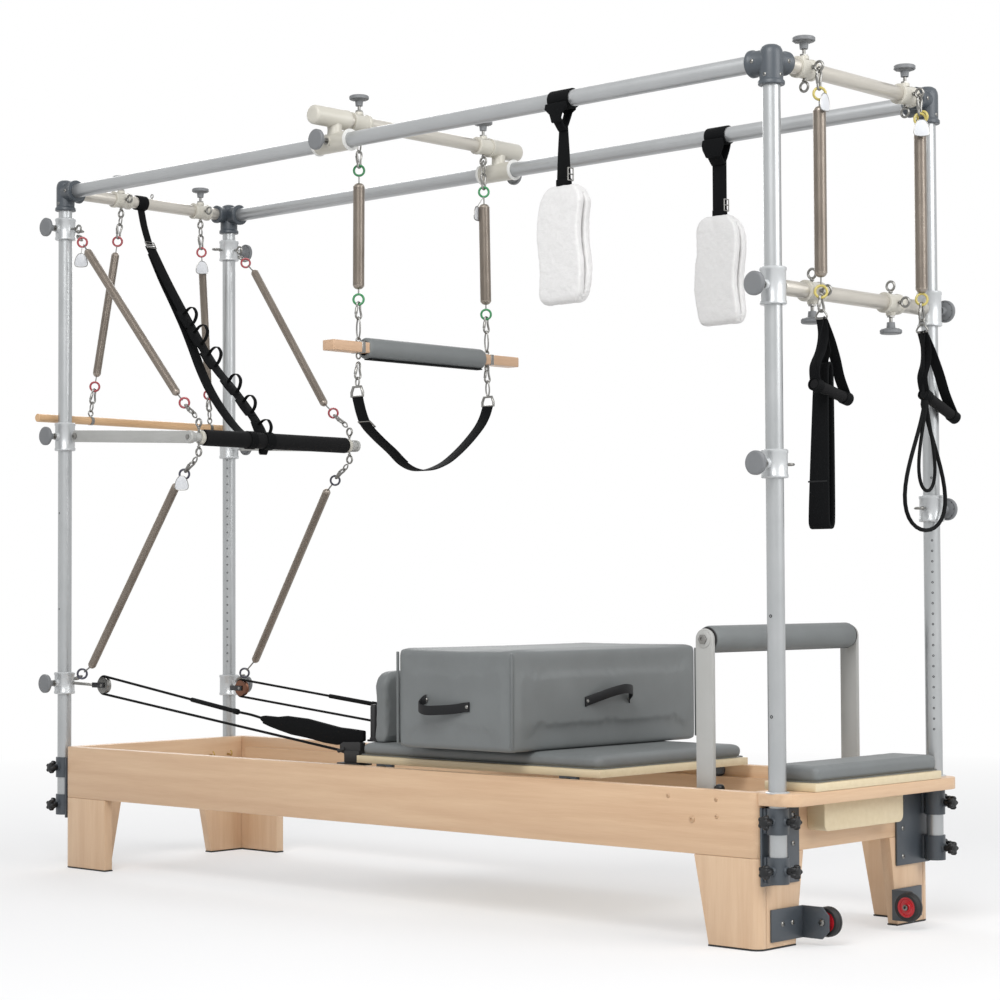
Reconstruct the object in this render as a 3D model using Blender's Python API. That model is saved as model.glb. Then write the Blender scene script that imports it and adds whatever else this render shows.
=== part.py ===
"""Reformer bed with a full tower: wood frame, sliding carriage, sprung bars, straps and loops.

Metres, +Z up.  The origin is on the floor at the middle of the frame.  The head end, with the
push bar and the pulleys, points to -X.  The foot end, with the footbar and the standing
platform, points to +X.  "near" is the -Y side and "far" is the +Y side.
"""
import math

import bmesh
import bpy
from mathutils import Vector

for old in list(bpy.data.objects):
    bpy.data.objects.remove(old, do_unlink=True)

# Clearances
GAP = 0.0003
FIT = 0.0003
PIN_FIT = 0.0003
LAP = 0.004
CUT_PAST = 0.010
ROUND = 14
BAR_SIDES = 16
PIN_SIDES = 12

# Wood frame
HALF_LENGTH = 1.3358
HALF_WIDTH = 0.3663
BOARD = 0.030
BOARD_TOP = 0.3733
SIDE_LOWER_EDGE = 0.217
END_LOWER_EDGE = 0.225
HEAD_LEG_WIDTH = 0.200
FOOT_LEG_TOP_WIDTH = 0.193
FOOT_LEG_FLOOR_WIDTH = 0.151
HEAD_ARCH_TOP = 0.160
HEAD_ARCH_FLOOR = 0.205
FOOT_ARCH_TOP = 0.185
FOOT_ARCH_FLOOR = 0.219
CORNER_ROUND = 0.026
INNER_FACE = HALF_WIDTH - BOARD
TRACK_WIDTH = 0.018
TRACK_TOP = 0.340
TRACK_HEIGHT = 0.040
TRACK_SHORT = 0.0658
TRACK_END = HALF_LENGTH - TRACK_SHORT

# Tower
UPRIGHT_OUT = 0.0369
UPRIGHT_IN = 0.0277
UPRIGHT_X = HALF_LENGTH + UPRIGHT_OUT
UPRIGHT_Y = HALF_WIDTH - UPRIGHT_IN
UPRIGHT_R = 0.0215
UPRIGHT_FOOT = 0.150
CASTING_LOW = 2.053
CASTING_HIGH = 2.150
CASTING_R = 0.0285
CASTING_ARM = 0.058
CASTING_ARM_R = 0.031
CASTING_SOCKET_R = 0.0255
CASTING_CHAMFER = 0.006
RAIL_Z = 2.111
RAIL_R = 0.0215
CROSSBAR_Z = 2.113
CROSSBAR_R = 0.019
CROSSBAR_INSET = 0.026

# Shelf, rail and standing platform at the foot end
SHELF_OUT = 0.101
SHELF_CORNER = 0.045
SHELF_THICK = 0.030
RAIL_HALF = 0.170
RAIL_OUT = 0.052
RAIL_DROP = 0.073
RAIL_CORNER = 0.020
PLATFORM_BACK = 0.001
PLATFORM_DEPTH = 0.150
PLATFORM_SIDE = 0.0656
PLATFORM_HALF = UPRIGHT_Y - PLATFORM_SIDE
PLATFORM_DECK = 0.020
PLATFORM_PAD = 0.040
PLATFORM_CROWN = 0.004
PLATFORM_CORNER = 0.016
PAD_INSET = 0.003

# Clamps, collars and knobs
SLEEVE_R = 0.0262
SLEEVE_SPANS = ((0.160, 0.223), (0.276, 0.338))
CLAMP_PLATE = 0.006
CLAMP_INSET = 0.006
CLAMP_PLATE_WIDE = 0.150
CLAMP_PLATE_LOW = 0.152
CLAMP_PLATE_HIGH = 0.338
CLAMP_WEB_HALF = 0.012
COLLAR_R = 0.033
COLLAR_TALL = 0.068
KNOB_R = 0.029
KNOB_THICK = 0.012
KNOB_REACH = 0.069
KNOB_STEM_R = 0.005
SMALL_KNOB_R = 0.020
STAR_R = 0.018
STAR_REACH = 0.0227
STAR_THICK = 0.016
EYE_R = 0.0115
EYE_WIRE = 0.003
EYE_STEM_R = 0.0035
EYE_ROOT = 0.025
HEAD_UPPER_COLLAR = 1.995
HEAD_EYE_OUT = 0.060
HEAD_EYE_IN = 0.006
HEAD_EYE_DROP = 0.004
SECOND_COLLAR = {-1: 1.150, 1: 1.058}
SECOND_EYE_OUT = 0.050

# Carriers that clip on a crossbar, and the rings that hang in their eyes
CARRIER_R = 0.027
CARRIER_LONG = 0.066
CARRIER_KNOB_RISE = 0.066
CARRIER_KNOB_R = 0.028
EYE_DROP = 0.044
HOOK_R = 0.012
HOOK_WIRE = 0.0025
HOOK_DROP = 0.0163
LINK_R = 0.003

# Transport wheels at the foot end
WHEEL_R = 0.0365
WHEEL_WIDE = 0.025
WHEEL_EDGE = 0.004
WHEEL_CROWN = 0.006
WHEEL_OUT = 0.0617
WHEEL_X = HALF_LENGTH + WHEEL_OUT
WHEEL_Z = 0.057
BRACKET_THICK = 0.005
BRACKET_WIDE = 0.128
BRACKET_LOW = 0.017
BRACKET_HIGH = 0.094
BRACKET_NOSE = 0.0185
BRACKET_CUT = 0.020
FLANGE_Y = 0.195
AXLE_R = 0.004
AXLE_HEAD_R = 0.008
AXLE_HEAD = 0.005
SPACER_R = 0.007
SPACER_LONG = 0.006

# Low collars with the rope pulleys
PULLEY_COLLAR = {-1: 0.569, 1: 0.541}
PULLEY_R = 0.0225
PULLEY_RIM = 0.003
PULLEY_WIDE = 0.016
PULLEY_OUT = 0.1277
PULLEY_X = -UPRIGHT_X + PULLEY_OUT
PULLEY_IN = 0.0556
PULLEY_Y = UPRIGHT_Y - PULLEY_IN
PULLEY_DROP = 0.006
CHEEK_LONG = 0.045
CHEEK_NOSE = 0.008
CHEEK_HALF = 0.007
CHEEK_THICK = 0.005
PULLEY_STEM_R = 0.005
PULLEY_STEM_IN = 0.012

# Carriage
DECK_LEFT = -0.086
DECK_RIGHT = 0.800
DECK_SIDE = 0.0263
DECK_HALF = INNER_FACE - DECK_SIDE
DECK_LOW = 0.377
DECK_THICK = 0.020
PAD_THICK = 0.036
PAD_CORNER = 0.022
ROLLER_R = 0.017
ROLLER_XS = (0.020, 0.690)
ROLLER_IN = 0.010
ROLLER_SIDE = 0.0025
BRACKET_IN = 0.014
BRACKET_OUT = 0.002
BRACKET_HALF = 0.030
BRACKET_BELOW = 0.008
REST_IN = 0.041
REST_HIGH = 0.200
REST_WIDE = 0.136
REST_THICK = 0.046
REST_CORNER = 0.045
REST_Y = 0.218
POST_OUT = 0.024
POST_Y = 0.258
POST_HIGH = 0.104
POST_R = 0.011
POST_CROWN = 0.004
POST_FOOT_HALF = 0.014
POST_FOOT = 0.006

# Upholstered edges: height share and inset of each level
CUSHION_LEVELS = ((0.0, 0.003), (0.30, 0.0), (0.80, 0.002), (1.0, 0.012))
CUSHION_LEAST = 0.001
CROWN_SHARE = 0.60

# Sitting box
BOX_LEFT = 0.143
BOX_LONG = 0.430
BOX_HALF = 0.390
BOX_HIGH = 0.266
BOX_CROWN = 0.003
BOX_CORNER = 0.018

# Footbar
FOOTBAR_IN = 0.1993
FOOTBAR_X = HALF_LENGTH - FOOTBAR_IN
FOOTBAR_PIVOT = 0.330
FOOTBAR_TOP = 0.732
FOOTBAR_SIDE = 0.0113
FOOTBAR_ARM_Y = INNER_FACE - TRACK_WIDTH - FOOTBAR_SIDE
FOOTBAR_ARM = 0.014
FOOTBAR_ARM_WIDE = 0.052
FOOTBAR_TUBE_R = 0.014
FOOTBAR_ROLL_R = 0.033
FOOTBAR_ROLL_GAP = 0.002
ROLL_EDGE = 0.004
ROLL_CROWN = 0.006
PIVOT_R = 0.006

# Push bar and its springs
PUSH_OUT = 0.0547
PUSH_X = -UPRIGHT_X + PUSH_OUT
PUSH_Z = 1.340
PUSH_ARM_LONG = 0.558
PUSH_END_X = PUSH_X + PUSH_ARM_LONG
PUSH_END_Z = 1.312
PUSH_ARM = 0.008
PUSH_ARM_TALL = 0.037
PUSH_COLLAR_TALL = 0.088
PUSH_LUG_R = 0.016
PUSH_LUG_ROOT = 0.024
PUSH_TUBE_R = 0.014
PUSH_GRIP_R = 0.025
PUSH_GRIP_IN = 0.0466
PUSH_GRIP_HALF = UPRIGHT_Y - PUSH_GRIP_IN
PUSH_CAP_GAP = 0.004
PUSH_CAP_LONG = 0.012
PUSH_CAP_R = 0.021
PUSH_EYE_OUT = 0.018
PUSH_EYE_Y = PUSH_GRIP_HALF + PUSH_EYE_OUT
PUSH_EYE_RISE = 0.044
PUSH_EYE_STEM = 0.010
PUSH_STUD_R = 0.008
PUSH_STUD_RISE = 0.020
PUSH_LINK_RISE = 0.060
PUSH_LINK_IN = 0.001
SPRING_R = 0.0120
SPRING_NECK = 0.72
SPRING_TAPER = 0.006
UPPER_SPRING_START = (0.0630, 0.0056, 0.020)
UPPER_SPRING_TOP = (0.1227, 0.0064, 0.084)
UPPER_SPRING_LOW = (0.1110, 0.0120, 0.141)
LOWER_SPRING_START = (0.0460, 0.0066, 0.010)
LOWER_SPRING_LOW = (0.1347, 0.0026, {-1: 0.057, 1: 0.085})
LOWER_SPRING_TOP = (0.1050, 0.0180, 0.142)

# Roll-down bar
ROLL_DOWN_BACK = 0.0513
ROLL_DOWN_X = -UPRIGHT_X - ROLL_DOWN_BACK
ROLL_DOWN_Z = 1.400
ROLL_DOWN_HALF = 0.408
ROLL_DOWN_R = 0.013
DOWEL_EDGE = 0.003
ROLL_DOWN_TOPS = {-1: -0.118, 1: 0.214}
ROLL_DOWN_IN = {-1: 0.209, 1: 0.110}
ROLL_DOWN_LINK = 0.135
ROLL_DOWN_REACH = 0.540
ROLL_DOWN_TILT = 0.0006

# Trapeze set
TRAPEZE_X = -0.139
TRAPEZE_BAR_Z = 2.180
TRAPEZE_PAST = 0.0864
TRAPEZE_BAR_HALF = UPRIGHT_Y + TRAPEZE_PAST
TRAPEZE_Y = {-1: -0.243, 1: 0.272}
TRAPEZE_SLEEVE_HALF = 0.045
TRAPEZE_SLEEVE_R = 0.0275
SHOE_HALF = 0.066
SHOE_R = 0.0285
SHOE_NECK_R = 0.022
SHOE_KNOB_REACH = 0.0445
TRAPEZE_SPRING_TOP = 2.003
TRAPEZE_SPRING_LOW = 1.708
TRAPEZE_SPRING_R = 0.0165
COIL_WIRE_R = 0.0028
COIL_TURNS = 10
CURL_POINTS = 8
COIL_LEAD = 0.010
COIL_TAIL = 0.016
DOWEL_Z = 1.540
DOWEL_R = 0.0165
DOWEL_ENDS = (-0.366, 0.402)
DOWEL_ROLL = (-0.226, 0.256)
DOWEL_ROLL_R = 0.0305
DOWEL_ROLL_EDGE = 0.005
DOWEL_EYE_OUT = {-1: 0.022, 1: 0.028}
SLING_LOW = 1.196
SLING_TOP = 1.408
SLING_WIDE = 0.050
SLING_THICK = 0.006
SLING_SLACK = 0.035

# Lower crossbar, arm springs and handles at the foot end
LOWER_BAR_Z = 1.573
LOWER_COLLAR_TALL = 0.090
FOOT_CARRIERS = {-1: -0.205, 1: 0.235}
LOWER_CARRIERS = {-1: -0.180, 1: 0.160}
ARM_X = UPRIGHT_X + EYE_DROP
ARM_SPRING_TOP = 2.010
ARM_SPRING_LOW = 1.607
ARM_SPRING_R = 0.0085
ARM_SPRING_STEP = 0.0095
ARM_YOKE_HALF = 0.010
ARM_YOKE_RISE = 0.008
ARM_NECK_R = 0.006
ARM_LINK = 0.040
HAND_LINK = 0.066
HAND_RING = 0.058
HAND_STRAP_WIDE = 0.024
HAND_STRAP_THICK = 0.004
HAND_LINK_R = 0.004
GRIP_R = 0.0145
NEAR_GRIP = ((-0.012, 1.343), (0.128, 1.314))
FAR_GRIP = ((0.004, 1.346), (0.150, 1.292))
GRIP_INSET = 0.006
FOOT_LOOP_WIDE = 0.030
FOOT_LOOP_THICK = 0.012
FOOT_LOOP = (
    (0.000, 1.398), (-0.020, 1.330), (-0.032, 1.180), (-0.034, 1.060), (-0.016, 1.006),
    (0.012, 1.004), (0.030, 1.060), (0.030, 1.180), (0.016, 1.330),
)
FOOT_LOOP_CORD = 1.392
ROPE_LOOP_Z = 1.160
ROPE_LOOP_RISE = 0.163
ROPE_LOOP_WIDE = 0.101
ROPE_LOOP_NECK = 0.0046
ROPE_LOOP_SHIFT = 0.008
ROPE_LOOP_CORD = 1.318
LOOP_ROPE_WIDE = 0.010
LOOP_POINTS = 16

# Fleece loops
FLEECE_X = {-1: 0.715, 1: 0.697}
FLEECE_TOP = 1.890
FLEECE_LOW = 1.584
FLEECE_HALF = 0.099
FLEECE_BAND = 0.056
FLEECE_THICK = 0.026
FLEECE_WAIST = 0.55
FLEECE_SWELL = 1.30
STRAP_RING_R = 0.0225
STRAP_THICK = 0.004
STRAP_HALF_THICK = 0.005
STRAP_WIDE = 0.038

# Ropes and their padded loops
ROPE_R = 0.004
ROPE_OFF = 0.0012
ROPE_START = (-0.165, 0.404)
ROPE_KNOT = (-0.612, 0.499)
ROPE_LOOP_START = (-0.500, 0.483)
ROPE_SLEEVE_SHARE = 0.60
ROPE_SLEEVE_R = 0.007
ROPE_KNOT_R = 0.008
PADDLE = ((-0.520, 0.474), (-0.300, 0.448), (-0.092, 0.443), (-0.088, 0.470), (-0.300, 0.488), (-0.505, 0.495))
PADDLE_HALF = 0.007
CLEAT_LEFT = -0.178
CLEAT_HALF = 0.020
CLEAT_LOW = 0.382
CLEAT_HIGH = 0.412

# Ladder strap: each strand's points as shares of its run and how far it sags below it
LADDER_Y = -0.040
LADDER_OUT = 0.002
LADDER_DROP = 0.004
LADDER_FRONT = ((0.129, 0.0387), (0.266, 0.0498), (0.476, 0.0549), (0.682, 0.0489), (0.876, 0.019))
LADDER_BACK = ((0.129, 0.0395), (0.381, 0.0619), (0.556, 0.0683), (0.755, 0.0688), (0.940, 0.0300))
LADDER_SPREAD = 0.068
LADDER_UPPER_WIDE = 0.030
LADDER_UPPER_THICK = 0.006
LADDER_LOWER_WIDE = 0.024
LADDER_LOWER_THICK = 0.005
LADDER_REST = 0.0007
LADDER_TURN = 135.0

# Surface finishes: colour, roughness, metallic
FINISHES = {
    "maple": ((0.631, 0.414, 0.240), 0.45, 0.0),
    "cream_ply": ((0.823, 0.694, 0.462), 0.45, 0.0),
    "grey_vinyl": ((0.165, 0.168, 0.175), 0.55, 0.0),
    "slate_metal": ((0.100, 0.127, 0.150), 0.40, 0.6),
    "silver": ((0.610, 0.620, 0.630), 0.32, 1.0),
    "champagne": ((0.660, 0.620, 0.540), 0.35, 0.4),
    "black_rubber": ((0.012, 0.012, 0.013), 0.60, 0.0),
    "black_webbing": ((0.010, 0.010, 0.011), 0.85, 0.0),
    "spring_steel": ((0.250, 0.215, 0.180), 0.35, 1.0),
    "ash_dowel": ((0.680, 0.480, 0.290), 0.40, 0.0),
    "fleece": ((0.860, 0.850, 0.820), 0.95, 0.0),
}


def finish(key):
    """One material for each finish."""
    found = bpy.data.materials.get(key)
    if found:
        return found
    colour, rough, metal = FINISHES[key]
    made = bpy.data.materials.new(key)
    made.use_nodes = True
    shader = made.node_tree.nodes["Principled BSDF"]
    shader.inputs["Base Color"].default_value = (*colour, 1.0)
    shader.inputs["Roughness"].default_value = rough
    shader.inputs["Metallic"].default_value = metal
    made.diffuse_color = (*colour, 1.0)
    return made


def slab(x0, x1, y0, y1, z0, z1):
    """A rectangular block."""
    corners = ((x0, y0), (x1, y0), (x1, y1), (x0, y1))
    verts = [(x, y, z) for z in (z0, z1) for x, y in corners]
    faces = [(0, 3, 2, 1), (4, 5, 6, 7), (0, 1, 5, 4), (1, 2, 6, 5), (2, 3, 7, 6), (3, 0, 4, 7)]
    return verts, faces


def prism(outline, axis, low, high):
    """An outline in the two other axes, in xyz order, pushed along the named axis."""
    place = {
        "x": lambda p, h: (h, p[0], p[1]),
        "y": lambda p, h: (p[0], h, p[1]),
        "z": lambda p, h: (p[0], p[1], h),
    }[axis]
    count = len(outline)
    verts = [place(p, low) for p in outline] + [place(p, high) for p in outline]
    faces = [tuple(range(count))[::-1], tuple(range(count, 2 * count))]
    for i in range(count):
        j = (i + 1) % count
        faces.append((i, j, count + j, count + i))
    return verts, faces


def arc(centre, radius, start, end, steps):
    """Points of a flat arc, angles in degrees."""
    points = []
    for i in range(steps + 1):
        turn = math.radians(start + (end - start) * i / steps)
        points.append((centre[0] + radius * math.cos(turn), centre[1] + radius * math.sin(turn)))
    return points


def frame_of(direction):
    """Two unit vectors square to a direction."""
    along = Vector(direction).normalized()
    helper = Vector((0, 0, 1)) if abs(along.z) < 0.9 else Vector((1, 0, 0))
    side = along.cross(helper).normalized()
    return along, side, along.cross(side)


def lathe(profile, base, direction, sides=20, closed=False):
    """A profile of (radius, height) turned about a line; closed profiles make a ring."""
    along, side, up = frame_of(direction)
    base = Vector(base)
    verts = []
    for radius, height in profile:
        for k in range(sides):
            turn = 2 * math.pi * (k + 0.5) / sides
            out = side * math.cos(turn) + up * math.sin(turn)
            verts.append(tuple(base + along * height + out * radius))
    faces = []
    last = len(profile) if closed else len(profile) - 1
    for i in range(last):
        j = (i + 1) % len(profile)
        for k in range(sides):
            m = (k + 1) % sides
            faces.append((i * sides + k, i * sides + m, j * sides + m, j * sides + k))
    if not closed:
        faces.append(tuple(range(sides))[::-1])
        faces.append(tuple(range((len(profile) - 1) * sides, len(profile) * sides)))
    return verts, faces


def rod(start, end, radius, sides=12):
    """A round rod between two points."""
    run = Vector(end) - Vector(start)
    return lathe([(radius, 0.0), (radius, run.length)], start, run, sides)


def tube_ring(start, end, outer, inner, sides=ROUND):
    """A sleeve with a bore."""
    run = Vector(end) - Vector(start)
    long = run.length
    return lathe([(outer, 0), (outer, long), (inner, long), (inner, 0)], start, run, sides, True)


def torus(centre, axis, ring, wire, around=8, section=4):
    """A round wire ring."""
    profile = []
    for k in range(section):
        turn = 2 * math.pi * k / section
        profile.append((ring + wire * math.cos(turn), wire * math.sin(turn)))
    return lathe(profile, centre, axis, around, True)


def sweep(points, radii, sides=8):
    """A round tube through points, with a radius for each point."""
    path = [Vector(p) for p in points]
    if not isinstance(radii, (list, tuple)):
        radii = [radii] * len(path)
    _, side, _ = frame_of(path[1] - path[0])
    verts = []
    for i, point in enumerate(path):
        before = path[max(i - 1, 0)]
        after = path[min(i + 1, len(path) - 1)]
        along = (after - before).normalized()
        side = (side - along * side.dot(along)).normalized()
        up = along.cross(side)
        for k in range(sides):
            turn = 2 * math.pi * k / sides
            verts.append(tuple(point + (side * math.cos(turn) + up * math.sin(turn)) * radii[i]))
    faces = [tuple(range(sides))[::-1], tuple(range((len(path) - 1) * sides, len(path) * sides))]
    for i in range(len(path) - 1):
        for k in range(sides):
            m = (k + 1) % sides
            faces.append((i * sides + k, i * sides + m, (i + 1) * sides + m, (i + 1) * sides + k))
    return verts, faces


def ribbon(points, across, wide, thick, closed=False):
    """A flat strap along a path that stays square to the across direction."""
    path = [Vector(p) for p in points]
    across = Vector(across).normalized()
    count = len(path)
    verts = []
    for i, point in enumerate(path):
        if closed:
            along = path[(i + 1) % count] - path[i - 1]
        else:
            along = path[min(i + 1, count - 1)] - path[max(i - 1, 0)]
        normal = along.normalized().cross(across).normalized()
        for a, b in ((-1, -1), (1, -1), (1, 1), (-1, 1)):
            verts.append(tuple(point + across * (a * wide / 2) + normal * (b * thick / 2)))
    faces = [] if closed else [(3, 2, 1, 0), tuple(range(4 * count - 4, 4 * count))]
    for i in range(count if closed else count - 1):
        j = (i + 1) % count
        for k in range(4):
            m = (k + 1) % 4
            faces.append((4 * i + k, 4 * i + m, 4 * j + m, 4 * j + k))
    return verts, faces


def cushion(xs, ys, zs, crown, corner, nx, ny):
    """An upholstered block: flat base, sides that belly out, a top that rises to a flat middle."""
    x0, x1 = xs
    y0, y1 = ys
    z0, z1 = zs
    tall = z1 - z0 - crown
    corners = (
        (x1 - corner, y0 + corner, -90), (x1 - corner, y1 - corner, 0),
        (x0 + corner, y1 - corner, 90), (x0 + corner, y0 + corner, 180),
    )
    verts = []
    loops = []
    for level, inset in CUSHION_LEVELS:
        loop = []
        radius = max(corner - inset, CUSHION_LEAST)
        for index, (cx, cy, start) in enumerate(corners):
            points = arc((cx, cy), radius, start, start + 90, 2)
            nx_corner = corners[(index + 1) % 4]
            begin = arc(nx_corner[:2], radius, nx_corner[2], nx_corner[2], 1)[0]
            steps = ny if index % 2 == 0 else nx
            end = points[-1]
            for s in range(1, steps):
                share = s / steps
                points.append((end[0] + (begin[0] - end[0]) * share, end[1] + (begin[1] - end[1]) * share))
            for px, py in points:
                loop.append(len(verts))
                verts.append((px, py, z0 + tall * level))
        loops.append(loop)
    if crown:
        middle = ((x0 + x1) / 2, (y0 + y1) / 2)
        loop = []
        for k in loops[-1]:
            px, py, _ = verts[k]
            loop.append(len(verts))
            verts.append((middle[0] + (px - middle[0]) * CROWN_SHARE, middle[1] + (py - middle[1]) * CROWN_SHARE, z1))
        loops.append(loop)
    faces = [tuple(loops[0][::-1]), tuple(loops[-1])]
    for lower, upper in zip(loops, loops[1:]):
        count = len(lower)
        for k in range(count):
            m = (k + 1) % count
            faces.append((lower[k], lower[m], upper[m], upper[k]))
    return verts, faces


def mesh_of(name, shell):
    """A mesh with outward faces from one shell."""
    verts, faces = shell
    work = bmesh.new()
    made = [work.verts.new(v) for v in verts]
    for face in faces:
        work.faces.new([made[i] for i in face])
    bmesh.ops.remove_doubles(work, verts=work.verts, dist=1e-6)
    bmesh.ops.recalc_face_normals(work, faces=work.faces)
    mesh = bpy.data.meshes.new(name)
    work.to_mesh(mesh)
    work.free()
    return mesh


def joined(shells, cuts):
    """One mesh from solids that overlap, less the cuts."""
    made = []
    homes = []
    for group in (shells, cuts):
        home = bpy.data.collections.new("operands")
        homes.append(home)
        for shell in group:
            mesh = mesh_of("operand", shell)
            thing = bpy.data.objects.new("operand", mesh)
            made.append(thing)
            home.objects.link(thing)
    body = made[0]
    homes[0].objects.unlink(body)
    bpy.context.scene.collection.objects.link(body)
    for home, mode in ((homes[0], "UNION"), (homes[1], "DIFFERENCE")):
        if not home.objects:
            continue
        step = body.modifiers.new(mode, "BOOLEAN")
        step.operation = mode
        step.operand_type = "COLLECTION"
        step.collection = home
        step.solver = "EXACT"
    graph = bpy.context.evaluated_depsgraph_get()
    result = bpy.data.meshes.new_from_object(body.evaluated_get(graph))
    for thing in made:
        bpy.data.objects.remove(thing, do_unlink=True)
    for home in homes:
        bpy.data.collections.remove(home)
    work = bmesh.new()
    work.from_mesh(result)
    bmesh.ops.dissolve_limit(work, angle_limit=math.radians(0.2), verts=work.verts, edges=work.edges)
    bmesh.ops.remove_doubles(work, verts=work.verts, dist=2e-5)
    work.to_mesh(result)
    work.free()
    return result


def piece(name, key, shells, cuts=(), origin=(0, 0, 0), smooth=True):
    """A named object with its origin on the given point."""
    if len(shells) == 1 and not cuts:
        mesh = mesh_of(name, shells[0])
    else:
        mesh = joined(shells, cuts)
    mesh.name = name
    mesh.materials.clear()
    mesh.materials.append(finish(key))
    shift = Vector(origin)
    for vert in mesh.vertices:
        vert.co -= shift
    for face in mesh.polygons:
        face.material_index = 0
        face.use_smooth = smooth
    if smooth:
        mesh.set_sharp_from_angle(angle=math.radians(35))
    made = bpy.data.objects.new(name, mesh)
    made.location = shift
    bpy.context.scene.collection.objects.link(made)
    return made


def round_upright_edges(thing, ends, radius):
    """Round the tall edges that stand at the given (x, y) corners."""
    work = bmesh.new()
    work.from_mesh(thing.data)
    picked = []
    for edge in work.edges:
        a, b = (v.co for v in edge.verts)
        level = abs(a.x - b.x) < 1e-5 and abs(a.y - b.y) < 1e-5
        if level and any(abs(a.x - x) < 1e-4 and abs(a.y - y) < 1e-4 for x, y in ends):
            picked.append(edge)
    bmesh.ops.bevel(work, geom=picked, offset=radius, segments=4, affect="EDGES", profile=0.5)
    work.to_mesh(thing.data)
    work.free()


SIDES = {-1: "near", 1: "far"}
ENDS = {-1: "head", 1: "foot"}


def span(first, second):
    """Two numbers in rising order."""
    return min(first, second), max(first, second)


# Wood frame
SIDE_OUTLINE = [
    (-HALF_LENGTH, 0.0),
    (-HALF_LENGTH + HEAD_LEG_WIDTH, 0.0),
    (-HALF_LENGTH + HEAD_LEG_WIDTH, SIDE_LOWER_EDGE),
    (HALF_LENGTH - FOOT_LEG_TOP_WIDTH, SIDE_LOWER_EDGE),
    (HALF_LENGTH - FOOT_LEG_FLOOR_WIDTH, 0.0),
    (HALF_LENGTH, 0.0),
    (HALF_LENGTH, BOARD_TOP),
    (-HALF_LENGTH, BOARD_TOP),
]
TRACK_IN = INNER_FACE - TRACK_WIDTH
for side, tag in SIDES.items():
    outer = side * HALF_WIDTH
    board = piece("side_panel_" + tag, "maple", [prism(SIDE_OUTLINE, "y", *span(outer, side * INNER_FACE))])
    round_upright_edges(board, [(-HALF_LENGTH, outer), (HALF_LENGTH, outer)], CORNER_ROUND)
    piece("track_" + tag, "silver", [
        slab(-TRACK_END, TRACK_END, *span(side * (INNER_FACE - GAP), side * TRACK_IN),
             TRACK_TOP - TRACK_HEIGHT, TRACK_TOP),
    ], smooth=False)

END_HALF = INNER_FACE - GAP
for end, arch_top, arch_floor in ((-1, HEAD_ARCH_TOP, HEAD_ARCH_FLOOR), (1, FOOT_ARCH_TOP, FOOT_ARCH_FLOOR)):
    outline = [
        (-END_HALF, 0.0), (-arch_floor, 0.0), (-arch_top, END_LOWER_EDGE), (arch_top, END_LOWER_EDGE),
        (arch_floor, 0.0), (END_HALF, 0.0), (END_HALF, BOARD_TOP), (-END_HALF, BOARD_TOP),
    ]
    faces_x = span(end * HALF_LENGTH, end * (HALF_LENGTH - BOARD))
    piece(ENDS[end] + "_panel", "maple", [prism(outline, "x", *faces_x)])

# Shelf on the foot end with bores for the uprights, and the rail below it
SHELF_IN = HALF_LENGTH + GAP
SHELF_X = HALF_LENGTH + SHELF_OUT
SHELF_LOW = BOARD_TOP - SHELF_THICK
shelf_outline = [(SHELF_IN, -HALF_WIDTH)]
shelf_outline += arc((SHELF_X - SHELF_CORNER, -HALF_WIDTH + SHELF_CORNER), SHELF_CORNER, -90, 0, 6)
shelf_outline += arc((SHELF_X - SHELF_CORNER, HALF_WIDTH - SHELF_CORNER), SHELF_CORNER, 0, 90, 6)
shelf_outline.append((SHELF_IN, HALF_WIDTH))
RAIL_LOW = SHELF_LOW - RAIL_DROP
rail_outline = [(-RAIL_HALF, SHELF_LOW + LAP)]
rail_outline += arc((-RAIL_HALF + RAIL_CORNER, RAIL_LOW + RAIL_CORNER), RAIL_CORNER, 180, 270, 3)
rail_outline += arc((RAIL_HALF - RAIL_CORNER, RAIL_LOW + RAIL_CORNER), RAIL_CORNER, 270, 360, 3)
rail_outline.append((RAIL_HALF, SHELF_LOW + LAP))
bores = [
    rod((UPRIGHT_X, side * UPRIGHT_Y, SHELF_LOW - CUT_PAST), (UPRIGHT_X, side * UPRIGHT_Y, BOARD_TOP + CUT_PAST),
        UPRIGHT_R + FIT, ROUND)
    for side in SIDES
]
piece("end_shelf", "maple", [
    prism(shelf_outline, "z", SHELF_LOW, BOARD_TOP),
    prism(rail_outline, "x", SHELF_IN, SHELF_IN + RAIL_OUT),
], bores)

PLATFORM_X1 = SHELF_X - PLATFORM_BACK
PLATFORM_X0 = PLATFORM_X1 - PLATFORM_DEPTH
PLATFORM_Z = BOARD_TOP + GAP
piece("platform_deck", "cream_ply", [
    slab(PLATFORM_X0, PLATFORM_X1, -PLATFORM_HALF, PLATFORM_HALF, PLATFORM_Z, PLATFORM_Z + PLATFORM_DECK),
])
PLATFORM_PAD_Z = PLATFORM_Z + PLATFORM_DECK + GAP
piece("platform_pad", "grey_vinyl", [
    cushion((PLATFORM_X0 + PAD_INSET, PLATFORM_X1 - PAD_INSET),
            (-PLATFORM_HALF + PAD_INSET, PLATFORM_HALF - PAD_INSET),
            (PLATFORM_PAD_Z, PLATFORM_PAD_Z + PLATFORM_PAD), PLATFORM_CROWN, PLATFORM_CORNER, 3, 8),
])


def knob(base, direction, reach, radius, thick):
    """A turning knob on a stem."""
    shaft = lathe([(KNOB_STEM_R, 0.0), (KNOB_STEM_R, reach + LAP / 2)], base, direction, 6)
    along, _, _ = frame_of(direction)
    start = Vector(base) + along * reach
    disc = lathe([(radius, 0.0), (radius, thick)], start, direction, 8 if radius < SMALL_KNOB_R else 10)
    return [shaft, disc]


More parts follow.
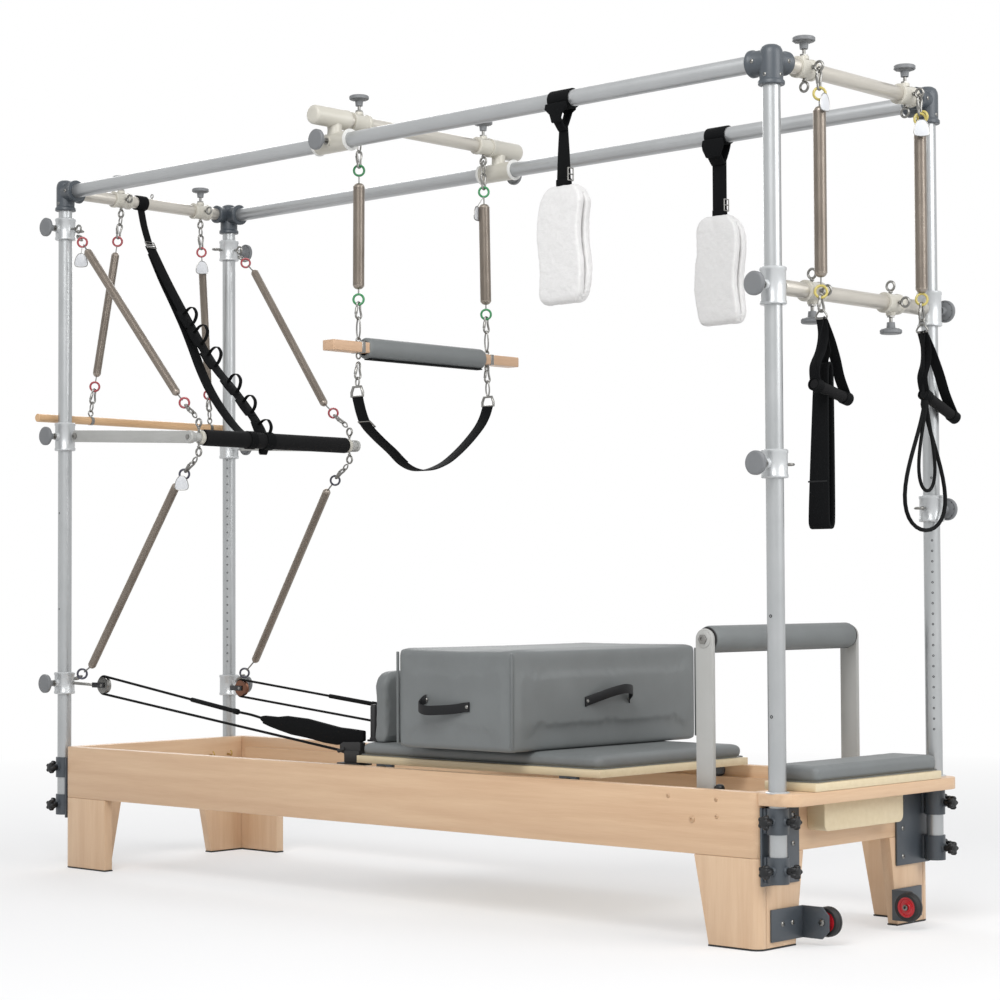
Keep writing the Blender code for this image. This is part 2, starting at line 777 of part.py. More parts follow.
def eye(centre, stem_from, axis=(0, 1, 0)):
    """A ring on a short stem."""
    centre = Vector(centre)
    run = (Vector(stem_from) - centre).normalized()
    return [torus(centre, axis, EYE_R, EYE_WIRE), rod(centre + run * (EYE_R - EYE_WIRE / 3), stem_from, EYE_STEM_R, 5)]


def side_knob(x, y, z, outward):
    """The knob of a collar, on the side that faces outward along Y."""
    return knob((x, y + outward * (COLLAR_R - LAP), z), (0, outward, 0), KNOB_REACH - COLLAR_R + LAP,
                KNOB_R, KNOB_THICK)


def collar(x, y, z, tall, outward):
    """A clamping collar round an upright with its knob."""
    return [lathe([(COLLAR_R, -tall / 2), (COLLAR_R, tall / 2)], (x, y, z), (0, 0, 1), PIN_SIDES)] + side_knob(
        x, y, z, outward)


# Uprights with the collars clamped to them
PUSH_LUG_Y = UPRIGHT_Y - PUSH_ARM / 2 - GAP
for end, end_tag in ENDS.items():
    for side, tag in SIDES.items():
        x = end * UPRIGHT_X
        y = side * UPRIGHT_Y
        tall = CASTING_LOW - GAP - UPRIGHT_FOOT
        shells = [lathe([(UPRIGHT_R, 0), (UPRIGHT_R, tall)], (x, y, UPRIGHT_FOOT), (0, 0, 1), ROUND)]
        if end < 0:
            shells += collar(x, y, HEAD_UPPER_COLLAR, COLLAR_TALL, side)
            eye_at = (x + HEAD_EYE_OUT, y - side * HEAD_EYE_IN, HEAD_UPPER_COLLAR - HEAD_EYE_DROP)
            shells += eye(eye_at, (x + EYE_ROOT, y, HEAD_UPPER_COLLAR))
            shells += collar(x, y, PUSH_Z, PUSH_COLLAR_TALL, side)
            profile = [(x + PUSH_LUG_ROOT, PUSH_Z - PUSH_LUG_R)]
            profile += arc((PUSH_X, PUSH_Z), PUSH_LUG_R, -90, 90, 6)
            profile.append((x + PUSH_LUG_ROOT, PUSH_Z + PUSH_LUG_R))
            shells.append(prism(profile, "y", *span(side * PUSH_LUG_Y, side * (PUSH_LUG_Y - PUSH_ARM))))
            pin_ends = (side * (PUSH_LUG_Y - LAP), side * (UPRIGHT_Y + PUSH_ARM / 2 + LAP))
            shells.append(rod((PUSH_X, pin_ends[0], PUSH_Z), (PUSH_X, pin_ends[1], PUSH_Z), PIVOT_R, 12))
        else:
            shells += collar(x, y, SECOND_COLLAR[side], COLLAR_TALL, side)
            shells += eye((x + SECOND_EYE_OUT, y, SECOND_COLLAR[side]), (x + EYE_ROOT, y, SECOND_COLLAR[side]))
        piece("upright_%s_%s" % (end_tag, tag), "silver", shells)

# Top rails
RAIL_END = UPRIGHT_X - CASTING_ARM - GAP
for side, tag in SIDES.items():
    y = side * UPRIGHT_Y
    piece("top_rail_" + tag, "silver", [
        rod((-RAIL_END, y, RAIL_Z), (RAIL_END, y, RAIL_Z), RAIL_R, ROUND),
    ])


def casting(end, side):
    """A three-way corner elbow."""
    x = end * UPRIGHT_X
    y = side * UPRIGHT_Y
    post = lathe([(CASTING_R, CASTING_LOW), (CASTING_R, CASTING_HIGH - CASTING_CHAMFER),
                  (CASTING_R - CASTING_CHAMFER, CASTING_HIGH)], (x, y, 0), (0, 0, 1), ROUND)
    arm = rod((x, y, RAIL_Z), (end * (UPRIGHT_X - CASTING_ARM), y, RAIL_Z), CASTING_ARM_R, 12)
    socket = rod((x, y, CROSSBAR_Z), (x, side * (UPRIGHT_Y - CASTING_ARM), CROSSBAR_Z), CASTING_SOCKET_R, 12)
    return [post, arm, socket]


def carrier(x, y, z, knob_way, eye_ways):
    """A sleeve on a crossbar with a knob and one or two eyes."""
    half = CARRIER_LONG / 2
    middle = Vector((x, y, z))
    root = CARRIER_R - LAP
    parts = [rod((x, y - half, z), (x, y + half, z), CARRIER_R, 10)]
    parts += knob(middle + Vector(knob_way) * root, knob_way, CARRIER_KNOB_RISE - root, CARRIER_KNOB_R, KNOB_THICK)
    for way in eye_ways:
        step = Vector(way)
        parts += eye(middle + step * EYE_DROP, middle + step * root)
    return parts


# Crossbars that carry the corner castings
bar_half = UPRIGHT_Y - CASTING_R / 2
for end, tag, places, eye_ways in (
        (-1, "head", ROLL_DOWN_TOPS, [(0, 0, -1)]), (1, "foot", FOOT_CARRIERS, [(1, 0, 0), (0, 0, -1)])):
    x = end * UPRIGHT_X
    shells = casting(end, -1) + casting(end, 1)
    for side in SIDES:
        shells += carrier(x, places[side], CROSSBAR_Z, (0, 0, 1), eye_ways)
    shells.append(rod((x, -bar_half, CROSSBAR_Z), (x, bar_half, CROSSBAR_Z), CROSSBAR_R, 12))
    piece(tag + "_crossbar", "champagne", shells)

# Clamps that hold the uprights to the end panels
for end, end_tag in ENDS.items():
    for side, tag in SIDES.items():
        x = end * UPRIGHT_X
        y = side * UPRIGHT_Y
        face = end * (HALF_LENGTH + GAP)
        edge = HALF_WIDTH - CLAMP_INSET
        shells = [slab(*span(face, face + end * CLAMP_PLATE), *span(side * edge, side * (edge - CLAMP_PLATE_WIDE)),
                       CLAMP_PLATE_LOW, CLAMP_PLATE_HIGH)]
        for low, high in SLEEVE_SPANS:
            shells.append(tube_ring((x, y, low), (x, y, high), SLEEVE_R, UPRIGHT_R + FIT, ROUND))
            web = span(face + end * CLAMP_PLATE / 2, end * (UPRIGHT_X - (UPRIGHT_R + SLEEVE_R) / 2))
            shells.append(slab(*web, y - CLAMP_WEB_HALF, y + CLAMP_WEB_HALF, low + LAP, high - LAP))
            wall = (UPRIGHT_R + FIT + SLEEVE_R) / 2
            for way in ((end, 0, 0), (0, side, 0)):
                start = (x + way[0] * wall, y + way[1] * wall, (low + high) / 2)
                shells += knob(start, way, STAR_REACH, STAR_R, STAR_THICK)
        piece("upright_clamp_%s_%s" % (end_tag, tag), "slate_metal", shells)

# Transport wheels on bent brackets
NOSE = WHEEL_X + BRACKET_NOSE
WHEEL_IN = FLANGE_Y - BRACKET_THICK / 2 - SPACER_LONG
WHEEL_FACE = WHEEL_IN - WHEEL_WIDE
for side, tag in SIDES.items():
    face = HALF_LENGTH + GAP
    plate = slab(face, face + BRACKET_THICK, *span(side * (FLANGE_Y + BRACKET_WIDE), side * FLANGE_Y),
                 BRACKET_LOW, BRACKET_HIGH)
    profile = [
        (face, BRACKET_LOW), (NOSE - BRACKET_CUT, BRACKET_LOW), (NOSE, BRACKET_LOW + BRACKET_CUT),
        (NOSE, BRACKET_HIGH - BRACKET_CUT), (NOSE - BRACKET_CUT, BRACKET_HIGH), (face, BRACKET_HIGH),
    ]
    flange = prism(profile, "y", *span(side * (FLANGE_Y + BRACKET_THICK / 2), side * (FLANGE_Y - BRACKET_THICK / 2)))
    axle_end = WHEEL_FACE - LAP
    axle = rod((WHEEL_X, side * FLANGE_Y, WHEEL_Z), (WHEEL_X, side * axle_end, WHEEL_Z), AXLE_R, BAR_SIDES)
    head_cap = rod((WHEEL_X, side * (WHEEL_FACE - PIN_FIT), WHEEL_Z),
                   (WHEEL_X, side * (WHEEL_FACE - PIN_FIT - AXLE_HEAD), WHEEL_Z), AXLE_HEAD_R, 12)
    spacer = rod((WHEEL_X, side * (WHEEL_IN + PIN_FIT), WHEEL_Z), (WHEEL_X, side * FLANGE_Y, WHEEL_Z), SPACER_R, 12)
    piece("wheel_bracket_" + tag, "slate_metal", [plate, flange, axle, head_cap, spacer])
    bore = AXLE_R + PIN_FIT
    profile = [
        (bore, 0.0), (WHEEL_R - WHEEL_EDGE, 0.0), (WHEEL_R, WHEEL_CROWN),
        (WHEEL_R, WHEEL_WIDE - WHEEL_CROWN), (WHEEL_R - WHEEL_EDGE, WHEEL_WIDE), (bore, WHEEL_WIDE),
    ]
    hub = (WHEEL_X, side * WHEEL_FACE, WHEEL_Z)
    piece("wheel_" + tag, "black_rubber", [lathe(profile, hub, (0, side, 0), BAR_SIDES, True)],
          origin=(WHEEL_X, side * (WHEEL_IN + WHEEL_FACE) / 2, WHEEL_Z))

# Low collars with the rope pulleys
for side, tag in SIDES.items():
    x = -UPRIGHT_X
    y = side * UPRIGHT_Y
    z = PULLEY_COLLAR[side]
    shells = [tube_ring((x, y, z - COLLAR_TALL / 2), (x, y, z + COLLAR_TALL / 2), COLLAR_R, UPRIGHT_R + FIT, ROUND)]
    shells += side_knob(x, y, z, side)
    wheel_y = side * PULLEY_Y
    hub = Vector((PULLEY_X, wheel_y, z - PULLEY_DROP))
    half = PULLEY_WIDE / 2
    shells.append(lathe([(PULLEY_R + PULLEY_RIM, -half), (PULLEY_R, -half + PULLEY_RIM),
                         (PULLEY_R, half - PULLEY_RIM), (PULLEY_R + PULLEY_RIM, half)], hub, (0, 1, 0), 16))
    cheek = span(wheel_y + side * (half - AXLE_R / 4), wheel_y + side * (half - AXLE_R / 4 + CHEEK_THICK))
    shells.append(slab(PULLEY_X - CHEEK_LONG, PULLEY_X + CHEEK_NOSE, *cheek, hub.z - CHEEK_HALF, hub.z + CHEEK_HALF))
    shells.append(rod((x + COLLAR_R * 0.8, y - side * PULLEY_STEM_IN, z),
                      (PULLEY_X - CHEEK_LONG + PULLEY_STEM_R, (cheek[0] + cheek[1]) / 2, hub.z), PULLEY_STEM_R, 8))
    piece("pulley_collar_" + tag, "champagne", shells)

# Lower crossbar, clamped on the foot uprights by two collars
inset = UPRIGHT_Y - CROSSBAR_INSET
shells = [rod((UPRIGHT_X, -inset, LOWER_BAR_Z), (UPRIGHT_X, inset, LOWER_BAR_Z), CROSSBAR_R, 12)]
for side in SIDES:
    y = side * UPRIGHT_Y
    half = LOWER_COLLAR_TALL / 2
    shells.append(tube_ring((UPRIGHT_X, y, LOWER_BAR_Z - half), (UPRIGHT_X, y, LOWER_BAR_Z + half),
                            COLLAR_R, UPRIGHT_R + FIT, ROUND))
    shells += side_knob(UPRIGHT_X, y, LOWER_BAR_Z, side)
    shells += carrier(UPRIGHT_X, LOWER_CARRIERS[side], LOWER_BAR_Z, (0, 0, -1), [(0, 0, 1)])
piece("lower_crossbar", "champagne", shells, origin=(UPRIGHT_X, 0, LOWER_BAR_Z))

# Carriage on rollers that run along the tracks
DECK_TOP = DECK_LOW + DECK_THICK
ROLLER_Z = TRACK_TOP + ROLLER_R + GAP
shells = [slab(DECK_LEFT, DECK_RIGHT, -DECK_HALF, DECK_HALF, DECK_LOW, DECK_TOP)]
for x in ROLLER_XS:
    for side in SIDES:
        ys = span(side * (DECK_HALF - BRACKET_IN), side * (DECK_HALF - BRACKET_OUT))
        shells.append(slab(x - BRACKET_HALF, x + BRACKET_HALF, *ys, ROLLER_Z - BRACKET_BELOW, DECK_LOW + LAP))
        shells.append(rod((x, side * (DECK_HALF - ROLLER_IN), ROLLER_Z),
                          (x, side * (INNER_FACE - ROLLER_SIDE), ROLLER_Z), ROLLER_R, 10))
piece("carriage_deck", "cream_ply", shells)
PAD_Z = DECK_TOP + GAP
PAD_TOP = PAD_Z + PAD_THICK
piece("carriage_pad", "grey_vinyl", [
    cushion((DECK_LEFT + PAD_INSET, DECK_RIGHT - PAD_INSET), (-DECK_HALF + PAD_INSET, DECK_HALF - PAD_INSET),
            (PAD_Z, PAD_TOP), 0.0, PAD_CORNER, 6, 6),
])

# Shoulder rests with the rope posts
ON_PAD = PAD_TOP + GAP
REST_X = DECK_LEFT + REST_IN
POST_X = REST_X - POST_OUT
for side, tag in SIDES.items():
    y0 = side * REST_Y - REST_WIDE / 2
    y1 = side * REST_Y + REST_WIDE / 2
    crown_z = ON_PAD + REST_HIGH - REST_CORNER
    profile = [(y0, ON_PAD), (y1, ON_PAD)]
    profile += arc((y1 - REST_CORNER, crown_z), REST_CORNER, 0, 90, 4)
    profile += arc((y0 + REST_CORNER, crown_z), REST_CORNER, 90, 180, 4)
    body = prism(profile, "x", REST_X, REST_X + REST_THICK)
    post_y = side * POST_Y
    post = lathe([(POST_R, 0), (POST_R, POST_HIGH - POST_CROWN), (POST_R - POST_CROWN, POST_HIGH)],
                 (POST_X, post_y, ON_PAD), (0, 0, 1), 12)
    foot_plate = slab(POST_X - POST_FOOT_HALF, REST_X + LAP, post_y - POST_FOOT_HALF, post_y + POST_FOOT_HALF,
                      ON_PAD, ON_PAD + POST_FOOT)
    piece("shoulder_rest_" + tag, "grey_vinyl", [body, post, foot_plate])

# Sitting box with rounded edges
piece("sitting_box", "grey_vinyl", [
    cushion((BOX_LEFT, BOX_LEFT + BOX_LONG), (-BOX_HALF, BOX_HALF), (ON_PAD, ON_PAD + BOX_HIGH),
            BOX_CROWN, BOX_CORNER, 4, 6),
])

# Footbar
shells = []
for side in SIDES:
    ys = span(side * (FOOTBAR_ARM_Y - FOOTBAR_ARM / 2), side * (FOOTBAR_ARM_Y + FOOTBAR_ARM / 2))
    half = FOOTBAR_ARM_WIDE / 2
    profile = arc((FOOTBAR_X, FOOTBAR_PIVOT), half, 180, 360, 6)
    profile += arc((FOOTBAR_X, FOOTBAR_TOP), half, 0, 180, 8)
    shells.append(prism(profile, "y", *ys))
    shells.append(rod((FOOTBAR_X, side * FOOTBAR_ARM_Y, FOOTBAR_PIVOT),
                      (FOOTBAR_X, side * (TRACK_IN - GAP), FOOTBAR_PIVOT), PIVOT_R, 12))
shells.append(rod((FOOTBAR_X, -FOOTBAR_ARM_Y, FOOTBAR_TOP), (FOOTBAR_X, FOOTBAR_ARM_Y, FOOTBAR_TOP),
                  FOOTBAR_TUBE_R, BAR_SIDES))
FOOTBAR_ORIGIN = (FOOTBAR_X, 0, FOOTBAR_PIVOT)
piece("footbar_frame", "silver", shells, origin=FOOTBAR_ORIGIN)
roll_half = FOOTBAR_ARM_Y - FOOTBAR_ARM / 2 - FOOTBAR_ROLL_GAP
piece("footbar_roll", "grey_vinyl", [
    lathe([(FOOTBAR_TUBE_R + FIT, -roll_half), (FOOTBAR_ROLL_R - ROLL_EDGE, -roll_half),
           (FOOTBAR_ROLL_R, -roll_half + ROLL_CROWN), (FOOTBAR_ROLL_R, roll_half - ROLL_CROWN),
           (FOOTBAR_ROLL_R - ROLL_EDGE, roll_half), (FOOTBAR_TUBE_R + FIT, roll_half)],
          (FOOTBAR_X, 0, FOOTBAR_TOP), (0, 1, 0), BAR_SIDES, True),
], origin=FOOTBAR_ORIGIN)

# Push bar: two flat arms on the collar pivots and a foam grip between them
PUSH_ORIGIN = (PUSH_X, 0, PUSH_Z)
shells = [rod((PUSH_END_X, -UPRIGHT_Y, PUSH_END_Z), (PUSH_END_X, UPRIGHT_Y, PUSH_END_Z), PUSH_TUBE_R, 12)]
holes = []
for side in SIDES:
    y = side * UPRIGHT_Y
    half = PUSH_ARM_TALL / 2
    profile = arc((PUSH_X, PUSH_Z), half, 90, 270, 6)
    profile += arc((PUSH_END_X, PUSH_END_Z), half, -90, 90, 6)
    shells.append(prism(profile, "y", y - PUSH_ARM / 2, y + PUSH_ARM / 2))
    holes.append(rod((PUSH_X, y - CUT_PAST, PUSH_Z), (PUSH_X, y + CUT_PAST, PUSH_Z), PIVOT_R + PIN_FIT, 12))
    cap = (side * (PUSH_GRIP_HALF + PUSH_CAP_GAP), side * (PUSH_GRIP_HALF + PUSH_CAP_GAP + PUSH_CAP_LONG))
    shells.append(rod((PUSH_END_X, cap[0], PUSH_END_Z), (PUSH_END_X, cap[1], PUSH_END_Z), PUSH_CAP_R, 12))
    eye_y = side * PUSH_EYE_Y
    for way in (-1, 1):
        shells += eye((PUSH_END_X, eye_y, PUSH_END_Z + way * PUSH_EYE_RISE),
                      (PUSH_END_X, eye_y, PUSH_END_Z + way * PUSH_EYE_STEM))
    stud_y = (cap[0] + cap[1]) / 2
    shells.append(rod((PUSH_END_X, stud_y, PUSH_END_Z - PUSH_STUD_RISE),
                      (PUSH_END_X, stud_y, PUSH_END_Z + PUSH_STUD_RISE), PUSH_STUD_R, 8))
piece("push_bar_frame", "champagne", shells, holes, origin=PUSH_ORIGIN)
piece("push_bar_grip", "black_rubber", [
    tube_ring((PUSH_END_X, -PUSH_GRIP_HALF, PUSH_END_Z), (PUSH_END_X, PUSH_GRIP_HALF, PUSH_END_Z),
              PUSH_GRIP_R, PUSH_TUBE_R + FIT, BAR_SIDES),
], origin=PUSH_ORIGIN)


def wound(start, top, low, end):
    """A close-wound spring as a smooth rod with a link at each end."""
    start, top, low, end = (Vector(p) for p in (start, top, low, end))
    run = (low - top).normalized()
    neck = SPRING_R * SPRING_NECK
    path = [start, top - run * LAP, top, top + run * SPRING_TAPER, low - run * SPRING_TAPER, low, low + run * LAP, end]
    return sweep(path, [LINK_R, LINK_R, neck, SPRING_R, SPRING_R, neck, LINK_R, LINK_R], 10)


# Springs between the collars and the push bar
for side, tag in SIDES.items():
    out, inward, drop = UPPER_SPRING_START
    start = (-UPRIGHT_X + out, side * (UPRIGHT_Y - inward), HEAD_UPPER_COLLAR - drop)
    out, outward, drop = UPPER_SPRING_TOP
    top = (-UPRIGHT_X + out, side * (UPRIGHT_Y + outward), HEAD_UPPER_COLLAR - drop)
    back, outward, rise = UPPER_SPRING_LOW
    low = (PUSH_END_X - back, side * (PUSH_GRIP_HALF + outward), PUSH_END_Z + rise)
    end = (PUSH_END_X - PUSH_LINK_IN, side * PUSH_EYE_Y, PUSH_END_Z + PUSH_LINK_RISE)
    piece("push_spring_upper_" + tag, "spring_steel", [wound(start, top, low, end)], origin=PUSH_ORIGIN)
    out, inward, rise = LOWER_SPRING_START
    start = (-UPRIGHT_X + out, side * (UPRIGHT_Y - inward), PULLEY_COLLAR[side] + rise)
    out, inward, rise = LOWER_SPRING_LOW
    low = (-UPRIGHT_X + out, side * (UPRIGHT_Y - inward), PULLEY_COLLAR[side] + rise[side])
    back, outward, drop = LOWER_SPRING_TOP
    top = (PUSH_END_X - back, side * (PUSH_GRIP_HALF + outward), PUSH_END_Z - drop)
    end = (PUSH_END_X - PUSH_LINK_IN, side * PUSH_EYE_Y, PUSH_END_Z - PUSH_LINK_RISE)
    piece("push_spring_lower_" + tag, "spring_steel", [wound(start, low, top, end)], origin=PUSH_ORIGIN)


def dowel(x, ends, z, radius):
    """A wood rod along Y with broken edges."""
    long = ends[1] - ends[0]
    return lathe([(radius - DOWEL_EDGE, 0), (radius, DOWEL_EDGE), (radius, long - DOWEL_EDGE),
                  (radius - DOWEL_EDGE, long)], (x, ends[0], z), (0, 1, 0), BAR_SIDES)


# Roll-down bar on its two springs
ROLL_EYE_Z = CROSSBAR_Z - EYE_DROP
ROLL_ORIGIN = (-UPRIGHT_X, 0, ROLL_EYE_Z)
for side, tag in SIDES.items():
    hook = Vector((-UPRIGHT_X, ROLL_DOWN_TOPS[side], ROLL_EYE_Z - HOOK_DROP))
    end = Vector((ROLL_DOWN_X, side * (ROLL_DOWN_HALF - ROLL_DOWN_IN[side]), ROLL_DOWN_Z + ROLL_DOWN_R + ROLL_DOWN_TILT))
    run = (end - hook).normalized()
    piece("roll_down_spring_" + tag, "spring_steel", [
        torus(hook, (1, 0, 0), HOOK_R, HOOK_WIRE),
        wound(hook + run * (HOOK_R - HOOK_WIRE / 2), hook + run * ROLL_DOWN_LINK, hook + run * ROLL_DOWN_REACH, end),
    ], origin=ROLL_ORIGIN)
piece("roll_down_bar", "ash_dowel", [
    dowel(ROLL_DOWN_X, (-ROLL_DOWN_HALF, ROLL_DOWN_HALF), ROLL_DOWN_Z, ROLL_DOWN_R),
], origin=ROLL_ORIGIN)

# Trapeze carrier: a crossbar above the top rails with a clamp on each rail
TRAPEZE_EYE_Z = TRAPEZE_BAR_Z - EYE_DROP
bar_half = TRAPEZE_BAR_HALF - LAP
shells = [rod((TRAPEZE_X, -bar_half, TRAPEZE_BAR_Z), (TRAPEZE_X, bar_half, TRAPEZE_BAR_Z), CROSSBAR_R, 12)]
cuts = []
for side in SIDES:
    y = side * UPRIGHT_Y
    shells.append(rod((TRAPEZE_X, side * TRAPEZE_BAR_HALF, TRAPEZE_BAR_Z),
                      (TRAPEZE_X, y - side * TRAPEZE_SLEEVE_HALF, TRAPEZE_BAR_Z), TRAPEZE_SLEEVE_R, 12))
    shells.append(rod((TRAPEZE_X - SHOE_HALF, y, RAIL_Z), (TRAPEZE_X + SHOE_HALF, y, RAIL_Z), SHOE_R, ROUND))
    shells.append(rod((TRAPEZE_X, y, RAIL_Z), (TRAPEZE_X, y, TRAPEZE_BAR_Z - CROSSBAR_R / 2), SHOE_NECK_R, 12))
    cuts.append(rod((TRAPEZE_X - SHOE_HALF - CUT_PAST, y, RAIL_Z), (TRAPEZE_X + SHOE_HALF + CUT_PAST, y, RAIL_Z),
                    RAIL_R + FIT, ROUND))
    shells += knob((TRAPEZE_X, y + side * (RAIL_R + LAP), RAIL_Z), (0, side, 0), SHOE_KNOB_REACH,
                   KNOB_R, KNOB_THICK)
    shells += carrier(TRAPEZE_X, TRAPEZE_Y[side], TRAPEZE_BAR_Z, (0, 0, 1), [(0, 0, -1)])
piece("trapeze_carrier", "champagne", shells, cuts, origin=(TRAPEZE_X, 0, TRAPEZE_BAR_Z))

# Trapeze springs with open curls
TRAPEZE_ORIGIN = (TRAPEZE_X, 0, TRAPEZE_EYE_Z)
DOWEL_EYES = {-1: DOWEL_ROLL[0] - DOWEL_EYE_OUT[-1], 1: DOWEL_ROLL[1] + DOWEL_EYE_OUT[1]}


def curls(top, low, radius, turns):
    """Points of a helix between two points on its axis."""
    along, across, up = frame_of(low - top)
    steps = turns * CURL_POINTS
    points = []
    for i in range(steps + 1):
        turn = 2 * math.pi * i / CURL_POINTS
        out = across * math.cos(turn) + up * math.sin(turn)
        points.append(top + (low - top) * (i / steps) + out * radius)
    return points


def least_gap(points, wire, skip):
    """Least free space between curls that are not neighbours along the wire."""
    best = 1.0
    for i, a in enumerate(points):
        for b in points[i + skip:i + 3 * skip]:
            best = min(best, (a - b).length)
    return best - 2 * wire


for side, tag in SIDES.items():
    hook = Vector((TRAPEZE_X, TRAPEZE_Y[side], TRAPEZE_EYE_Z - HOOK_DROP))
    end = Vector((TRAPEZE_X, DOWEL_EYES[side], DOWEL_Z + DOWEL_R + GAP))
    run = (end - hook).normalized()
    top = hook + (end - hook) * ((hook.z - TRAPEZE_SPRING_TOP) / (hook.z - end.z))
    low = hook + (end - hook) * ((hook.z - TRAPEZE_SPRING_LOW) / (hook.z - end.z))
    coil = curls(top, low, TRAPEZE_SPRING_R - COIL_WIRE_R, COIL_TURNS)
    print("coil", tag, "least gap mm", round(1000 * least_gap(coil, COIL_WIRE_R, CURL_POINTS - 2), 2))
    step_in = (coil[0] + top - run * COIL_LEAD) / 2
    step_out = (coil[-1] + low + run * COIL_LEAD) / 2
    lead_in = [hook + run * (HOOK_R - HOOK_WIRE / 2), top - run * COIL_TAIL, top - run * COIL_LEAD, step_in]
    lead_out = [step_out, low + run * COIL_LEAD, low + run * COIL_TAIL, end]
    piece("trapeze_spring_" + tag, "spring_steel", [
        torus(hook, (1, 0, 0), HOOK_R, HOOK_WIRE),
        sweep(lead_in + coil + lead_out, COIL_WIRE_R, 6),
    ], origin=TRAPEZE_ORIGIN)

# Trapeze bar: a wood dowel with a padded roll, and the sling below it
piece("trapeze_bar", "ash_dowel", [dowel(TRAPEZE_X, DOWEL_ENDS, DOWEL_Z, DOWEL_R)], origin=TRAPEZE_ORIGIN)
long = DOWEL_ROLL[1] - DOWEL_ROLL[0]
roll_r = DOWEL_ROLL_R - DOWEL_ROLL_EDGE
piece("trapeze_roll", "grey_vinyl", [
    lathe([(DOWEL_R + FIT, 0), (roll_r, 0), (DOWEL_ROLL_R, ROLL_CROWN), (DOWEL_ROLL_R, long - ROLL_CROWN),
           (roll_r, long), (DOWEL_R + FIT, long)], (TRAPEZE_X, DOWEL_ROLL[0], DOWEL_Z), (0, 1, 0), BAR_SIDES, True),
], origin=TRAPEZE_ORIGIN)
SLING_STEPS = 16
sling = []
for i in range(SLING_STEPS + 1):
    share = i / SLING_STEPS
    depth = max(math.sin(math.pi * share), 0.0) ** 0.8
    y = DOWEL_EYES[-1] + (DOWEL_EYES[1] - DOWEL_EYES[-1]) * (share - SLING_SLACK * math.sin(2 * math.pi * share))
    sling.append((TRAPEZE_X, y, SLING_TOP + (SLING_LOW - SLING_TOP) * depth))
shells = [ribbon(sling, (1, 0, 0), SLING_WIDE, SLING_THICK)]
for eye_y in DOWEL_EYES.values():
    shells.append(rod((TRAPEZE_X, eye_y, DOWEL_Z - DOWEL_R - GAP), (TRAPEZE_X, eye_y, SLING_TOP - LAP), EYE_STEM_R, 8))
piece("sling", "black_webbing", shells, origin=TRAPEZE_ORIGIN)

# Arm springs at the foot end: a pair on each carrier, joined by a yoke at each end
ARM_ORIGIN = (ARM_X, 0, CROSSBAR_Z)
for side, tag in SIDES.items():
    y = FOOT_CARRIERS[side]
    hook = Vector((ARM_X, y, CROSSBAR_Z - HOOK_DROP))
    yoke_top = ARM_SPRING_TOP + ARM_YOKE_RISE
    yoke_low = ARM_SPRING_LOW - ARM_YOKE_RISE
    shells = [
        torus(hook, (1, 0, 0), HOOK_R, HOOK_WIRE),
        rod(hook - Vector((0, 0, HOOK_R - HOOK_WIRE / 2)), (ARM_X, y, ARM_SPRING_TOP + SPRING_TAPER), LINK_R, 8),
    ]
    for z in (yoke_top, yoke_low):
        shells.append(rod((ARM_X, y - ARM_YOKE_HALF, z), (ARM_X, y + ARM_YOKE_HALF, z), EYE_STEM_R, 6))
    for step in (-1, 1):
        at = y + step * ARM_SPRING_STEP
        path = [(ARM_X, at, z) for z in (yoke_top, ARM_SPRING_TOP, ARM_SPRING_TOP - SPRING_TAPER,
                                         ARM_SPRING_LOW + SPRING_TAPER, ARM_SPRING_LOW, yoke_low)]
        shells.append(sweep(path, [LINK_R, ARM_NECK_R, ARM_SPRING_R, ARM_SPRING_R, ARM_NECK_R, LINK_R], 8))
    shells.append(rod((ARM_X, y, ARM_SPRING_LOW - SPRING_TAPER), (ARM_X, y, ARM_SPRING_LOW - ARM_LINK), EYE_STEM_R, 8))
    piece("arm_spring_" + tag, "spring_steel", shells, origin=ARM_ORIGIN)

# Hand loops below the arm springs
HAND_TOP = ARM_SPRING_LOW - ARM_LINK - GAP
RING_Z = HAND_TOP - HAND_RING


def handle(y, grip):
    """A link, a stiff grip and the two straps that hold it, at a carrier's Y."""
    ends = [(ARM_X, y + step, z) for step, z in grip]
    shells = [rod((ARM_X, y, HAND_TOP), (ARM_X, y, HAND_TOP - HAND_LINK), HAND_LINK_R, 8), rod(*ends, GRIP_R, 12)]
    for inset, (_, at, z) in zip((GRIP_INSET, -GRIP_INSET), ends):
        shells.append(ribbon([(ARM_X, y, RING_Z), (ARM_X, at + inset, z)], (1, 0, 0),
                             HAND_STRAP_WIDE, HAND_STRAP_THICK))
    return shells


near_y = FOOT_CARRIERS[-1]
loop = [(ARM_X, near_y + step, z) for step, z in FOOT_LOOP]
piece("hand_loops_near", "black_webbing", handle(near_y, NEAR_GRIP) + [
    ribbon(loop, (1, 0, 0), FOOT_LOOP_WIDE, FOOT_LOOP_THICK, True),
    rod((ARM_X, near_y, RING_Z), (ARM_X, near_y, FOOT_LOOP_CORD), LINK_R, 8),
], origin=ARM_ORIGIN)

far_y = FOOT_CARRIERS[1]
loop = []
for i in range(LOOP_POINTS):
    turn = 2 * math.pi * i / LOOP_POINTS
    wide = ROPE_LOOP_WIDE * (1 - math.cos(turn)) / 2 + ROPE_LOOP_NECK
    loop.append((ARM_X, far_y + ROPE_LOOP_SHIFT + wide * math.sin(turn), ROPE_LOOP_Z + ROPE_LOOP_RISE * math.cos(turn)))
piece("hand_loops_far", "black_webbing", handle(far_y, FAR_GRIP) + [
    ribbon(loop, (1, 0, 0), LOOP_ROPE_WIDE, LOOP_ROPE_WIDE, True),
    rod((ARM_X, far_y, RING_Z), (ARM_X, far_y + LAP, ROPE_LOOP_CORD), HAND_LINK_R, 8),
], origin=ARM_ORIGIN)

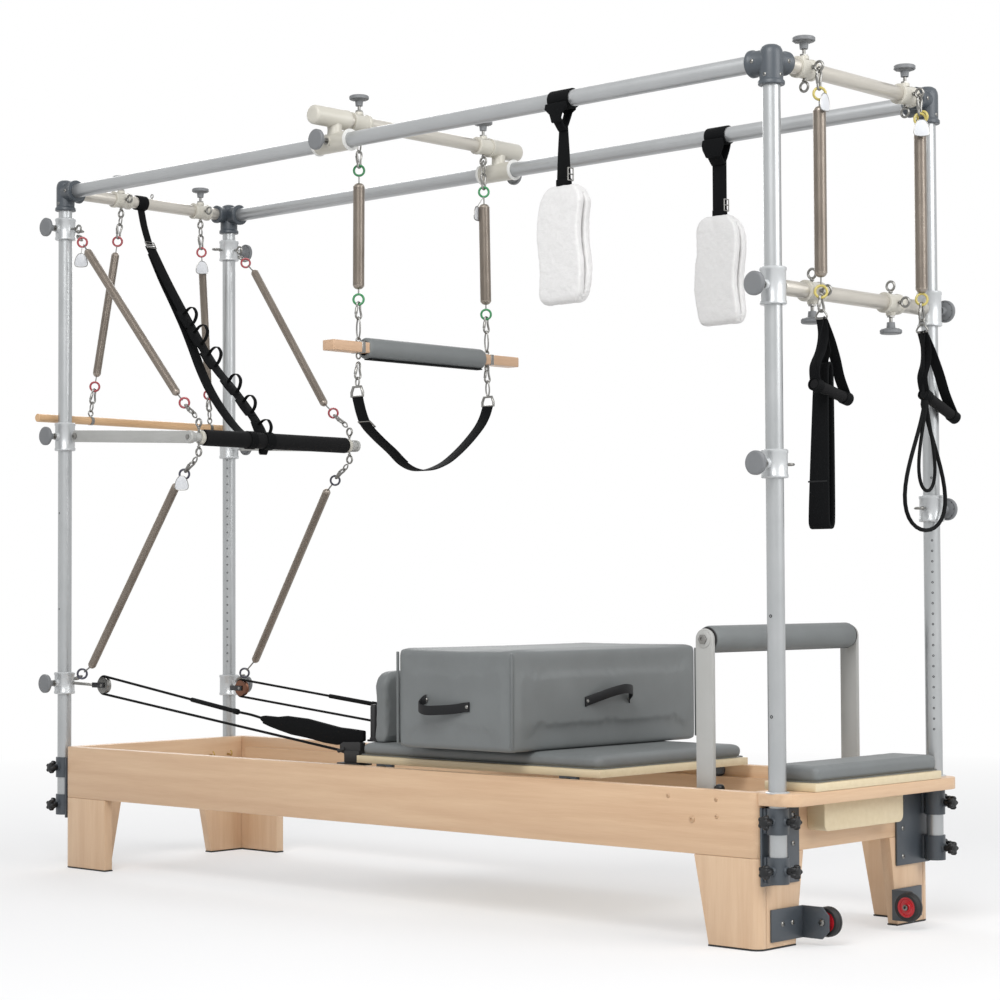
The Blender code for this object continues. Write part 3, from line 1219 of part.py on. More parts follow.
# Fleece loops that hang on the top rails
for side, tag in SIDES.items():
    x = FLEECE_X[side]
    y = side * UPRIGHT_Y
    left = x - STRAP_WIDE / 2
    right = x + STRAP_WIDE / 2
    wrap = tube_ring((left, y, RAIL_Z), (right, y, RAIL_Z), STRAP_RING_R + STRAP_THICK, STRAP_RING_R, 16)
    strap = slab(left, right, y - STRAP_HALF_THICK, y + STRAP_HALF_THICK,
                 FLEECE_TOP - FLEECE_THICK / 2, RAIL_Z - STRAP_RING_R - STRAP_THICK / 4)
    path = []
    rise = (FLEECE_TOP - FLEECE_LOW - FLEECE_THICK) / 2
    for i in range(LOOP_POINTS):
        turn = 2 * math.pi * (i + 0.5) / LOOP_POINTS
        pinch = FLEECE_WAIST + (1 - FLEECE_WAIST) * (1 - math.cos(turn)) / 2
        swing = (FLEECE_HALF - FLEECE_THICK / 2) * FLEECE_SWELL
        path.append((x + swing * math.sin(turn) * pinch, y, (FLEECE_TOP + FLEECE_LOW) / 2 + rise * math.cos(turn)))
    fleece = ribbon(path, (0, 1, 0), FLEECE_BAND, FLEECE_THICK, True)
    piece("fleece_loop_" + tag, "fleece", [wrap, strap, fleece], origin=(0, y, RAIL_Z))

# Ropes: from the cleat on the carriage, round the pulley and back to a loop on the post
WRAP_STEPS = 8
for side, tag in SIDES.items():
    y = side * PULLEY_Y
    hub_z = PULLEY_COLLAR[side] - PULLEY_DROP
    wrap_r = PULLEY_R + ROPE_R + ROPE_OFF
    angles = []
    for point, way in ((ROPE_START, -1), (ROPE_KNOT, 1)):
        run_x = point[0] - PULLEY_X
        run_z = point[1] - hub_z
        angles.append(math.atan2(run_z, run_x) + way * math.acos(wrap_r / math.hypot(run_x, run_z)))
    path = [(ROPE_START[0], y, ROPE_START[1])]
    for i in range(WRAP_STEPS + 1):
        turn = angles[0] + (angles[1] - 2 * math.pi - angles[0]) * i / WRAP_STEPS
        path.append((PULLEY_X + wrap_r * math.cos(turn), y, hub_z + wrap_r * math.sin(turn)))
    top = Vector(path[-1])
    knot = Vector((ROPE_KNOT[0], y, ROPE_KNOT[1]))
    path += [top.lerp(knot, ROPE_SLEEVE_SHARE), knot, (ROPE_LOOP_START[0], y, ROPE_LOOP_START[1])]
    radii = [ROPE_R] * (len(path) - 3) + [ROPE_SLEEVE_R, ROPE_KNOT_R, ROPE_R]
    paddle = prism(PADDLE, "y", y - PADDLE_HALF, y + PADDLE_HALF)
    cleat = slab(CLEAT_LEFT, DECK_LEFT - GAP, y - CLEAT_HALF, y + CLEAT_HALF, CLEAT_LOW, CLEAT_HIGH)
    piece("pulley_rope_" + tag, "black_webbing", [sweep(path, radii, 8), paddle, cleat])

# Ladder strap from the head crossbar down to the push bar, in two strands
ladder_top = Vector((-UPRIGHT_X + LADDER_OUT, LADDER_Y, CROSSBAR_Z - CROSSBAR_R - LADDER_DROP))
ladder_low = Vector((PUSH_END_X, LADDER_Y, PUSH_END_Z + PUSH_GRIP_R))
run = ladder_low - ladder_top
sag = Vector((run.z, 0, -run.x)).normalized()


def strand(points, end, spread):
    """A strand's points from its share along the run, its sag and its share of the sideways spread."""
    path = [tuple(ladder_top + run * share + sag * drop + Vector((0, spread * share, 0))) for share, drop in points]
    return path + [end]


def on_grip(y):
    """The point at which a strand rests on a flat of the grip."""
    reach = PUSH_GRIP_R * math.cos(math.pi / BAR_SIDES) + LADDER_REST
    turn = math.radians(LADDER_TURN)
    return (PUSH_END_X + reach * math.cos(turn), y, PUSH_END_Z + reach * math.sin(turn))


front = strand(((0.0, 0.0),) + LADDER_FRONT, on_grip(LADDER_Y), 0.0)
back = strand(LADDER_BACK, on_grip(LADDER_Y - LADDER_SPREAD), -LADDER_SPREAD)
piece("ladder_strap", "black_webbing", [
    ribbon(front, (0, 1, 0), LADDER_UPPER_WIDE, LADDER_UPPER_THICK),
    ribbon(back, (0, 1, 0), LADDER_LOWER_WIDE, LADDER_LOWER_THICK),
], origin=PUSH_ORIGIN)
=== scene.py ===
"""Looks of a reformer bed with a full tower: finishes, padding, springs, straps and fittings.

Metres, +Z up.  The head end points to -X and the foot end to +X.  "near" is the -Y side.
"""
from __future__ import annotations

import logging
import math
from dataclasses import dataclass
from enum import Enum
from typing import Callable, Optional, Sequence, Union

import bmesh
import bpy
from mathutils import Matrix, Vector


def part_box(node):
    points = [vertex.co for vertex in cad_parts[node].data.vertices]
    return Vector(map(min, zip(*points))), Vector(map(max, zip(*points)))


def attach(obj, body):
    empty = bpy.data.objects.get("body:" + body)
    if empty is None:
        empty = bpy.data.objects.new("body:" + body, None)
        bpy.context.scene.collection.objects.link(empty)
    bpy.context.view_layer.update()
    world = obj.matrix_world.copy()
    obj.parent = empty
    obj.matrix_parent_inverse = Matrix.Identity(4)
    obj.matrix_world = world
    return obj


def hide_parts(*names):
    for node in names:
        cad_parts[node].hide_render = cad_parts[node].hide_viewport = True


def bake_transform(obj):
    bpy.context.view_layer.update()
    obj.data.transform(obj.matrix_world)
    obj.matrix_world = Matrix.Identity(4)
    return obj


LOG = logging.getLogger("reformer")
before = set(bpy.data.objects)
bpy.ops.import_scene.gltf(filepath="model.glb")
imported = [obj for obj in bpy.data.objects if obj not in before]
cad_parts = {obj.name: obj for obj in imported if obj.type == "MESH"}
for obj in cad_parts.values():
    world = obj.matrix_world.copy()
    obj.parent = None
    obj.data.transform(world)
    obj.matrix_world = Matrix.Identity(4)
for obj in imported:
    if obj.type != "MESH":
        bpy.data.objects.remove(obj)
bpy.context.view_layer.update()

Point = Sequence[float]
Socket = bpy.types.NodeSocket
MM = 0.001
MERGE_DIST = 2e-6
SAME = 1e-5
SMOOTH_BELOW = math.radians(38)
DOWN = Vector((0, 0, -1))
UP = Vector((0, 0, 1))
AXIS_X = Vector((1, 0, 0))
AXIS_Y = Vector((0, 1, 0))
FACING = Vector((0.68, -0.73, 0.0))
ACROSS = Vector((0.73, 0.68, 0.0))


class Side(Enum):
    """The two long sides of the bed."""

    NEAR = -1
    FAR = 1

    @property
    def tag(self) -> str:
        """The ending of this side's names."""
        return self.name.lower()


class End(Enum):
    """The two short ends of the bed."""

    HEAD = -1
    FOOT = 1

    @property
    def tag(self) -> str:
        """The ending of this end's names."""
        return self.name.lower()


class Grain(Enum):
    """The way that wood fibres, brushing or threads run."""

    X = 0
    Y = 1
    Z = 2


# Finishes


def linear(code: str) -> tuple[float, float, float, float]:
    """Turn a screen colour into the linear colour that a shader takes.

    Args:
        code: An sRGB colour as #RRGGBB.

    Returns:
        Linear red, green and blue, and an alpha of 1.
    """
    parts = [int(code[i:i + 2], 16) / 255 for i in (1, 3, 5)]
    red, green, blue = (c / 12.92 if c <= 0.04045 else ((c + 0.055) / 1.055) ** 2.4 for c in parts)
    return red, green, blue, 1.0


def add(tree: bpy.types.NodeTree, kind: str, settings: dict, wires: Optional[dict] = None) -> bpy.types.Node:
    """Add a node with its settings and its links.

    Args:
        tree: The material's node tree.
        kind: The node's type name.
        settings: Attributes, or else input values, by name.
        wires: Output sockets by the name or number of the input that they feed.

    Returns:
        The new node.
    """
    made = tree.nodes.new(kind)
    for key, value in settings.items():
        if isinstance(key, str) and hasattr(made, key):
            setattr(made, key, value)
        else:
            made.inputs[key].default_value = value
    for key, source in (wires or {}).items():
        tree.links.new(source, made.inputs[key])
    return made


@dataclass(frozen=True)
class Finish:
    """A surface with a faint cloudy tone and a fine grit, such as powder coat or moulded plastic.

    The grit's size is in millimetres and is drawn two or three times as coarse as the real one,
    so that it still shows in a picture of the whole bed.
    """

    name: str
    light: str
    dark: str
    rough: float = 0.5
    metal: float = 0.0
    grit_mm: float = 1.5
    bump_mm: float = 0.03
    cloud_mm: float = 90.0
    coat: float = 0.0
    sheen: float = 0.0
    shine: float = 0.5

    def material(self) -> bpy.types.Material:
        """Make the material once and give it to every piece that asks.

        Returns:
            The material of this finish.
        """
        found = bpy.data.materials.get(self.name)
        if found:
            return found
        made = bpy.data.materials.new(self.name)
        made.use_nodes = True
        made.diffuse_color = linear(self.light)
        tree = made.node_tree
        shader = tree.nodes["Principled BSDF"]
        shader.inputs["Roughness"].default_value = self.rough
        shader.inputs["Metallic"].default_value = self.metal
        shader.inputs["Coat Weight"].default_value = self.coat
        shader.inputs["Sheen Weight"].default_value = self.sheen
        shader.inputs["Specular IOR Level"].default_value = self.shine
        place = add(tree, "ShaderNodeTexCoord", {}).outputs["Object"]
        tone, relief = self.pattern(tree, place)
        mixed = add(tree, "ShaderNodeMix", {"data_type": "RGBA", 6: linear(self.dark), 7: linear(self.light)},
                    {0: tone})
        tree.links.new(mixed.outputs[2], shader.inputs["Base Color"])
        bump = add(tree, "ShaderNodeBump", {"Strength": 1.0, "Distance": self.bump_mm * MM},
                   {"Height": relief})
        tree.links.new(bump.outputs[0], shader.inputs["Normal"])
        worn = add(tree, "ShaderNodeMapRange",
                   {"To Min": self.rough * 0.88, "To Max": min(self.rough * 1.12, 1.0)}, {"Value": tone})
        tree.links.new(worn.outputs[0], shader.inputs["Roughness"])
        return made

    def noise(self, tree: bpy.types.NodeTree, place: Socket, sizes_mm: Point, detail: float = 3.0) -> Socket:
        """Add noise whose patches have the given sizes.

        Args:
            tree: The material's node tree.
            place: The coordinates.
            sizes_mm: Patch sizes along X, Y and Z.
            detail: How many finer layers are added.

        Returns:
            The noise's value.
        """
        scale = tuple(1 / (size * MM) for size in sizes_mm)
        mapped = add(tree, "ShaderNodeMapping", {"Scale": scale}, {"Vector": place})
        return add(tree, "ShaderNodeTexNoise", {"Scale": 1.0, "Detail": detail},
                   {"Vector": mapped.outputs[0]}).outputs[0]

    def pattern(self, tree: bpy.types.NodeTree, place: Socket) -> tuple[Socket, Socket]:
        """Add the tone and the relief.

        Args:
            tree: The material's node tree.
            place: Object coordinates in metres.

        Returns:
            The sockets of tone and relief.
        """
        return self.noise(tree, place, (self.cloud_mm,) * 3), self.noise(tree, place, (self.grit_mm,) * 3)


@dataclass(frozen=True)
class Wood(Finish):
    """Lacquered solid maple or ash: fine fibres, a slow change of tone and faint growth rings."""

    grain: Grain = Grain.X
    coat: float = 0.12
    bump_mm: float = 0.04

    def pattern(self, tree: bpy.types.NodeTree, place: Socket) -> tuple[Socket, Socket]:
        """Add fibres that run along the grain.

        Args:
            tree: The material's node tree.
            place: Object coordinates in metres.

        Returns:
            The sockets of tone and relief.
        """
        fibre = [1.6, 1.6, 1.6]
        fibre[self.grain.value] = 60.0
        figure = [22.0, 22.0, 22.0]
        figure[self.grain.value] = 420.0
        fine = self.noise(tree, place, fibre, 2.0)
        slow = self.noise(tree, place, figure, 3.0)
        mixed = add(tree, "ShaderNodeMix", {"data_type": "FLOAT", 0: 0.30}, {2: slow, 3: fine})
        curve = add(tree, "ShaderNodeMapRange", {"From Min": 0.30, "From Max": 0.70},
                    {"Value": mixed.outputs[0]})
        return curve.outputs[0], fine


@dataclass(frozen=True)
class Plywood(Finish):
    """Pale birch plywood: a plain face, and plies that show as thin lines on its cut edges."""

    ply_mm: float = 3.0
    coat: float = 0.10
    bump_mm: float = 0.03

    def pattern(self, tree: bpy.types.NodeTree, place: Socket) -> tuple[Socket, Socket]:
        """Add plies stacked in Z, which a level face can't show.

        Args:
            tree: The material's node tree.
            place: Object coordinates in metres.

        Returns:
            The sockets of tone and relief.
        """
        height = add(tree, "ShaderNodeSeparateXYZ", {}, {0: place}).outputs[2]
        turns = add(tree, "ShaderNodeMath", {"operation": "MULTIPLY", 1: math.tau / (self.ply_mm * MM)},
                    {0: height})
        wave = add(tree, "ShaderNodeMath", {"operation": "SINE"}, {0: turns.outputs[0]})
        upward = add(tree, "ShaderNodeNewGeometry", {}).outputs["Normal"]
        level = add(tree, "ShaderNodeSeparateXYZ", {}, {0: upward}).outputs[2]
        flat = add(tree, "ShaderNodeMath", {"operation": "ABSOLUTE"}, {0: level})
        edge = add(tree, "ShaderNodeMapRange", {"To Min": 0.22, "To Max": 0.0}, {"Value": flat.outputs[0]})
        lines = add(tree, "ShaderNodeMath", {"operation": "MULTIPLY"},
                    {0: wave.outputs[0], 1: edge.outputs[0]})
        face = self.noise(tree, place, (240.0, 14.0, 14.0))
        total = add(tree, "ShaderNodeMath", {"operation": "ADD", "use_clamp": True},
                    {0: face, 1: lines.outputs[0]})
        return total.outputs[0], self.noise(tree, place, (30.0, 1.6, 1.6), 2.0)


@dataclass(frozen=True)
class Brushed(Finish):
    """Satin anodised or brushed metal: hair-fine lines that stretch the highlights."""

    grain: Grain = Grain.Z

    def pattern(self, tree: bpy.types.NodeTree, place: Socket) -> tuple[Socket, Socket]:
        """Add lines along the draw of the metal.

        Args:
            tree: The material's node tree.
            place: Object coordinates in metres.

        Returns:
            The sockets of tone and relief.
        """
        hair = [0.9, 0.9, 0.9]
        hair[self.grain.value] = 160.0
        return self.noise(tree, place, (self.cloud_mm,) * 3), self.noise(tree, place, hair, 2.0)


@dataclass(frozen=True)
class Leathery(Finish):
    """Matt upholstery vinyl: a pebbled skin over foam, with painted shade that makes it a little darker in
    its creases.
    """

    pebble_mm: float = 2.4

    def pattern(self, tree: bpy.types.NodeTree, place: Socket) -> tuple[Socket, Socket]:
        """Add pebbles with creases between them.

        Args:
            tree: The material's node tree.
            place: Object coordinates in metres.

        Returns:
            The sockets of tone and relief.
        """
        cells = add(tree, "ShaderNodeTexVoronoi",
                    {"feature": "DISTANCE_TO_EDGE", "Scale": 1000 / self.pebble_mm}, {"Vector": place})
        skin = add(tree, "ShaderNodeMapRange", {"From Max": 0.30}, {"Value": cells.outputs[0]})
        cloud = self.noise(tree, place, (self.cloud_mm,) * 3)
        # Painted shade: the crease relief also darkens the tone in the creases between pebbles.
        tone = add(tree, "ShaderNodeMix", {"data_type": "FLOAT", 0: 0.18}, {2: cloud, 3: skin.outputs[0]})
        return tone.outputs[0], skin.outputs[0]


@dataclass(frozen=True)
class Woven(Finish):
    """Woven webbing or braided cord: raised threads with painted shade in the gaps between them, drawn
    coarser than real.
    """

    thread_mm: float = 2.0
    slant: float = 0.785

    def pattern(self, tree: bpy.types.NodeTree, place: Socket) -> tuple[Socket, Socket]:
        """Add threads that cross on a slant.

        Args:
            tree: The material's node tree.
            place: Object coordinates in metres.

        Returns:
            The sockets of tone and relief.
        """
        waves = []
        for turn in (self.slant, -self.slant):
            mapped = add(tree, "ShaderNodeMapping", {"Rotation": (turn, turn, 0.0)}, {"Vector": place})
            bands = {"bands_direction": "Z", "Scale": 1000 / self.thread_mm / math.tau, "Distortion": 0.4}
            waves.append(add(tree, "ShaderNodeTexWave", bands, {"Vector": mapped.outputs[0]}).outputs[1])
        # Painted shade: the thread relief is also the tone, so the low gaps between threads take the dark
        # colour.
        threads = add(tree, "ShaderNodeMath", {"operation": "MULTIPLY"}, {0: waves[0], 1: waves[1]})
        return threads.outputs[0], threads.outputs[0]


@dataclass(frozen=True)
class Fleece(Finish):
    """Deep pile fleece: soft tufts of a few millimetres, bright with a faint sheen."""

    def pattern(self, tree: bpy.types.NodeTree, place: Socket) -> tuple[Socket, Socket]:
        """Add tufts and finer curls on them.

        Args:
            tree: The material's node tree.
            place: Object coordinates in metres.

        Returns:
            The sockets of tone and relief.
        """
        tufts = self.noise(tree, place, (9.0, 9.0, 9.0), 5.0)
        curls = self.noise(tree, place, (2.2, 2.2, 2.2), 2.0)
        both = add(tree, "ShaderNodeMix", {"data_type": "FLOAT", 0: 0.45}, {2: tufts, 3: curls})
        return both.outputs[0], both.outputs[0]


MAPLE_X = Wood("maple_along", "#D9BA98", "#C9A583", 0.42)
MAPLE_Y = Wood("maple_across", "#D9BA98", "#C9A583", 0.42, grain=Grain.Y)
MAPLE_Z = Wood("maple_upright", "#DABD9D", "#CBA988", 0.42, grain=Grain.Z)
ASH_Y = Wood("ash_rod", "#D9B48A", "#C79E72", 0.45, grain=Grain.Y)
BEECH_Y = Wood("beech_bar", "#CDAB8C", "#BD9A7A", 0.45, grain=Grain.Y)
CREAM = Plywood("cream_plywood", "#DDCEAF", "#D0BF9B", 0.45)
VINYL = Leathery("upholstery_vinyl", "#787C7C", "#676A6A", 0.58, grit_mm=2.0, bump_mm=0.05)
WELT = Finish("vinyl_welt", "#6C7070", "#5F6262", 0.6)
SLATE = Finish("slate_powder_coat", "#4B5157", "#40464C", 0.42, bump_mm=0.02)
SILVER_Z = Brushed("anodised_upright", "#B4B6B7", "#A6A9AA", 0.34, metal=0.75, bump_mm=0.008)
SILVER_X = Brushed("anodised_rail", "#B2B4B5", "#A5A7A8", 0.36, metal=0.7, bump_mm=0.008, grain=Grain.X)
CREAM_METAL = Finish("cream_powder_coat", "#C9C6BC", "#BBB7AB", 0.36, bump_mm=0.012)
CREAM_TUBE = Brushed("champagne_tube", "#C6C2BA", "#B8B3A9", 0.34, metal=0.5, bump_mm=0.006, grain=Grain.Y)
SILVER_CAST = Finish("silver_collar", "#C9CBCC", "#BABDBE", 0.32, metal=0.35, bump_mm=0.012)
ARM_GREY = Finish("grey_arm_coat", "#B1B1AE", "#A4A4A0", 0.40, bump_mm=0.012)
KNOB_GREY = Finish("moulded_grey_knob", "#7C7E80", "#6D6F71", 0.5)
STAR_BLACK = Finish("moulded_black_star", "#17181A", "#0E0F11", 0.42, shine=0.4)
RUBBER = Finish("moulded_rubber", "#1D1D1E", "#141415", 0.62, bump_mm=0.05)
FOAM = Finish("black_foam", "#161617", "#0E0E0F", 0.9, grit_mm=1.2, bump_mm=0.12, shine=0.2)
WEBBING = Woven("woven_webbing", "#121315", "#070809", 0.9, bump_mm=0.30, shine=0.12)
LEATHER = Leathery("black_leather", "#0F1013", "#08090B", 0.5, bump_mm=0.06, pebble_mm=1.6, shine=0.3)
BRAID = Woven("black_braid", "#131415", "#08090A", 0.85, bump_mm=0.35, thread_mm=1.6, shine=0.15)
SPRING = Brushed("oiled_spring_wire", "#A39A90", "#867D74", 0.34, metal=0.8, bump_mm=0.006)
CHROME = Finish("bright_plated_steel", "#8F8E8B", "#7D7C79", 0.28, metal=1.0, bump_mm=0.004)
RED_HUB = Finish("red_plastic_hub", "#C4202C", "#A81822", 0.30, coat=0.3)
BRASS_PALE = Finish("pale_screw_cap", "#C9A988", "#B08F6E", 0.4)
BRASS = Finish("yellowed_brass", "#B99C5A", "#9E8347", 0.32, metal=1.0, bump_mm=0.006)
RIM_WHITE = Finish("pale_clamp_rim", "#E6E6E3", "#DADAD6", 0.35)
COPPER = Finish("copper_sheave", "#7C5848", "#654638", 0.32, metal=1.0, bump_mm=0.006)
TAG_WHITE = Finish("white_tag", "#D5D7DA", "#C9CBCE", 0.35)
# Black plates, and also the discs of painted shade that stand for the uprights' pin holes.
PLATE_BLACK_AND_HOLE_SHADE = Finish("black_plate", "#2A2A2C", "#1E1E20", 0.45)
RINGS = {
    "red": Finish("red_ring", "#A83A42", "#8F2F37", 0.3, coat=0.3),
    "green": Finish("green_ring", "#2C8A50", "#22723F", 0.3, coat=0.3),
    "yellow": Finish("yellow_ring", "#C4B464", "#AEA052", 0.3, coat=0.3),
    "dark": Finish("dark_blue_ring", "#383849", "#2B2B3A", 0.3, coat=0.3),
}
WOOL = Fleece("white_fleece", "#E6E5E4", "#D3D2D0", 0.95, bump_mm=1.6, sheen=0.3)


# Mesh work


def toward(start: Point, direction: Point) -> Matrix:
    """Make the placement that puts local Z along a direction.

    Args:
        start: Where the local origin goes.
        direction: Where local Z points.

    Returns:
        The placement.
    """
    turn = Vector(direction).to_track_quat("Z", "Y").to_matrix().to_4x4()
    return Matrix.Translation(Vector(start)) @ turn


def rounded(points: Sequence[Point], per: int = 6, closed: bool = False) -> list[Vector]:
    """Lead a smooth line through points.

    Args:
        points: The given points.
        per: Steps from each point to the next.
        closed: Whether the line comes back to its start.

    Returns:
        Points of the smooth line.
    """
    path = [Vector(p) for p in points]
    count = len(path)
    line = []
    for i in range(count if closed else count - 1):
        if closed:
            a, b, c, d = (path[(i + k) % count] for k in (-1, 0, 1, 2))
        else:
            a, b, c, d = (path[min(max(i + k, 0), count - 1)] for k in (-1, 0, 1, 2))
        for step in range(per):
            t = step / per
            line.append(0.5 * (2 * b + (c - a) * t + (2 * a - 5 * b + 4 * c - d) * t ** 2
                               + (3 * b - a - 3 * c + d) * t ** 3))
    return line if closed else line + [path[-1]]


def spin(part: bmesh.types.BMesh, sides: int) -> None:
    """Spin a section all the way round local Z.

    Args:
        part: The mesh with the section, which becomes the body.
        sides: Facets round it.
    """
    bmesh.ops.spin(part, geom=part.verts[:] + part.edges[:], cent=(0, 0, 0), axis=(0, 0, 1), angle=math.tau,
                   steps=sides, use_merge=True)


def wire_section(part: bmesh.types.BMesh, radius: float, wire: float, facets: int) -> None:
    """Draw a wire's round section beside local Z.

    Args:
        part: The mesh that takes it.
        radius: From the axis to the wire's middle.
        wire: The wire's radius.
        facets: Facets round the wire.
    """
    place = Matrix.Translation((radius, 0, 0)) @ Matrix.Rotation(math.pi / 2, 4, "X")
    bmesh.ops.create_circle(part, segments=facets, radius=wire, matrix=place)


def hold(name: str, mesh: bpy.types.Mesh) -> bpy.types.Object:
    """Put a mesh in the scene.

    Args:
        name: The object's name.
        mesh: Its mesh.

    Returns:
        The object.
    """
    made = bpy.data.objects.new(name, mesh)
    bpy.context.scene.collection.objects.link(made)
    return made


class Shape:
    """A mesh under work: each method adds one closed body made with bmesh operators."""

    turn_facets = 12
    wire_facets = 6
    corner_facets = 6
    sharp_corner = 0.6
    strap_corner = 1.0
    strap_edge = 0.28

    def __init__(self) -> None:
        """Start empty."""
        self.mesh = bmesh.new()

    def keep(self, part: bmesh.types.BMesh, place: Optional[Matrix] = None) -> "Shape":
        """Close a body's doubles, turn its faces outwards and add it.

        Args:
            part: The body, which is freed.
            place: Where it goes.

        Returns:
            This shape.
        """
        bmesh.ops.remove_doubles(part, verts=part.verts, dist=MERGE_DIST)
        bmesh.ops.recalc_face_normals(part, faces=part.faces)
        if place is not None:
            part.transform(place)
        held = bpy.data.meshes.new("part")
        part.to_mesh(held)
        part.free()
        self.mesh.from_mesh(held)
        bpy.data.meshes.remove(held)
        return self

    def block(self, low: Point, high: Point, edge: float = 0.001, segments: int = 2) -> "Shape":
        """Add a block with eased edges.

        Args:
            low: Its lowest corner.
            high: Its highest corner.
            edge: How far the edges are eased.
            segments: Facets on each edge.

        Returns:
            This shape.
        """
        low, high = Vector(map(min, low, high)), Vector(map(max, low, high))
        part = bmesh.new()
        size = high - low
        bmesh.ops.create_cube(part, size=1.0, matrix=Matrix.Translation((low + high) / 2) @ Matrix.Diagonal(
            (size.x, size.y, size.z, 1.0)))
        bmesh.ops.bevel(part, geom=part.edges[:], offset=edge, segments=segments, profile=0.5, affect="EDGES",
                        material=-1)
        return self.keep(part)

    def rod(self, start: Point, end: Point, radius: float, edge: float = 0.0006, sides: int = 20) -> "Shape":
        """Add a round rod with eased ends.

        Args:
            start: One end of its axis.
            end: The other end.
            radius: Its radius.
            edge: How far its ends are eased.
            sides: Facets round it.

        Returns:
            This shape.
        """
        run = Vector(end) - Vector(start)
        part = bmesh.new()
        bmesh.ops.create_cone(part, cap_ends=True, segments=sides, radius1=radius, radius2=radius,
                              depth=run.length)
        bmesh.ops.translate(part, verts=part.verts, vec=(0, 0, run.length / 2))
        rims = [e for e in part.edges if abs(e.verts[0].co.z - e.verts[1].co.z) < 1e-6]
        bmesh.ops.bevel(part, geom=rims, offset=edge, segments=2, profile=0.5, affect="EDGES", material=-1)
        return self.keep(part, toward(start, run))

    def turned(self, profile: Sequence[tuple[float, float]], base: Point, direction: Point, sides: int = 32,
               closed: bool = False) -> "Shape":
        """Spin a profile about a line.

        Args:
            profile: Radius and height pairs, from axis to axis, or all round a ring's section.
            base: Where height 0 is on the line.
            direction: The line's direction.
            sides: Facets round it.
            closed: Whether the profile is a ring's section.

        Returns:
            This shape.
        """
        part = bmesh.new()
        verts = [part.verts.new((radius, 0.0, height)) for radius, height in profile]
        pairs = list(zip(verts, verts[1:] + verts[:1])) if closed else list(zip(verts, verts[1:]))
        for a, b in pairs:
            part.edges.new((a, b))
        spin(part, sides)
        return self.keep(part, toward(base, direction))

    def plate(self, outline: Sequence[Point], axis: Grain, low: float, high: float, edge: float = 0.001,
              corners: Optional[Callable[[Vector, Vector], bool]] = None,
              corner_round: float = 0.0) -> "Shape":
        """Push an outline along an axis and ease its edges.

        Args:
            outline: Pairs in the two other axes, in xyz order.
            axis: The axis that it is pushed along.
            low: Where the plate starts on that axis.
            high: Where it ends.
            edge: How far its edges are eased.
            corners: A test that picks the edges to round before the rest are eased.
            corner_round: The radius of the picked edges.

        Returns:
            This shape.
        """
        low, high = min(low, high), max(low, high)
        part = bmesh.new()
        verts = []
        for first, second in outline:
            spot = [first, second]
            spot.insert(axis.value, low)
            verts.append(part.verts.new(spot))
        face = part.faces.new(verts)
        grown = bmesh.ops.extrude_face_region(part, geom=[face])
        step = [0.0, 0.0, 0.0]
        step[axis.value] = high - low
        bmesh.ops.translate(part, verts=[v for v in grown["geom"] if isinstance(v, bmesh.types.BMVert)],
                            vec=step)
        bmesh.ops.recalc_face_normals(part, faces=part.faces)
        if corners:
            picked = [e for e in part.edges if corners(e.verts[0].co, e.verts[1].co)]
            bmesh.ops.bevel(part, geom=picked, offset=corner_round, segments=self.corner_facets, profile=0.5,
                            affect="EDGES", material=-1)
        sharp = [e for e in part.edges if e.is_manifold and e.calc_face_angle() > self.sharp_corner]
        bmesh.ops.bevel(part, geom=sharp, offset=edge, segments=2, profile=0.5, affect="EDGES", material=-1)
        return self.keep(part)

    def ring(self, centre: Point, axis: Point, radius: float, wire: float, sides: int = 24,
             section: int = 10) -> "Shape":
        """Add a round wire ring.

        Args:
            centre: Its middle.
            axis: The line that it goes round.
            radius: From the middle to the wire's middle.
            wire: The wire's radius.
            sides: Facets round the ring.
            section: Facets round the wire.

        Returns:
            This shape.
        """
        part = bmesh.new()
        wire_section(part, radius, wire, section)
        spin(part, sides)
        return self.keep(part, toward(centre, axis))

    def helix(self, top: Point, low: Point, radius: float, wire: float, turns: int) -> "Shape":
        """Wind wire round a straight line.

        Args:
            top: Where the winding starts.
            low: Where it ends.
            radius: From the line to the wire's middle.
            wire: The wire's radius.
            turns: How many turns it has.

        Returns:
            This shape.
        """
        run = Vector(low) - Vector(top)
        section = bmesh.new()
        wire_section(section, radius, wire, self.wire_facets)
        held = bpy.data.meshes.new("wire")
        section.to_mesh(held)
        section.free()
        holder = hold("wire", held)
        wind = holder.modifiers.new("wind", "SCREW")
        wind.axis = "Z"
        wind.iterations = turns
        wind.screw_offset = run.length / turns
        wind.steps = wind.render_steps = self.turn_facets
        graph = bpy.context.evaluated_depsgraph_get()
        coil = bpy.data.meshes.new_from_object(holder.evaluated_get(graph))
        part = bmesh.new()
        part.from_mesh(coil)
        bmesh.ops.holes_fill(part, edges=[e for e in part.edges if e.is_boundary])
        bpy.data.objects.remove(holder, do_unlink=True)
        bpy.data.meshes.remove(held)
        bpy.data.meshes.remove(coil)
        return self.keep(part, toward(top, run))

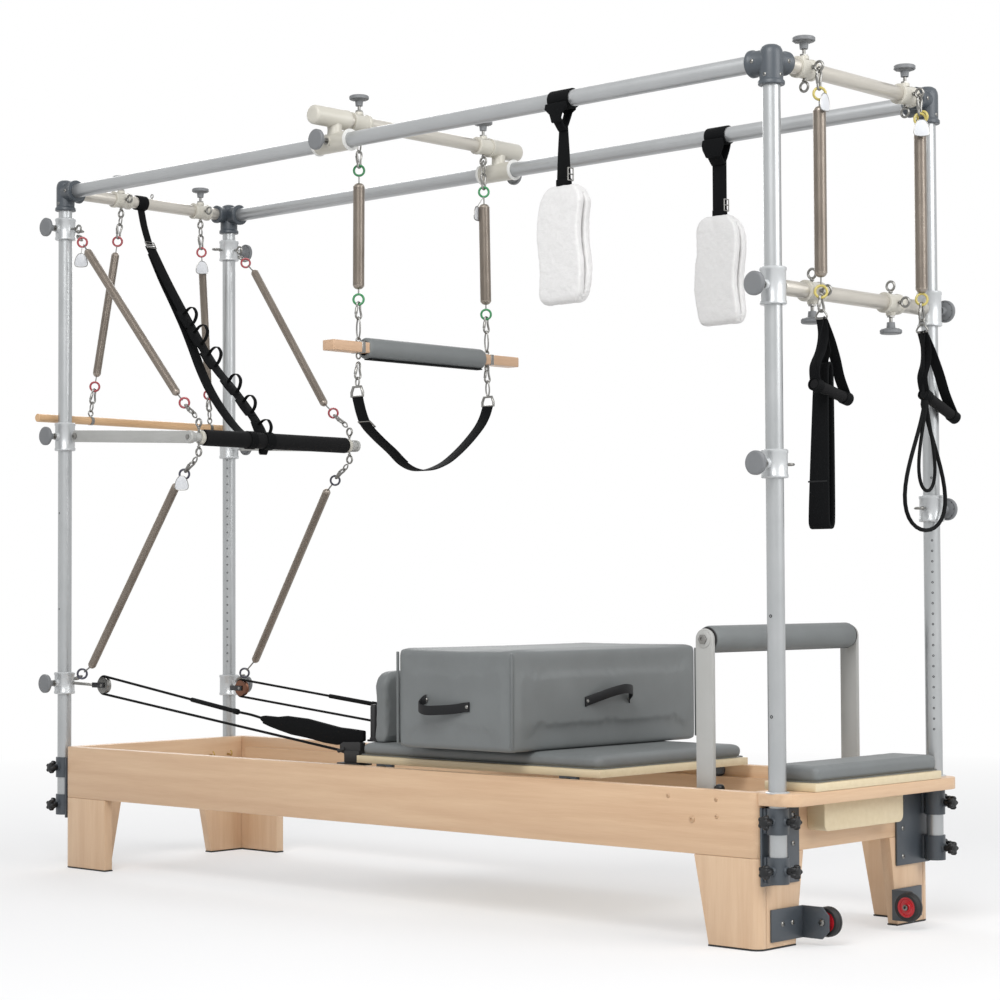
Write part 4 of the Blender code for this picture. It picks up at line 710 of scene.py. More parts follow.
    def strap(self, points: Sequence[Point], across: Point, wide: float, thick: float,
              closed: bool = False) -> "Shape":
        """Lay a flat strap along a path.

        Args:
            points: The middle line of the strap.
            across: The direction of its width.
            wide: Its width.
            thick: Its thickness.
            closed: Whether it is a loop.

        Returns:
            This shape.
        """
        part = bmesh.new()
        across = Vector(across).normalized()
        verts = [part.verts.new(Vector(p) - across * wide / 2) for p in points]
        pairs = list(zip(verts, verts[1:] + verts[:1])) if closed else list(zip(verts, verts[1:]))
        edges = [part.edges.new(pair) for pair in pairs]
        grown = bmesh.ops.extrude_edge_only(part, edges=edges)
        bmesh.ops.translate(part, verts=[v for v in grown["geom"] if isinstance(v, bmesh.types.BMVert)],
                            vec=across * wide)
        bmesh.ops.recalc_face_normals(part, faces=part.faces)
        part.normal_update()
        for vert in part.verts:
            vert.co += vert.normal * thick / 2
        bmesh.ops.solidify(part, geom=part.faces[:], thickness=thick)
        bmesh.ops.recalc_face_normals(part, faces=part.faces)
        sharp = [e for e in part.edges if e.is_manifold and e.calc_face_angle() > self.strap_corner]
        bmesh.ops.bevel(part, geom=sharp, offset=thick * self.strap_edge, segments=2, profile=0.5,
                        affect="EDGES", material=-1)
        return self.keep(part)

    def tube(self, points: Sequence[Point], radius: float, closed: bool = False,
             sections: int = 3) -> "Shape":
        """Lead a round tube along a path.

        Args:
            points: The middle line of the tube.
            radius: Its radius.
            closed: Whether it is a loop.
            sections: How round its section is.

        Returns:
            This shape.
        """
        curve = bpy.data.curves.new("route", "CURVE")
        curve.dimensions = "3D"
        curve.bevel_depth = radius
        curve.bevel_resolution = sections
        curve.use_fill_caps = True
        line = curve.splines.new("POLY")
        line.points.add(len(points) - 1)
        for spot, point in zip(line.points, points):
            spot.co = (*point, 1.0)
        line.use_cyclic_u = closed
        holder = bpy.data.objects.new("route", curve)
        held = bpy.data.meshes.new_from_object(holder)
        part = bmesh.new()
        part.from_mesh(held)
        bpy.data.objects.remove(holder, do_unlink=True)
        bpy.data.curves.remove(curve)
        bpy.data.meshes.remove(held)
        return self.keep(part)

    def done(self, name: str, finish: Finish, body: Carrier, slot: str, *nodes: str) -> bpy.types.Object:
        """Make the piece and let it ride on its body.

        Args:
            name: The piece's name.
            finish: Its finish.
            body: What carries it.
            slot: The record's material slot.
            *nodes: The CAD nodes that it stands for.

        Returns:
            The piece.
        """
        return dress(name, self.freed(name), finish, body, slot, *nodes)

    def freed(self, name: str) -> bpy.types.Mesh:
        """Turn the work into a mesh that an object can hold.

        Args:
            name: The mesh's name.

        Returns:
            The mesh.
        """
        mesh = bpy.data.meshes.new(name)
        self.mesh.to_mesh(mesh)
        self.mesh.free()
        return mesh


@dataclass(frozen=True)
class Between:
    """The two bodies of a joint that a piece spans, and where the span starts and ends; such a piece is left
    in place without a body and is not bent.
    """

    first: str
    second: str
    start: tuple[float, float, float]
    end: tuple[float, float, float]


Carrier = Union[str, Between]


def dress(name: str, mesh: bpy.types.Mesh, finish: Finish, body: Carrier, slot: str,
          *nodes: str) -> bpy.types.Object:
    """Turn a mesh into a piece with its finish and body.

    Args:
        name: The piece's name.
        mesh: Its mesh, in place.
        finish: Its finish.
        body: The CAD body that it rides on, or the two that it spans, in which case it is left in place
            without a body.
        slot: The record's material slot; not used.
        *nodes: The CAD nodes that it stands for.

    Returns:
        The piece.
    """
    mesh.name = name
    mesh.materials.clear()
    mesh.materials.append(finish.material())
    for face in mesh.polygons:
        face.use_smooth = True
    mesh.set_sharp_from_angle(angle=SMOOTH_BELOW)
    made = hold(name, mesh)
    if nodes:
        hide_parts(*nodes)
    LOG.info("%s: %d faces, %s", name, len(mesh.polygons), finish.name)
    if isinstance(body, Between):
        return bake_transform(made)
    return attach(made, body)


@dataclass
class Padding:
    """Foam under a stretched cover: a block that swells under pressure, with its rims sewn after."""

    low: Vector
    high: Vector
    corner: float = 0.020
    edge: float = 0.010
    swell: float = 0.006
    voxel: float = 0.006
    flat_base: bool = True
    pressure: float = 4.0
    frames: int = 20

    def block(self) -> bpy.types.Object:
        """Make the block that the cover starts from, a little smaller than the pad.

        Returns:
            The block as an object without a finish.
        """
        inset = Vector((self.swell, self.swell, self.swell)) * 0.5
        low = self.low + inset
        high = self.high - inset
        if self.flat_base:
            low.z = self.low.z
        shape = Shape()
        outline = [(low.x, low.y), (high.x, low.y), (high.x, high.y), (low.x, high.y)]
        shape.plate(outline, Grain.Z, low.z, high.z, self.edge,
                    lambda a, b: abs(a.z - b.z) > SAME, self.corner)
        return hold("cover", shape.freed("cover"))

    def swollen(self) -> bpy.types.Mesh:
        """Blow the cover up with a cloth simulation and hold it inside the pad's room.

        Returns:
            The pad's mesh, in place.
        """
        thing = self.block()
        remesh = thing.modifiers.new("remesh", "REMESH")
        remesh.mode = "VOXEL"
        remesh.voxel_size = self.voxel
        graph = bpy.context.evaluated_depsgraph_get()
        rest = bpy.data.meshes.new_from_object(thing.evaluated_get(graph))
        thing.modifiers.clear()
        thing.data = rest
        start = [v.co.copy() for v in rest.vertices]
        moved = start
        cloth = thing.modifiers.new("cloth", "CLOTH")
        cloth.settings.use_pressure = True
        cloth.settings.uniform_pressure_force = self.pressure
        cloth.settings.effector_weights.gravity = 0.0
        scene = bpy.context.scene
        for number in range(1, self.frames + 1):
            scene.frame_set(number)
        graph = bpy.context.evaluated_depsgraph_get()
        moved = [v.co.copy() for v in thing.evaluated_get(graph).data.vertices]
        scene.frame_set(1)
        thing.modifiers.clear()
        for vert, before, after in zip(rest.vertices, start, moved):
            step = after - before
            if step.length > self.swell:
                step *= self.swell / step.length
            spot = before + step
            for axis in range(3):
                spot[axis] = min(max(spot[axis], self.low[axis]), self.high[axis])
            if self.flat_base and before.z < self.low.z + self.voxel:
                spot.z = before.z
            vert.co = spot
        finer = thing.modifiers.new("finer", "SUBSURF")
        finer.levels = finer.render_levels = 1
        graph = bpy.context.evaluated_depsgraph_get()
        mesh = bpy.data.meshes.new_from_object(thing.evaluated_get(graph))
        bpy.data.objects.remove(thing, do_unlink=True)
        return mesh

    def rim(self, height: float, inset: float = 0.0) -> list[Vector]:
        """Walk round the pad at one height.

        Args:
            height: The height of the walk.
            inset: How far inside the pad's sides it stays.

        Returns:
            Points of a closed loop.
        """
        x0, y0 = self.low.x + inset, self.low.y + inset
        x1, y1 = self.high.x - inset, self.high.y - inset
        reach = self.corner
        loop = []
        for cx, cy, turn in ((x1 - reach, y0 + reach, -90), (x1 - reach, y1 - reach, 0),
                             (x0 + reach, y1 - reach, 90), (x0 + reach, y0 + reach, 180)):
            for step in range(7):
                angle = math.radians(turn + 15 * step)
                loop.append(Vector((cx + reach * math.cos(angle), cy + reach * math.sin(angle), height)))
        return loop


def pad_from(node: str, **settings: float) -> Padding:
    """Take a pad's room from its CAD node.

    Args:
        node: The CAD node.
        **settings: Other fields of the padding.

    Returns:
        The padding.
    """
    low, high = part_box(node)
    return Padding(low, high, **settings)


# Fittings that repeat


@dataclass(frozen=True)
class Fittings:
    """Knobs, eyes, rings, clips and springs that hang all over the tower."""

    knob_r: float = 0.029
    knob_thick: float = 0.012
    stem_r: float = 0.0075
    eye_r: float = 0.0115
    eye_wire: float = 0.0033
    ring_r: float = 0.0145
    ring_wire: float = 0.0034
    clip_wire: float = 0.0033
    clip_long: float = 0.047
    core_steps: int = 30
    coil_pitch: float = 2.06
    spokes: int = 8
    star_r: float = 0.018
    lobes: int = 5

    def knob(self, name: str, base: Point, direction: Point, reach: float, body: Carrier,
             radius: Optional[float] = None) -> None:
        """Make a grey disc knob on its threaded stem.

        Args:
            name: The start of the pieces' names.
            base: Where the stem leaves its collar.
            direction: Where the knob points.
            reach: From the base to the disc.
            body: What carries it.
            radius: The disc's radius.
        """
        size = radius or self.knob_r
        way = Vector(direction).normalized()
        disc = Vector(base) + way * reach
        thick = self.knob_thick
        profile = [(0.0, -0.018), (0.010, -0.018), (0.0115, -0.004), (size - 0.003, 0.0), (size, 0.002),
                   (size, thick - 0.003), (size - 0.0025, thick - 0.0005), (size - 0.006, thick),
                   (0.0, thick)]
        Shape().turned(profile, disc, way, 40).done(name + "_knob", KNOB_GREY, body, "black_rubber")
        place = toward(disc, way)
        back = Shape().turned([(0.011, -0.0004), (size - 0.0035, -0.0004), (size - 0.0035, 0.0006),
                               (0.011, 0.0006)], disc, way, 36, True)
        for k in range(self.spokes):
            turn = math.tau * k / self.spokes
            spoke = Vector((math.cos(turn), math.sin(turn), 0.0))
            back.rod(place @ (spoke * 0.011), place @ (spoke * (size - 0.0035)), 0.0013, 0.0003, 8)
        back.done(name + "_knob_back", PLATE_BLACK_AND_HOLE_SHADE, body, "black_rubber")
        Shape().rod(base, disc - way * 0.004, self.stem_r * 0.6).turned(
            [(0.0, 0.0), (self.stem_r * 1.4, 0.0), (self.stem_r * 1.4, 0.005), (0.0, 0.005)], base, way,
            6).done(
            name + "_stem", CHROME, body, "silver")

    def star(self, shape: Shape, base: Point, direction: Point, reach: float) -> None:
        """Add a five-lobed black hand screw.

        Args:
            shape: The shape that takes it.
            base: Where its stem starts.
            direction: Where it points.
            reach: From the base to the lobes.
        """
        radius = self.star_r
        way = Vector(direction).normalized()
        disc = Vector(base) + way * reach
        place = toward(disc, way)
        shape.rod(base, disc + way * 0.002, 0.0085, 0.001)
        shape.turned([(0.0, 0.0), (radius * 0.70, 0.0), (radius * 0.74, 0.003), (radius * 0.70, 0.013),
                      (radius * 0.45, 0.016), (0.0, 0.016)], disc, way, 24)
        for lobe in range(self.lobes):
            angle = math.tau * lobe / self.lobes
            spot = place @ Vector((math.cos(angle) * radius * 0.66, math.sin(angle) * radius * 0.66, 0.001))
            shape.turned([(0.0, 0.0), (radius * 0.30, 0.0), (radius * 0.34, 0.003), (radius * 0.32, 0.011),
                          (radius * 0.16, 0.0145), (0.0, 0.015)], spot, way, 12)

    def eye(self, shape: Shape, centre: Point, root: Point, axis: Point = (0, 1, 0)) -> None:
        """Add an eyebolt with its collar.

        Args:
            shape: The shape that takes it.
            centre: The eye's middle.
            root: Where its shank enters.
            axis: The line that the eye goes round.
        """
        centre, root = Vector(centre), Vector(root)
        way = (root - centre).normalized()
        shape.ring(centre, axis, self.eye_r, self.eye_wire)
        shape.rod(centre + way * self.eye_r, root, 0.0032)
        shape.rod(centre + way * (self.eye_r + 0.002), centre + way * (self.eye_r + 0.006), 0.0055)

    def clip(self, shape: Shape, top: Point, low: Point, across: Point = (0, 1, 0),
             wide: float = 0.011) -> None:
        """Add a pear-shaped snap clip with its gate, and a link where the gap is longer than the clip.

        Args:
            shape: The shape that takes it.
            top: The middle of its first bend.
            low: The middle of its last bend, or of the link's.
            across: The direction of its width.
            wide: Half its width at the wider end.
        """
        top, low = Vector(top), Vector(low)
        run = low - top
        side = Vector(across).normalized()
        if run.length > self.clip_long + 0.008:
            way = run.normalized()
            hook = top + way * self.clip_long
            start, bulge = hook - way * 0.005, way.cross(side) * 0.0062
            path = [start, start.lerp(low, 0.3) + bulge, start.lerp(low, 0.7) + bulge, low,
                    start.lerp(low, 0.7) - bulge, start.lerp(low, 0.3) - bulge]
            shape.tube(rounded(path, 4, True), self.clip_wire * 0.72, True)
            low, run = hook, hook - top
        narrow = wide * 0.55
        outline = [(0.0, 0.0), (0.10, narrow), (0.45, narrow * 1.1), (0.80, wide), (0.96, wide * 0.6),
                   (1.0, 0.0), (0.96, -wide * 0.6), (0.80, -wide), (0.45, -narrow * 1.1), (0.10, -narrow)]
        path = [top + run * share + side * step for share, step in outline]
        shape.tube(rounded(path, 4, True), self.clip_wire, True)
        gate = top + run * 0.72 - side * wide
        shape.rod(top + run * 0.30 - side * narrow * 1.05, gate, self.clip_wire * 1.35, 0.0006, 12)

    def link(self, name: str, colour: str, centre: Point, axis: Point, body: Carrier) -> None:
        """Make the coloured ring that tells a spring's weight.

        Args:
            name: The piece's name.
            colour: A key of RINGS.
            centre: The ring's middle.
            axis: The line that it goes round.
            body: What carries it.
        """
        ring = Shape().ring(centre, axis, self.ring_r, self.ring_wire, 28, 12)
        ring.done(name, RINGS[colour], body, "spring_steel")

    def tag(self, name: str, ring: Point, place: Point, body: Carrier, turn: float = 0.0) -> None:
        """Make a plain shield-shaped tag with its steel rim, on a thin wire from a ring.

        Args:
            name: The piece's name.
            ring: The middle of the ring that it hangs on.
            place: How far its top is to the right, out and down from there.
            body: What carries it.
            turn: How far it is turned about the upright line, in degrees.
        """
        side = Matrix.Rotation(math.radians(turn), 3, "Z") @ ACROSS
        start = Vector(ring) + Vector((0, 0, -self.ring_r)) + FACING * 0.002
        top = Vector(ring) + ACROSS * place[0] + FACING * place[1] + Vector((0, 0, -place[2]))
        outline = [(0.000, 0.0), (0.002, 0.0080), (0.012, 0.0155), (0.029, 0.0200), (0.040, 0.0165),
                   (0.0425, 0.0), (0.040, -0.0165), (0.029, -0.0200), (0.012, -0.0155), (0.002, -0.0080)]
        path = rounded([(x, y, 0.0) for x, y in outline], 3, True)
        place_at = Matrix((DOWN, side, DOWN.cross(side))).transposed().to_4x4()
        place_at.translation = top
        shape = Shape().plate([(p.x, p.y) for p in path], Grain.Z, -0.0009, 0.0009, 0.0004)
        shape.mesh.transform(place_at)
        shape.done(name, TAG_WHITE, body, "spring_steel")
        rim = Shape().tube([place_at @ p for p in path], 0.0013, True, 2)
        rim.tube([start, start.lerp(top, 0.5) + FACING * 0.002, top + DOWN * 0.002], 0.0012)
        rim.ring(top + DOWN * 0.010 + side.cross(DOWN) * 0.0006, side.cross(DOWN), 0.0030, 0.0009, 14, 8)
        rim.done(name + "_rim", CHROME, body, "spring_steel")

    def spring(self, name: str, top: Point, low: Point, radius: float, body: Carrier, wire: float = 0.0011,
               *nodes: str) -> bpy.types.Object:
        """Wind a closed spring with its two end cones and eyes.

        Args:
            name: The piece's name.
            top: The upper end of its winding.
            low: The lower end.
            radius: Its outer radius.
            body: What carries it.
            wire: The wire's radius.
            *nodes: The CAD nodes that it stands for.

        Returns:
            The spring.
        """
        top, low = Vector(top), Vector(low)
        run = (low - top).normalized()
        long = (low - top).length
        turns = int(long / (self.coil_pitch * wire))
        shape = Shape().helix(top, low, radius - wire, wire, turns)
        nose = [(0.0, 0.0), (radius * 0.34, 0.0), (radius * 0.60, 0.0018), (radius * 0.80, 0.0052),
                (radius * 0.92, 0.0090), (radius * 0.94, 0.012), (0.0, 0.012)]
        shape.turned(nose, top - run * 0.009, run, 24)
        shape.turned(nose, low + run * 0.009, -run, 24)
        shape.tube([top.lerp(low, k / self.core_steps) for k in range(self.core_steps + 1)],
                   radius - wire * 2.4)
        return shape.done(name, SPRING, body, "spring_steel", *nodes)

    def screw(self, shape: Shape, centre: Point, direction: Point, radius: float = 0.006) -> None:
        """Add a button-head screw with its hexagon socket.

        Args:
            shape: The shape that takes it.
            centre: The middle of its seat.
            direction: Where its head points.
            radius: The head's radius.
        """
        tall = radius * 0.45
        shape.turned([(0.0, -tall), (radius, -tall), (radius, tall * 0.3), (radius * 0.82, tall * 0.8),
                      (radius * 0.48, tall), (radius * 0.40, tall * 0.4), (0.0, tall * 0.4)], centre,
                     direction, 18)


FIT = Fittings()


# The bed


@dataclass(frozen=True)
class Layout:
    """Where the frame's main faces and the tower's axes are, read from the CAD nodes."""

    half_long: float
    half_wide: float
    inner: float
    top: float
    post_x: float
    post_y: float
    post_r: float = 0.0215
    cross_z: float = 2.113
    eye_drop: float = 0.044

    @classmethod
    def read(cls) -> "Layout":
        """Read the boxes of the side board, the top rail and the lower crossbar.

        Returns:
            The layout.
        """
        low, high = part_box("side_panel_near")
        rail_low, rail_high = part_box("top_rail_near")
        bar_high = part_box("lower_crossbar")[1]
        wrap = 0.033
        return cls(high.x, -low.y, -high.y, high.z, bar_high.x - wrap, -(rail_low.y + rail_high.y) / 2)


PLAN = Layout.read()


def upright_at(x: float, y: float) -> Callable[[Vector, Vector], bool]:
    """Make a test that picks the tall edge at one corner.

    Args:
        x: The corner's X, either sign.
        y: The corner's Y.

    Returns:
        The test.
    """
    def test(a: Vector, b: Vector) -> bool:
        """Tell whether an edge stands at the corner."""
        tall = abs(a.z - b.z) > SAME
        return tall and all(abs(abs(v.x) - abs(x)) < 1e-4 and abs(v.y - y) < 1e-4 for v in (a, b))
    return test


@dataclass
class WoodFrame:
    """Maple side and end boards on tapered corner legs, with thin rubber feet."""

    side_edge: float = 0.217
    end_edge: float = 0.225
    foot: float = 0.004
    seam: float = 0.0003
    corner: float = 0.025
    head_leg: float = 0.200
    foot_leg_top: float = 0.193
    foot_leg_floor: float = 0.151
    head_arch: tuple[float, float] = (0.160, 0.205)
    foot_arch: tuple[float, float] = (0.185, 0.219)
    board: float = 0.030
    spread: float = 0.0012
    screws: tuple[tuple[float, float, float], ...] = (
        (1.0645, 0.352, 0.0055), (1.2114, 0.351, 0.0055), (1.2131, 0.310, 0.0055), (1.1381, 0.299, 0.0085))

    def build(self) -> None:
        """Build the boards, legs, feet, screws and hooks, and give the tracks their finish."""
        for side in Side:
            self.side(side)
        for end in End:
            self.end(end)
        self.hooks()
        for side in Side:
            keep_node("track_" + side.tag, MAPLE_X)

    def side(self, side: Side) -> None:
        """Build one side board with its two legs.

        Args:
            side: The side.
        """
        outer = side.value * PLAN.half_wide
        inner = side.value * PLAN.inner
        long = PLAN.half_long
        test = upright_at(long, outer)
        outline = [(-long, outer), (long, outer), (long, inner), (-long, inner)]
        Shape().plate(outline, Grain.Z, self.side_edge, PLAN.top, 0.0022, test, self.corner).done(
            "side_board_" + side.tag, MAPLE_X, "frame", "maple", "side_panel_" + side.tag)
        legs = Shape()
        high = self.side_edge - self.seam
        for outline in (
                [(-long, self.foot), (self.head_leg - long, self.foot), (self.head_leg - long, high),
                 (-long, high)],
                [(long - self.foot_leg_floor, self.foot), (long, self.foot), (long, high),
                 (long - self.foot_leg_top, high)]):
            legs.plate(outline, Grain.Y, inner, outer, 0.0018, test, self.corner)
        legs.done("side_legs_" + side.tag, MAPLE_Z, "frame", "maple")
        feet = Shape()
        grow = self.spread
        for x0, x1 in ((-long, self.head_leg - long), (long - self.foot_leg_floor, long)):
            outline = [(x0 - grow * (x0 > 0), outer), (x1 + grow * (x1 < 0), outer),
                       (x1 + grow * (x1 < 0), inner - side.value * grow),
                       (x0 - grow * (x0 > 0), inner - side.value * grow)]
            feet.plate(outline, Grain.Z, 0.0, self.foot, 0.0008, test, self.corner)
        feet.done("side_feet_" + side.tag, RUBBER, "frame", "black_rubber")
        heads = Shape()
        for x, z, radius in self.screws:
            FIT.screw(heads, (x, outer, z), (0, side.value, 0), radius)
        heads.done("board_screws_" + side.tag, BRASS_PALE, "frame", "silver")

    def end(self, end: End) -> None:
        """Build one end board with its two legs.

        Args:
            end: The end.
        """
        top, floor = self.head_arch if end is End.HEAD else self.foot_arch
        half = PLAN.inner - self.seam
        outer = end.value * PLAN.half_long
        inner = end.value * (PLAN.half_long - self.board)
        outline = [(-half, self.end_edge), (half, self.end_edge), (half, PLAN.top), (-half, PLAN.top)]
        Shape().plate(outline, Grain.X, inner, outer, 0.0018).done(
            end.tag + "_board", MAPLE_Y, "frame", "maple", end.tag + "_panel")
        legs, feet = Shape(), Shape()
        high = self.end_edge - self.seam
        for side in (-1, 1):
            outline = [(side * floor, self.foot), (side * half, self.foot), (side * half, high),
                       (side * top, high)]
            legs.plate(outline, Grain.X, inner, outer, 0.0018)
            feet.block((inner - end.value * self.spread, side * (floor - self.spread), 0.0),
                       (outer, side * half, self.foot), 0.0008)
        legs.done(end.tag + "_legs", MAPLE_Z, "frame", "maple")
        feet.done(end.tag + "_feet", RUBBER, "frame", "black_rubber")

    def hooks(self) -> None:
        """Build the two small hooks inside the head board."""
        hooks = Shape()
        face = self.board - PLAN.half_long
        for y in (0.198, 0.2735):
            hooks.rod((face, y, 0.318), (face + 0.010, y, 0.318), 0.0025)
            hooks.tube(rounded([(face + 0.009, y, 0.318), (face + 0.018, y, 0.314), (face + 0.022, y, 0.322),
                                (face + 0.016, y, 0.330)], 4), 0.0022)
        hooks.done("board_hooks", BRASS, "frame", "silver")


def keep_node(name: str, finish: Finish) -> None:
    """Give a CAD node that stays as it is its finish.

    Args:
        name: The node.
        finish: Its finish.
    """
    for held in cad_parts[name].material_slots:
        held.material = finish.material()
    LOG.info("%s keeps its solid, %s", name, finish.name)


@dataclass
class FootEnd:
    """The shelf with its round corners, the pale rail below it, and the standing platform."""

    thick: float = 0.030
    corner: float = 0.045
    rail_half: float = 0.170
    rail_out: float = 0.052
    rail_drop: float = 0.073

    def build(self) -> None:
        """Build the shelf, rail, deck and pad."""
        low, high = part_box("end_shelf")
        bore = PLAN.post_r + 0.0006
        shelf = Shape()
        outline = [(low.x, low.y), (high.x, low.y), (high.x, high.y), (low.x, high.y)]
        shelf.plate(outline, Grain.Z, high.z - self.thick, high.z, 0.002,
                    lambda a, b: abs(a.z - b.z) > SAME and a.x > low.x + 0.01, self.corner)
        shelf.done("shelf_board", MAPLE_Y, "frame", "maple", "end_shelf")
        rail = Shape()
        base = high.z - self.thick
        outline = [(-self.rail_half, base - self.rail_drop), (self.rail_half, base - self.rail_drop),
                   (self.rail_half, base), (-self.rail_half, base)]
        rail.plate(outline, Grain.X, low.x, low.x + self.rail_out, 0.002,
                   lambda a, b: abs(a.x - b.x) > SAME and a.z < base - 0.01, 0.018)
        rail.done("shelf_rail", CREAM, "frame", "cream_ply")
        rims = Shape()
        for side in Side:
            at = (PLAN.post_x, side.value * PLAN.post_y, high.z)
            rims.turned([(bore, -0.001), (bore + 0.007, -0.001), (bore + 0.007, 0.0015),
                         (bore + 0.005, 0.003), (bore, 0.003)], at, UP, 40, True)
        rims.done("shelf_rims", SILVER_CAST, "frame", "silver")
        deck_low, deck_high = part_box("platform_deck")
        Shape().block(deck_low, deck_high, 0.002).done(
            "platform_ply", CREAM, "frame", "cream_ply", "platform_deck")
        pad = pad_from("platform_pad", corner=0.016, edge=0.011, swell=0.004, voxel=0.005)
        made = dress("platform_cushion", pad.swollen(), VINYL, "frame", "grey_vinyl", "platform_pad")
        Shape().tube(pad.rim(pad.low.z + 0.0025, 0.0012), 0.0012, True, 2).done(
            "platform_seam", WELT, "frame", "grey_vinyl")


@dataclass
class Tower:
    """Round aluminium uprights, slate corner castings, top rails and crossbars."""

    post_foot: float = 0.1606
    casting_low: float = 2.053
    casting_high: float = 2.150
    casting_r: float = 0.0285
    arm: float = 0.058
    rail_z: float = 2.111
    collar_r: float = 0.0325
    carrier_r: float = 0.0262
    carrier_long: float = 0.066
    upper_collar: float = 1.995
    push_collar: float = 1.340
    second_collar: tuple[float, float] = (1.150, 1.058)
    head_carriers: tuple[float, float] = (-0.118, 0.214)
    foot_carriers: tuple[float, float] = (-0.205, 0.235)
    collar_tall: float = 0.068
    hole_pitch: float = 0.0268
    knob_reach: float = 0.069
    eye_in: float = 0.0560
    eye_root: float = 0.030

    def build(self) -> None:
        """Build the uprights, castings, crossbars and their collars."""
        for end in End:
            for side in Side:
                self.post(end, side)
                self.casting(end, side)
            self.crossbar(end)
        for side in Side:
            low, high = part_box("top_rail_" + side.tag)
            y = side.value * PLAN.post_y
            Shape().rod((low.x, y, self.rail_z), (high.x, y, self.rail_z), PLAN.post_r, 0.0005, 48).done(
                "rail_tube_" + side.tag, SILVER_X, "frame", "silver", "top_rail_" + side.tag)

    def post(self, end: End, side: Side) -> None:
        """Build one upright with its collars, and black discs of painted shade for its pin holes.

        Args:
            end: Its end.
            side: Its side.
        """
        x, y = end.value * PLAN.post_x, side.value * PLAN.post_y
        name = "%s_post_%s" % (end.tag, side.tag)
        r = PLAN.post_r
        low, high = self.post_foot, self.casting_low
        wall = 0.003
        tube = Shape().turned([(r - wall, low), (r, low), (r, high), (r - wall, high)], (x, y, 0), UP, 40,
                              True)
        tube.turned([(0.0, low + 0.001), (r - wall, low + 0.001), (r - wall, low + 0.004),
                     (0.0, low + 0.004)], (x, y, 0), UP, 24)
        tube.done(name + "_tube", SILVER_Z, "frame", "silver", "upright_%s_%s" % (end.tag, side.tag))
        # The pin holes are not cut: each one is a flat black disc on the tube, painted shade for the dark
        # inside of a hole.
        hole_shade_discs = Shape()
        for z, way, size in self.hole_shade_discs(end, side):
            spot = Vector((x, y, z)) + Vector(way) * (r - 0.0004)
            hole_shade_discs.turned([(0.0, -0.001), (size, -0.001), (size, 0.0004), (size * 0.8, 0.0006), (0.0, 0.0001)],
                         spot, way, 14)
        hole_shade_discs.done(name + "_holes", PLATE_BLACK_AND_HOLE_SHADE, "frame", "black_rubber")
        if end is End.HEAD:
            self.head_collars(name, x, y, side)
        else:
            self.foot_collar(name, x, y, side)

    def head_collars(self, name: str, x: float, y: float, side: Side) -> None:
        """Build the upper collar of a head upright and the one that the push bar turns on.

        Args:
            name: The start of the pieces' names.
            x: The upright's X.
            y: The upright's Y.
            side: Its side.
        """
        way, z = side.value, self.upper_collar
        out = Vector((0, way, 0))
        self.collar(name + "_upper", (x, y, z), self.collar_tall, out, "frame")
        eyes = Shape()
        FIT.eye(eyes, (x + 0.060, y - way * 0.006, z - 0.004), (x + 0.028, y, z))
        FIT.eye(eyes, (x, y - way * self.eye_in, z), (x, y - way * self.eye_root, z), UP)
        eyes.done(name + "_eye", CHROME, "frame", "silver")
        z = self.push_collar
        self.collar(name + "_push", (x, y, z), 0.088, out, "frame")
        pivot_x = x + 0.0547
        lug_y = way * (PLAN.post_y - 0.0043)
        outline = [(x + 0.024, z - 0.016), (pivot_x, z - 0.016), (pivot_x + 0.012, z - 0.010),
                   (pivot_x + 0.016, z), (pivot_x + 0.012, z + 0.010), (pivot_x, z + 0.016),
                   (x + 0.024, z + 0.016)]
        lug = Shape().plate(outline, Grain.Y, lug_y, lug_y - way * 0.008, 0.001)
        lug.done(name + "_lug", SILVER_CAST, "frame", "champagne")
        pin = Shape().rod((pivot_x, lug_y - way * 0.014, z), (pivot_x, lug_y + way * 0.016, z), 0.0058)
        pin.turned([(0.0, 0.0), (0.010, 0.0), (0.010, 0.003), (0.007, 0.005), (0.0, 0.005)],
                   (pivot_x, way * (PLAN.post_y + 0.0045), z), (0, way, 0), 20)
        pin.done(name + "_pivot", CHROME, "frame", "silver")

    def foot_collar(self, name: str, x: float, y: float, side: Side) -> None:
        """Build the second collar of a foot upright.

        Args:
            name: The start of the pieces' names.
            x: The upright's X.
            y: The upright's Y.
            side: Its side.
        """
        way, z = side.value, self.second_collar[side is Side.FAR]
        self.collar(name + "_second", (x, y, z), self.collar_tall, Vector((0, way, 0)), "frame")
        eyes = Shape()
        FIT.eye(eyes, (x, y - way * self.eye_in, z), (x, y - way * self.eye_root, z), UP)
        eyes.done(name + "_eye", CHROME, "frame", "silver")

    def hole_shade_discs(self, end: End, side: Side) -> list[tuple[float, tuple[float, float, float], float]]:
        """List where the painted shade discs of an upright's pin holes go: height, outward direction and
        radius.

        Args:
            end: Its end.
            side: Its side.

        Returns:
            One entry for each hole.
        """
        face = (0.0, -1.0, 0.0)
        if side is Side.FAR:
            lowest, count = (0.4936, 25) if end is End.FOOT else (0.62, 26)
            return [(lowest + self.hole_pitch * k, (0.55, -0.835, 0.0), 0.0030) for k in range(count)]
        if end is End.HEAD:
            return [(1.10, face, 0.0032), (0.80, face, 0.0032)]
        return [(0.790, face, 0.0042), (0.553, face, 0.0042)]

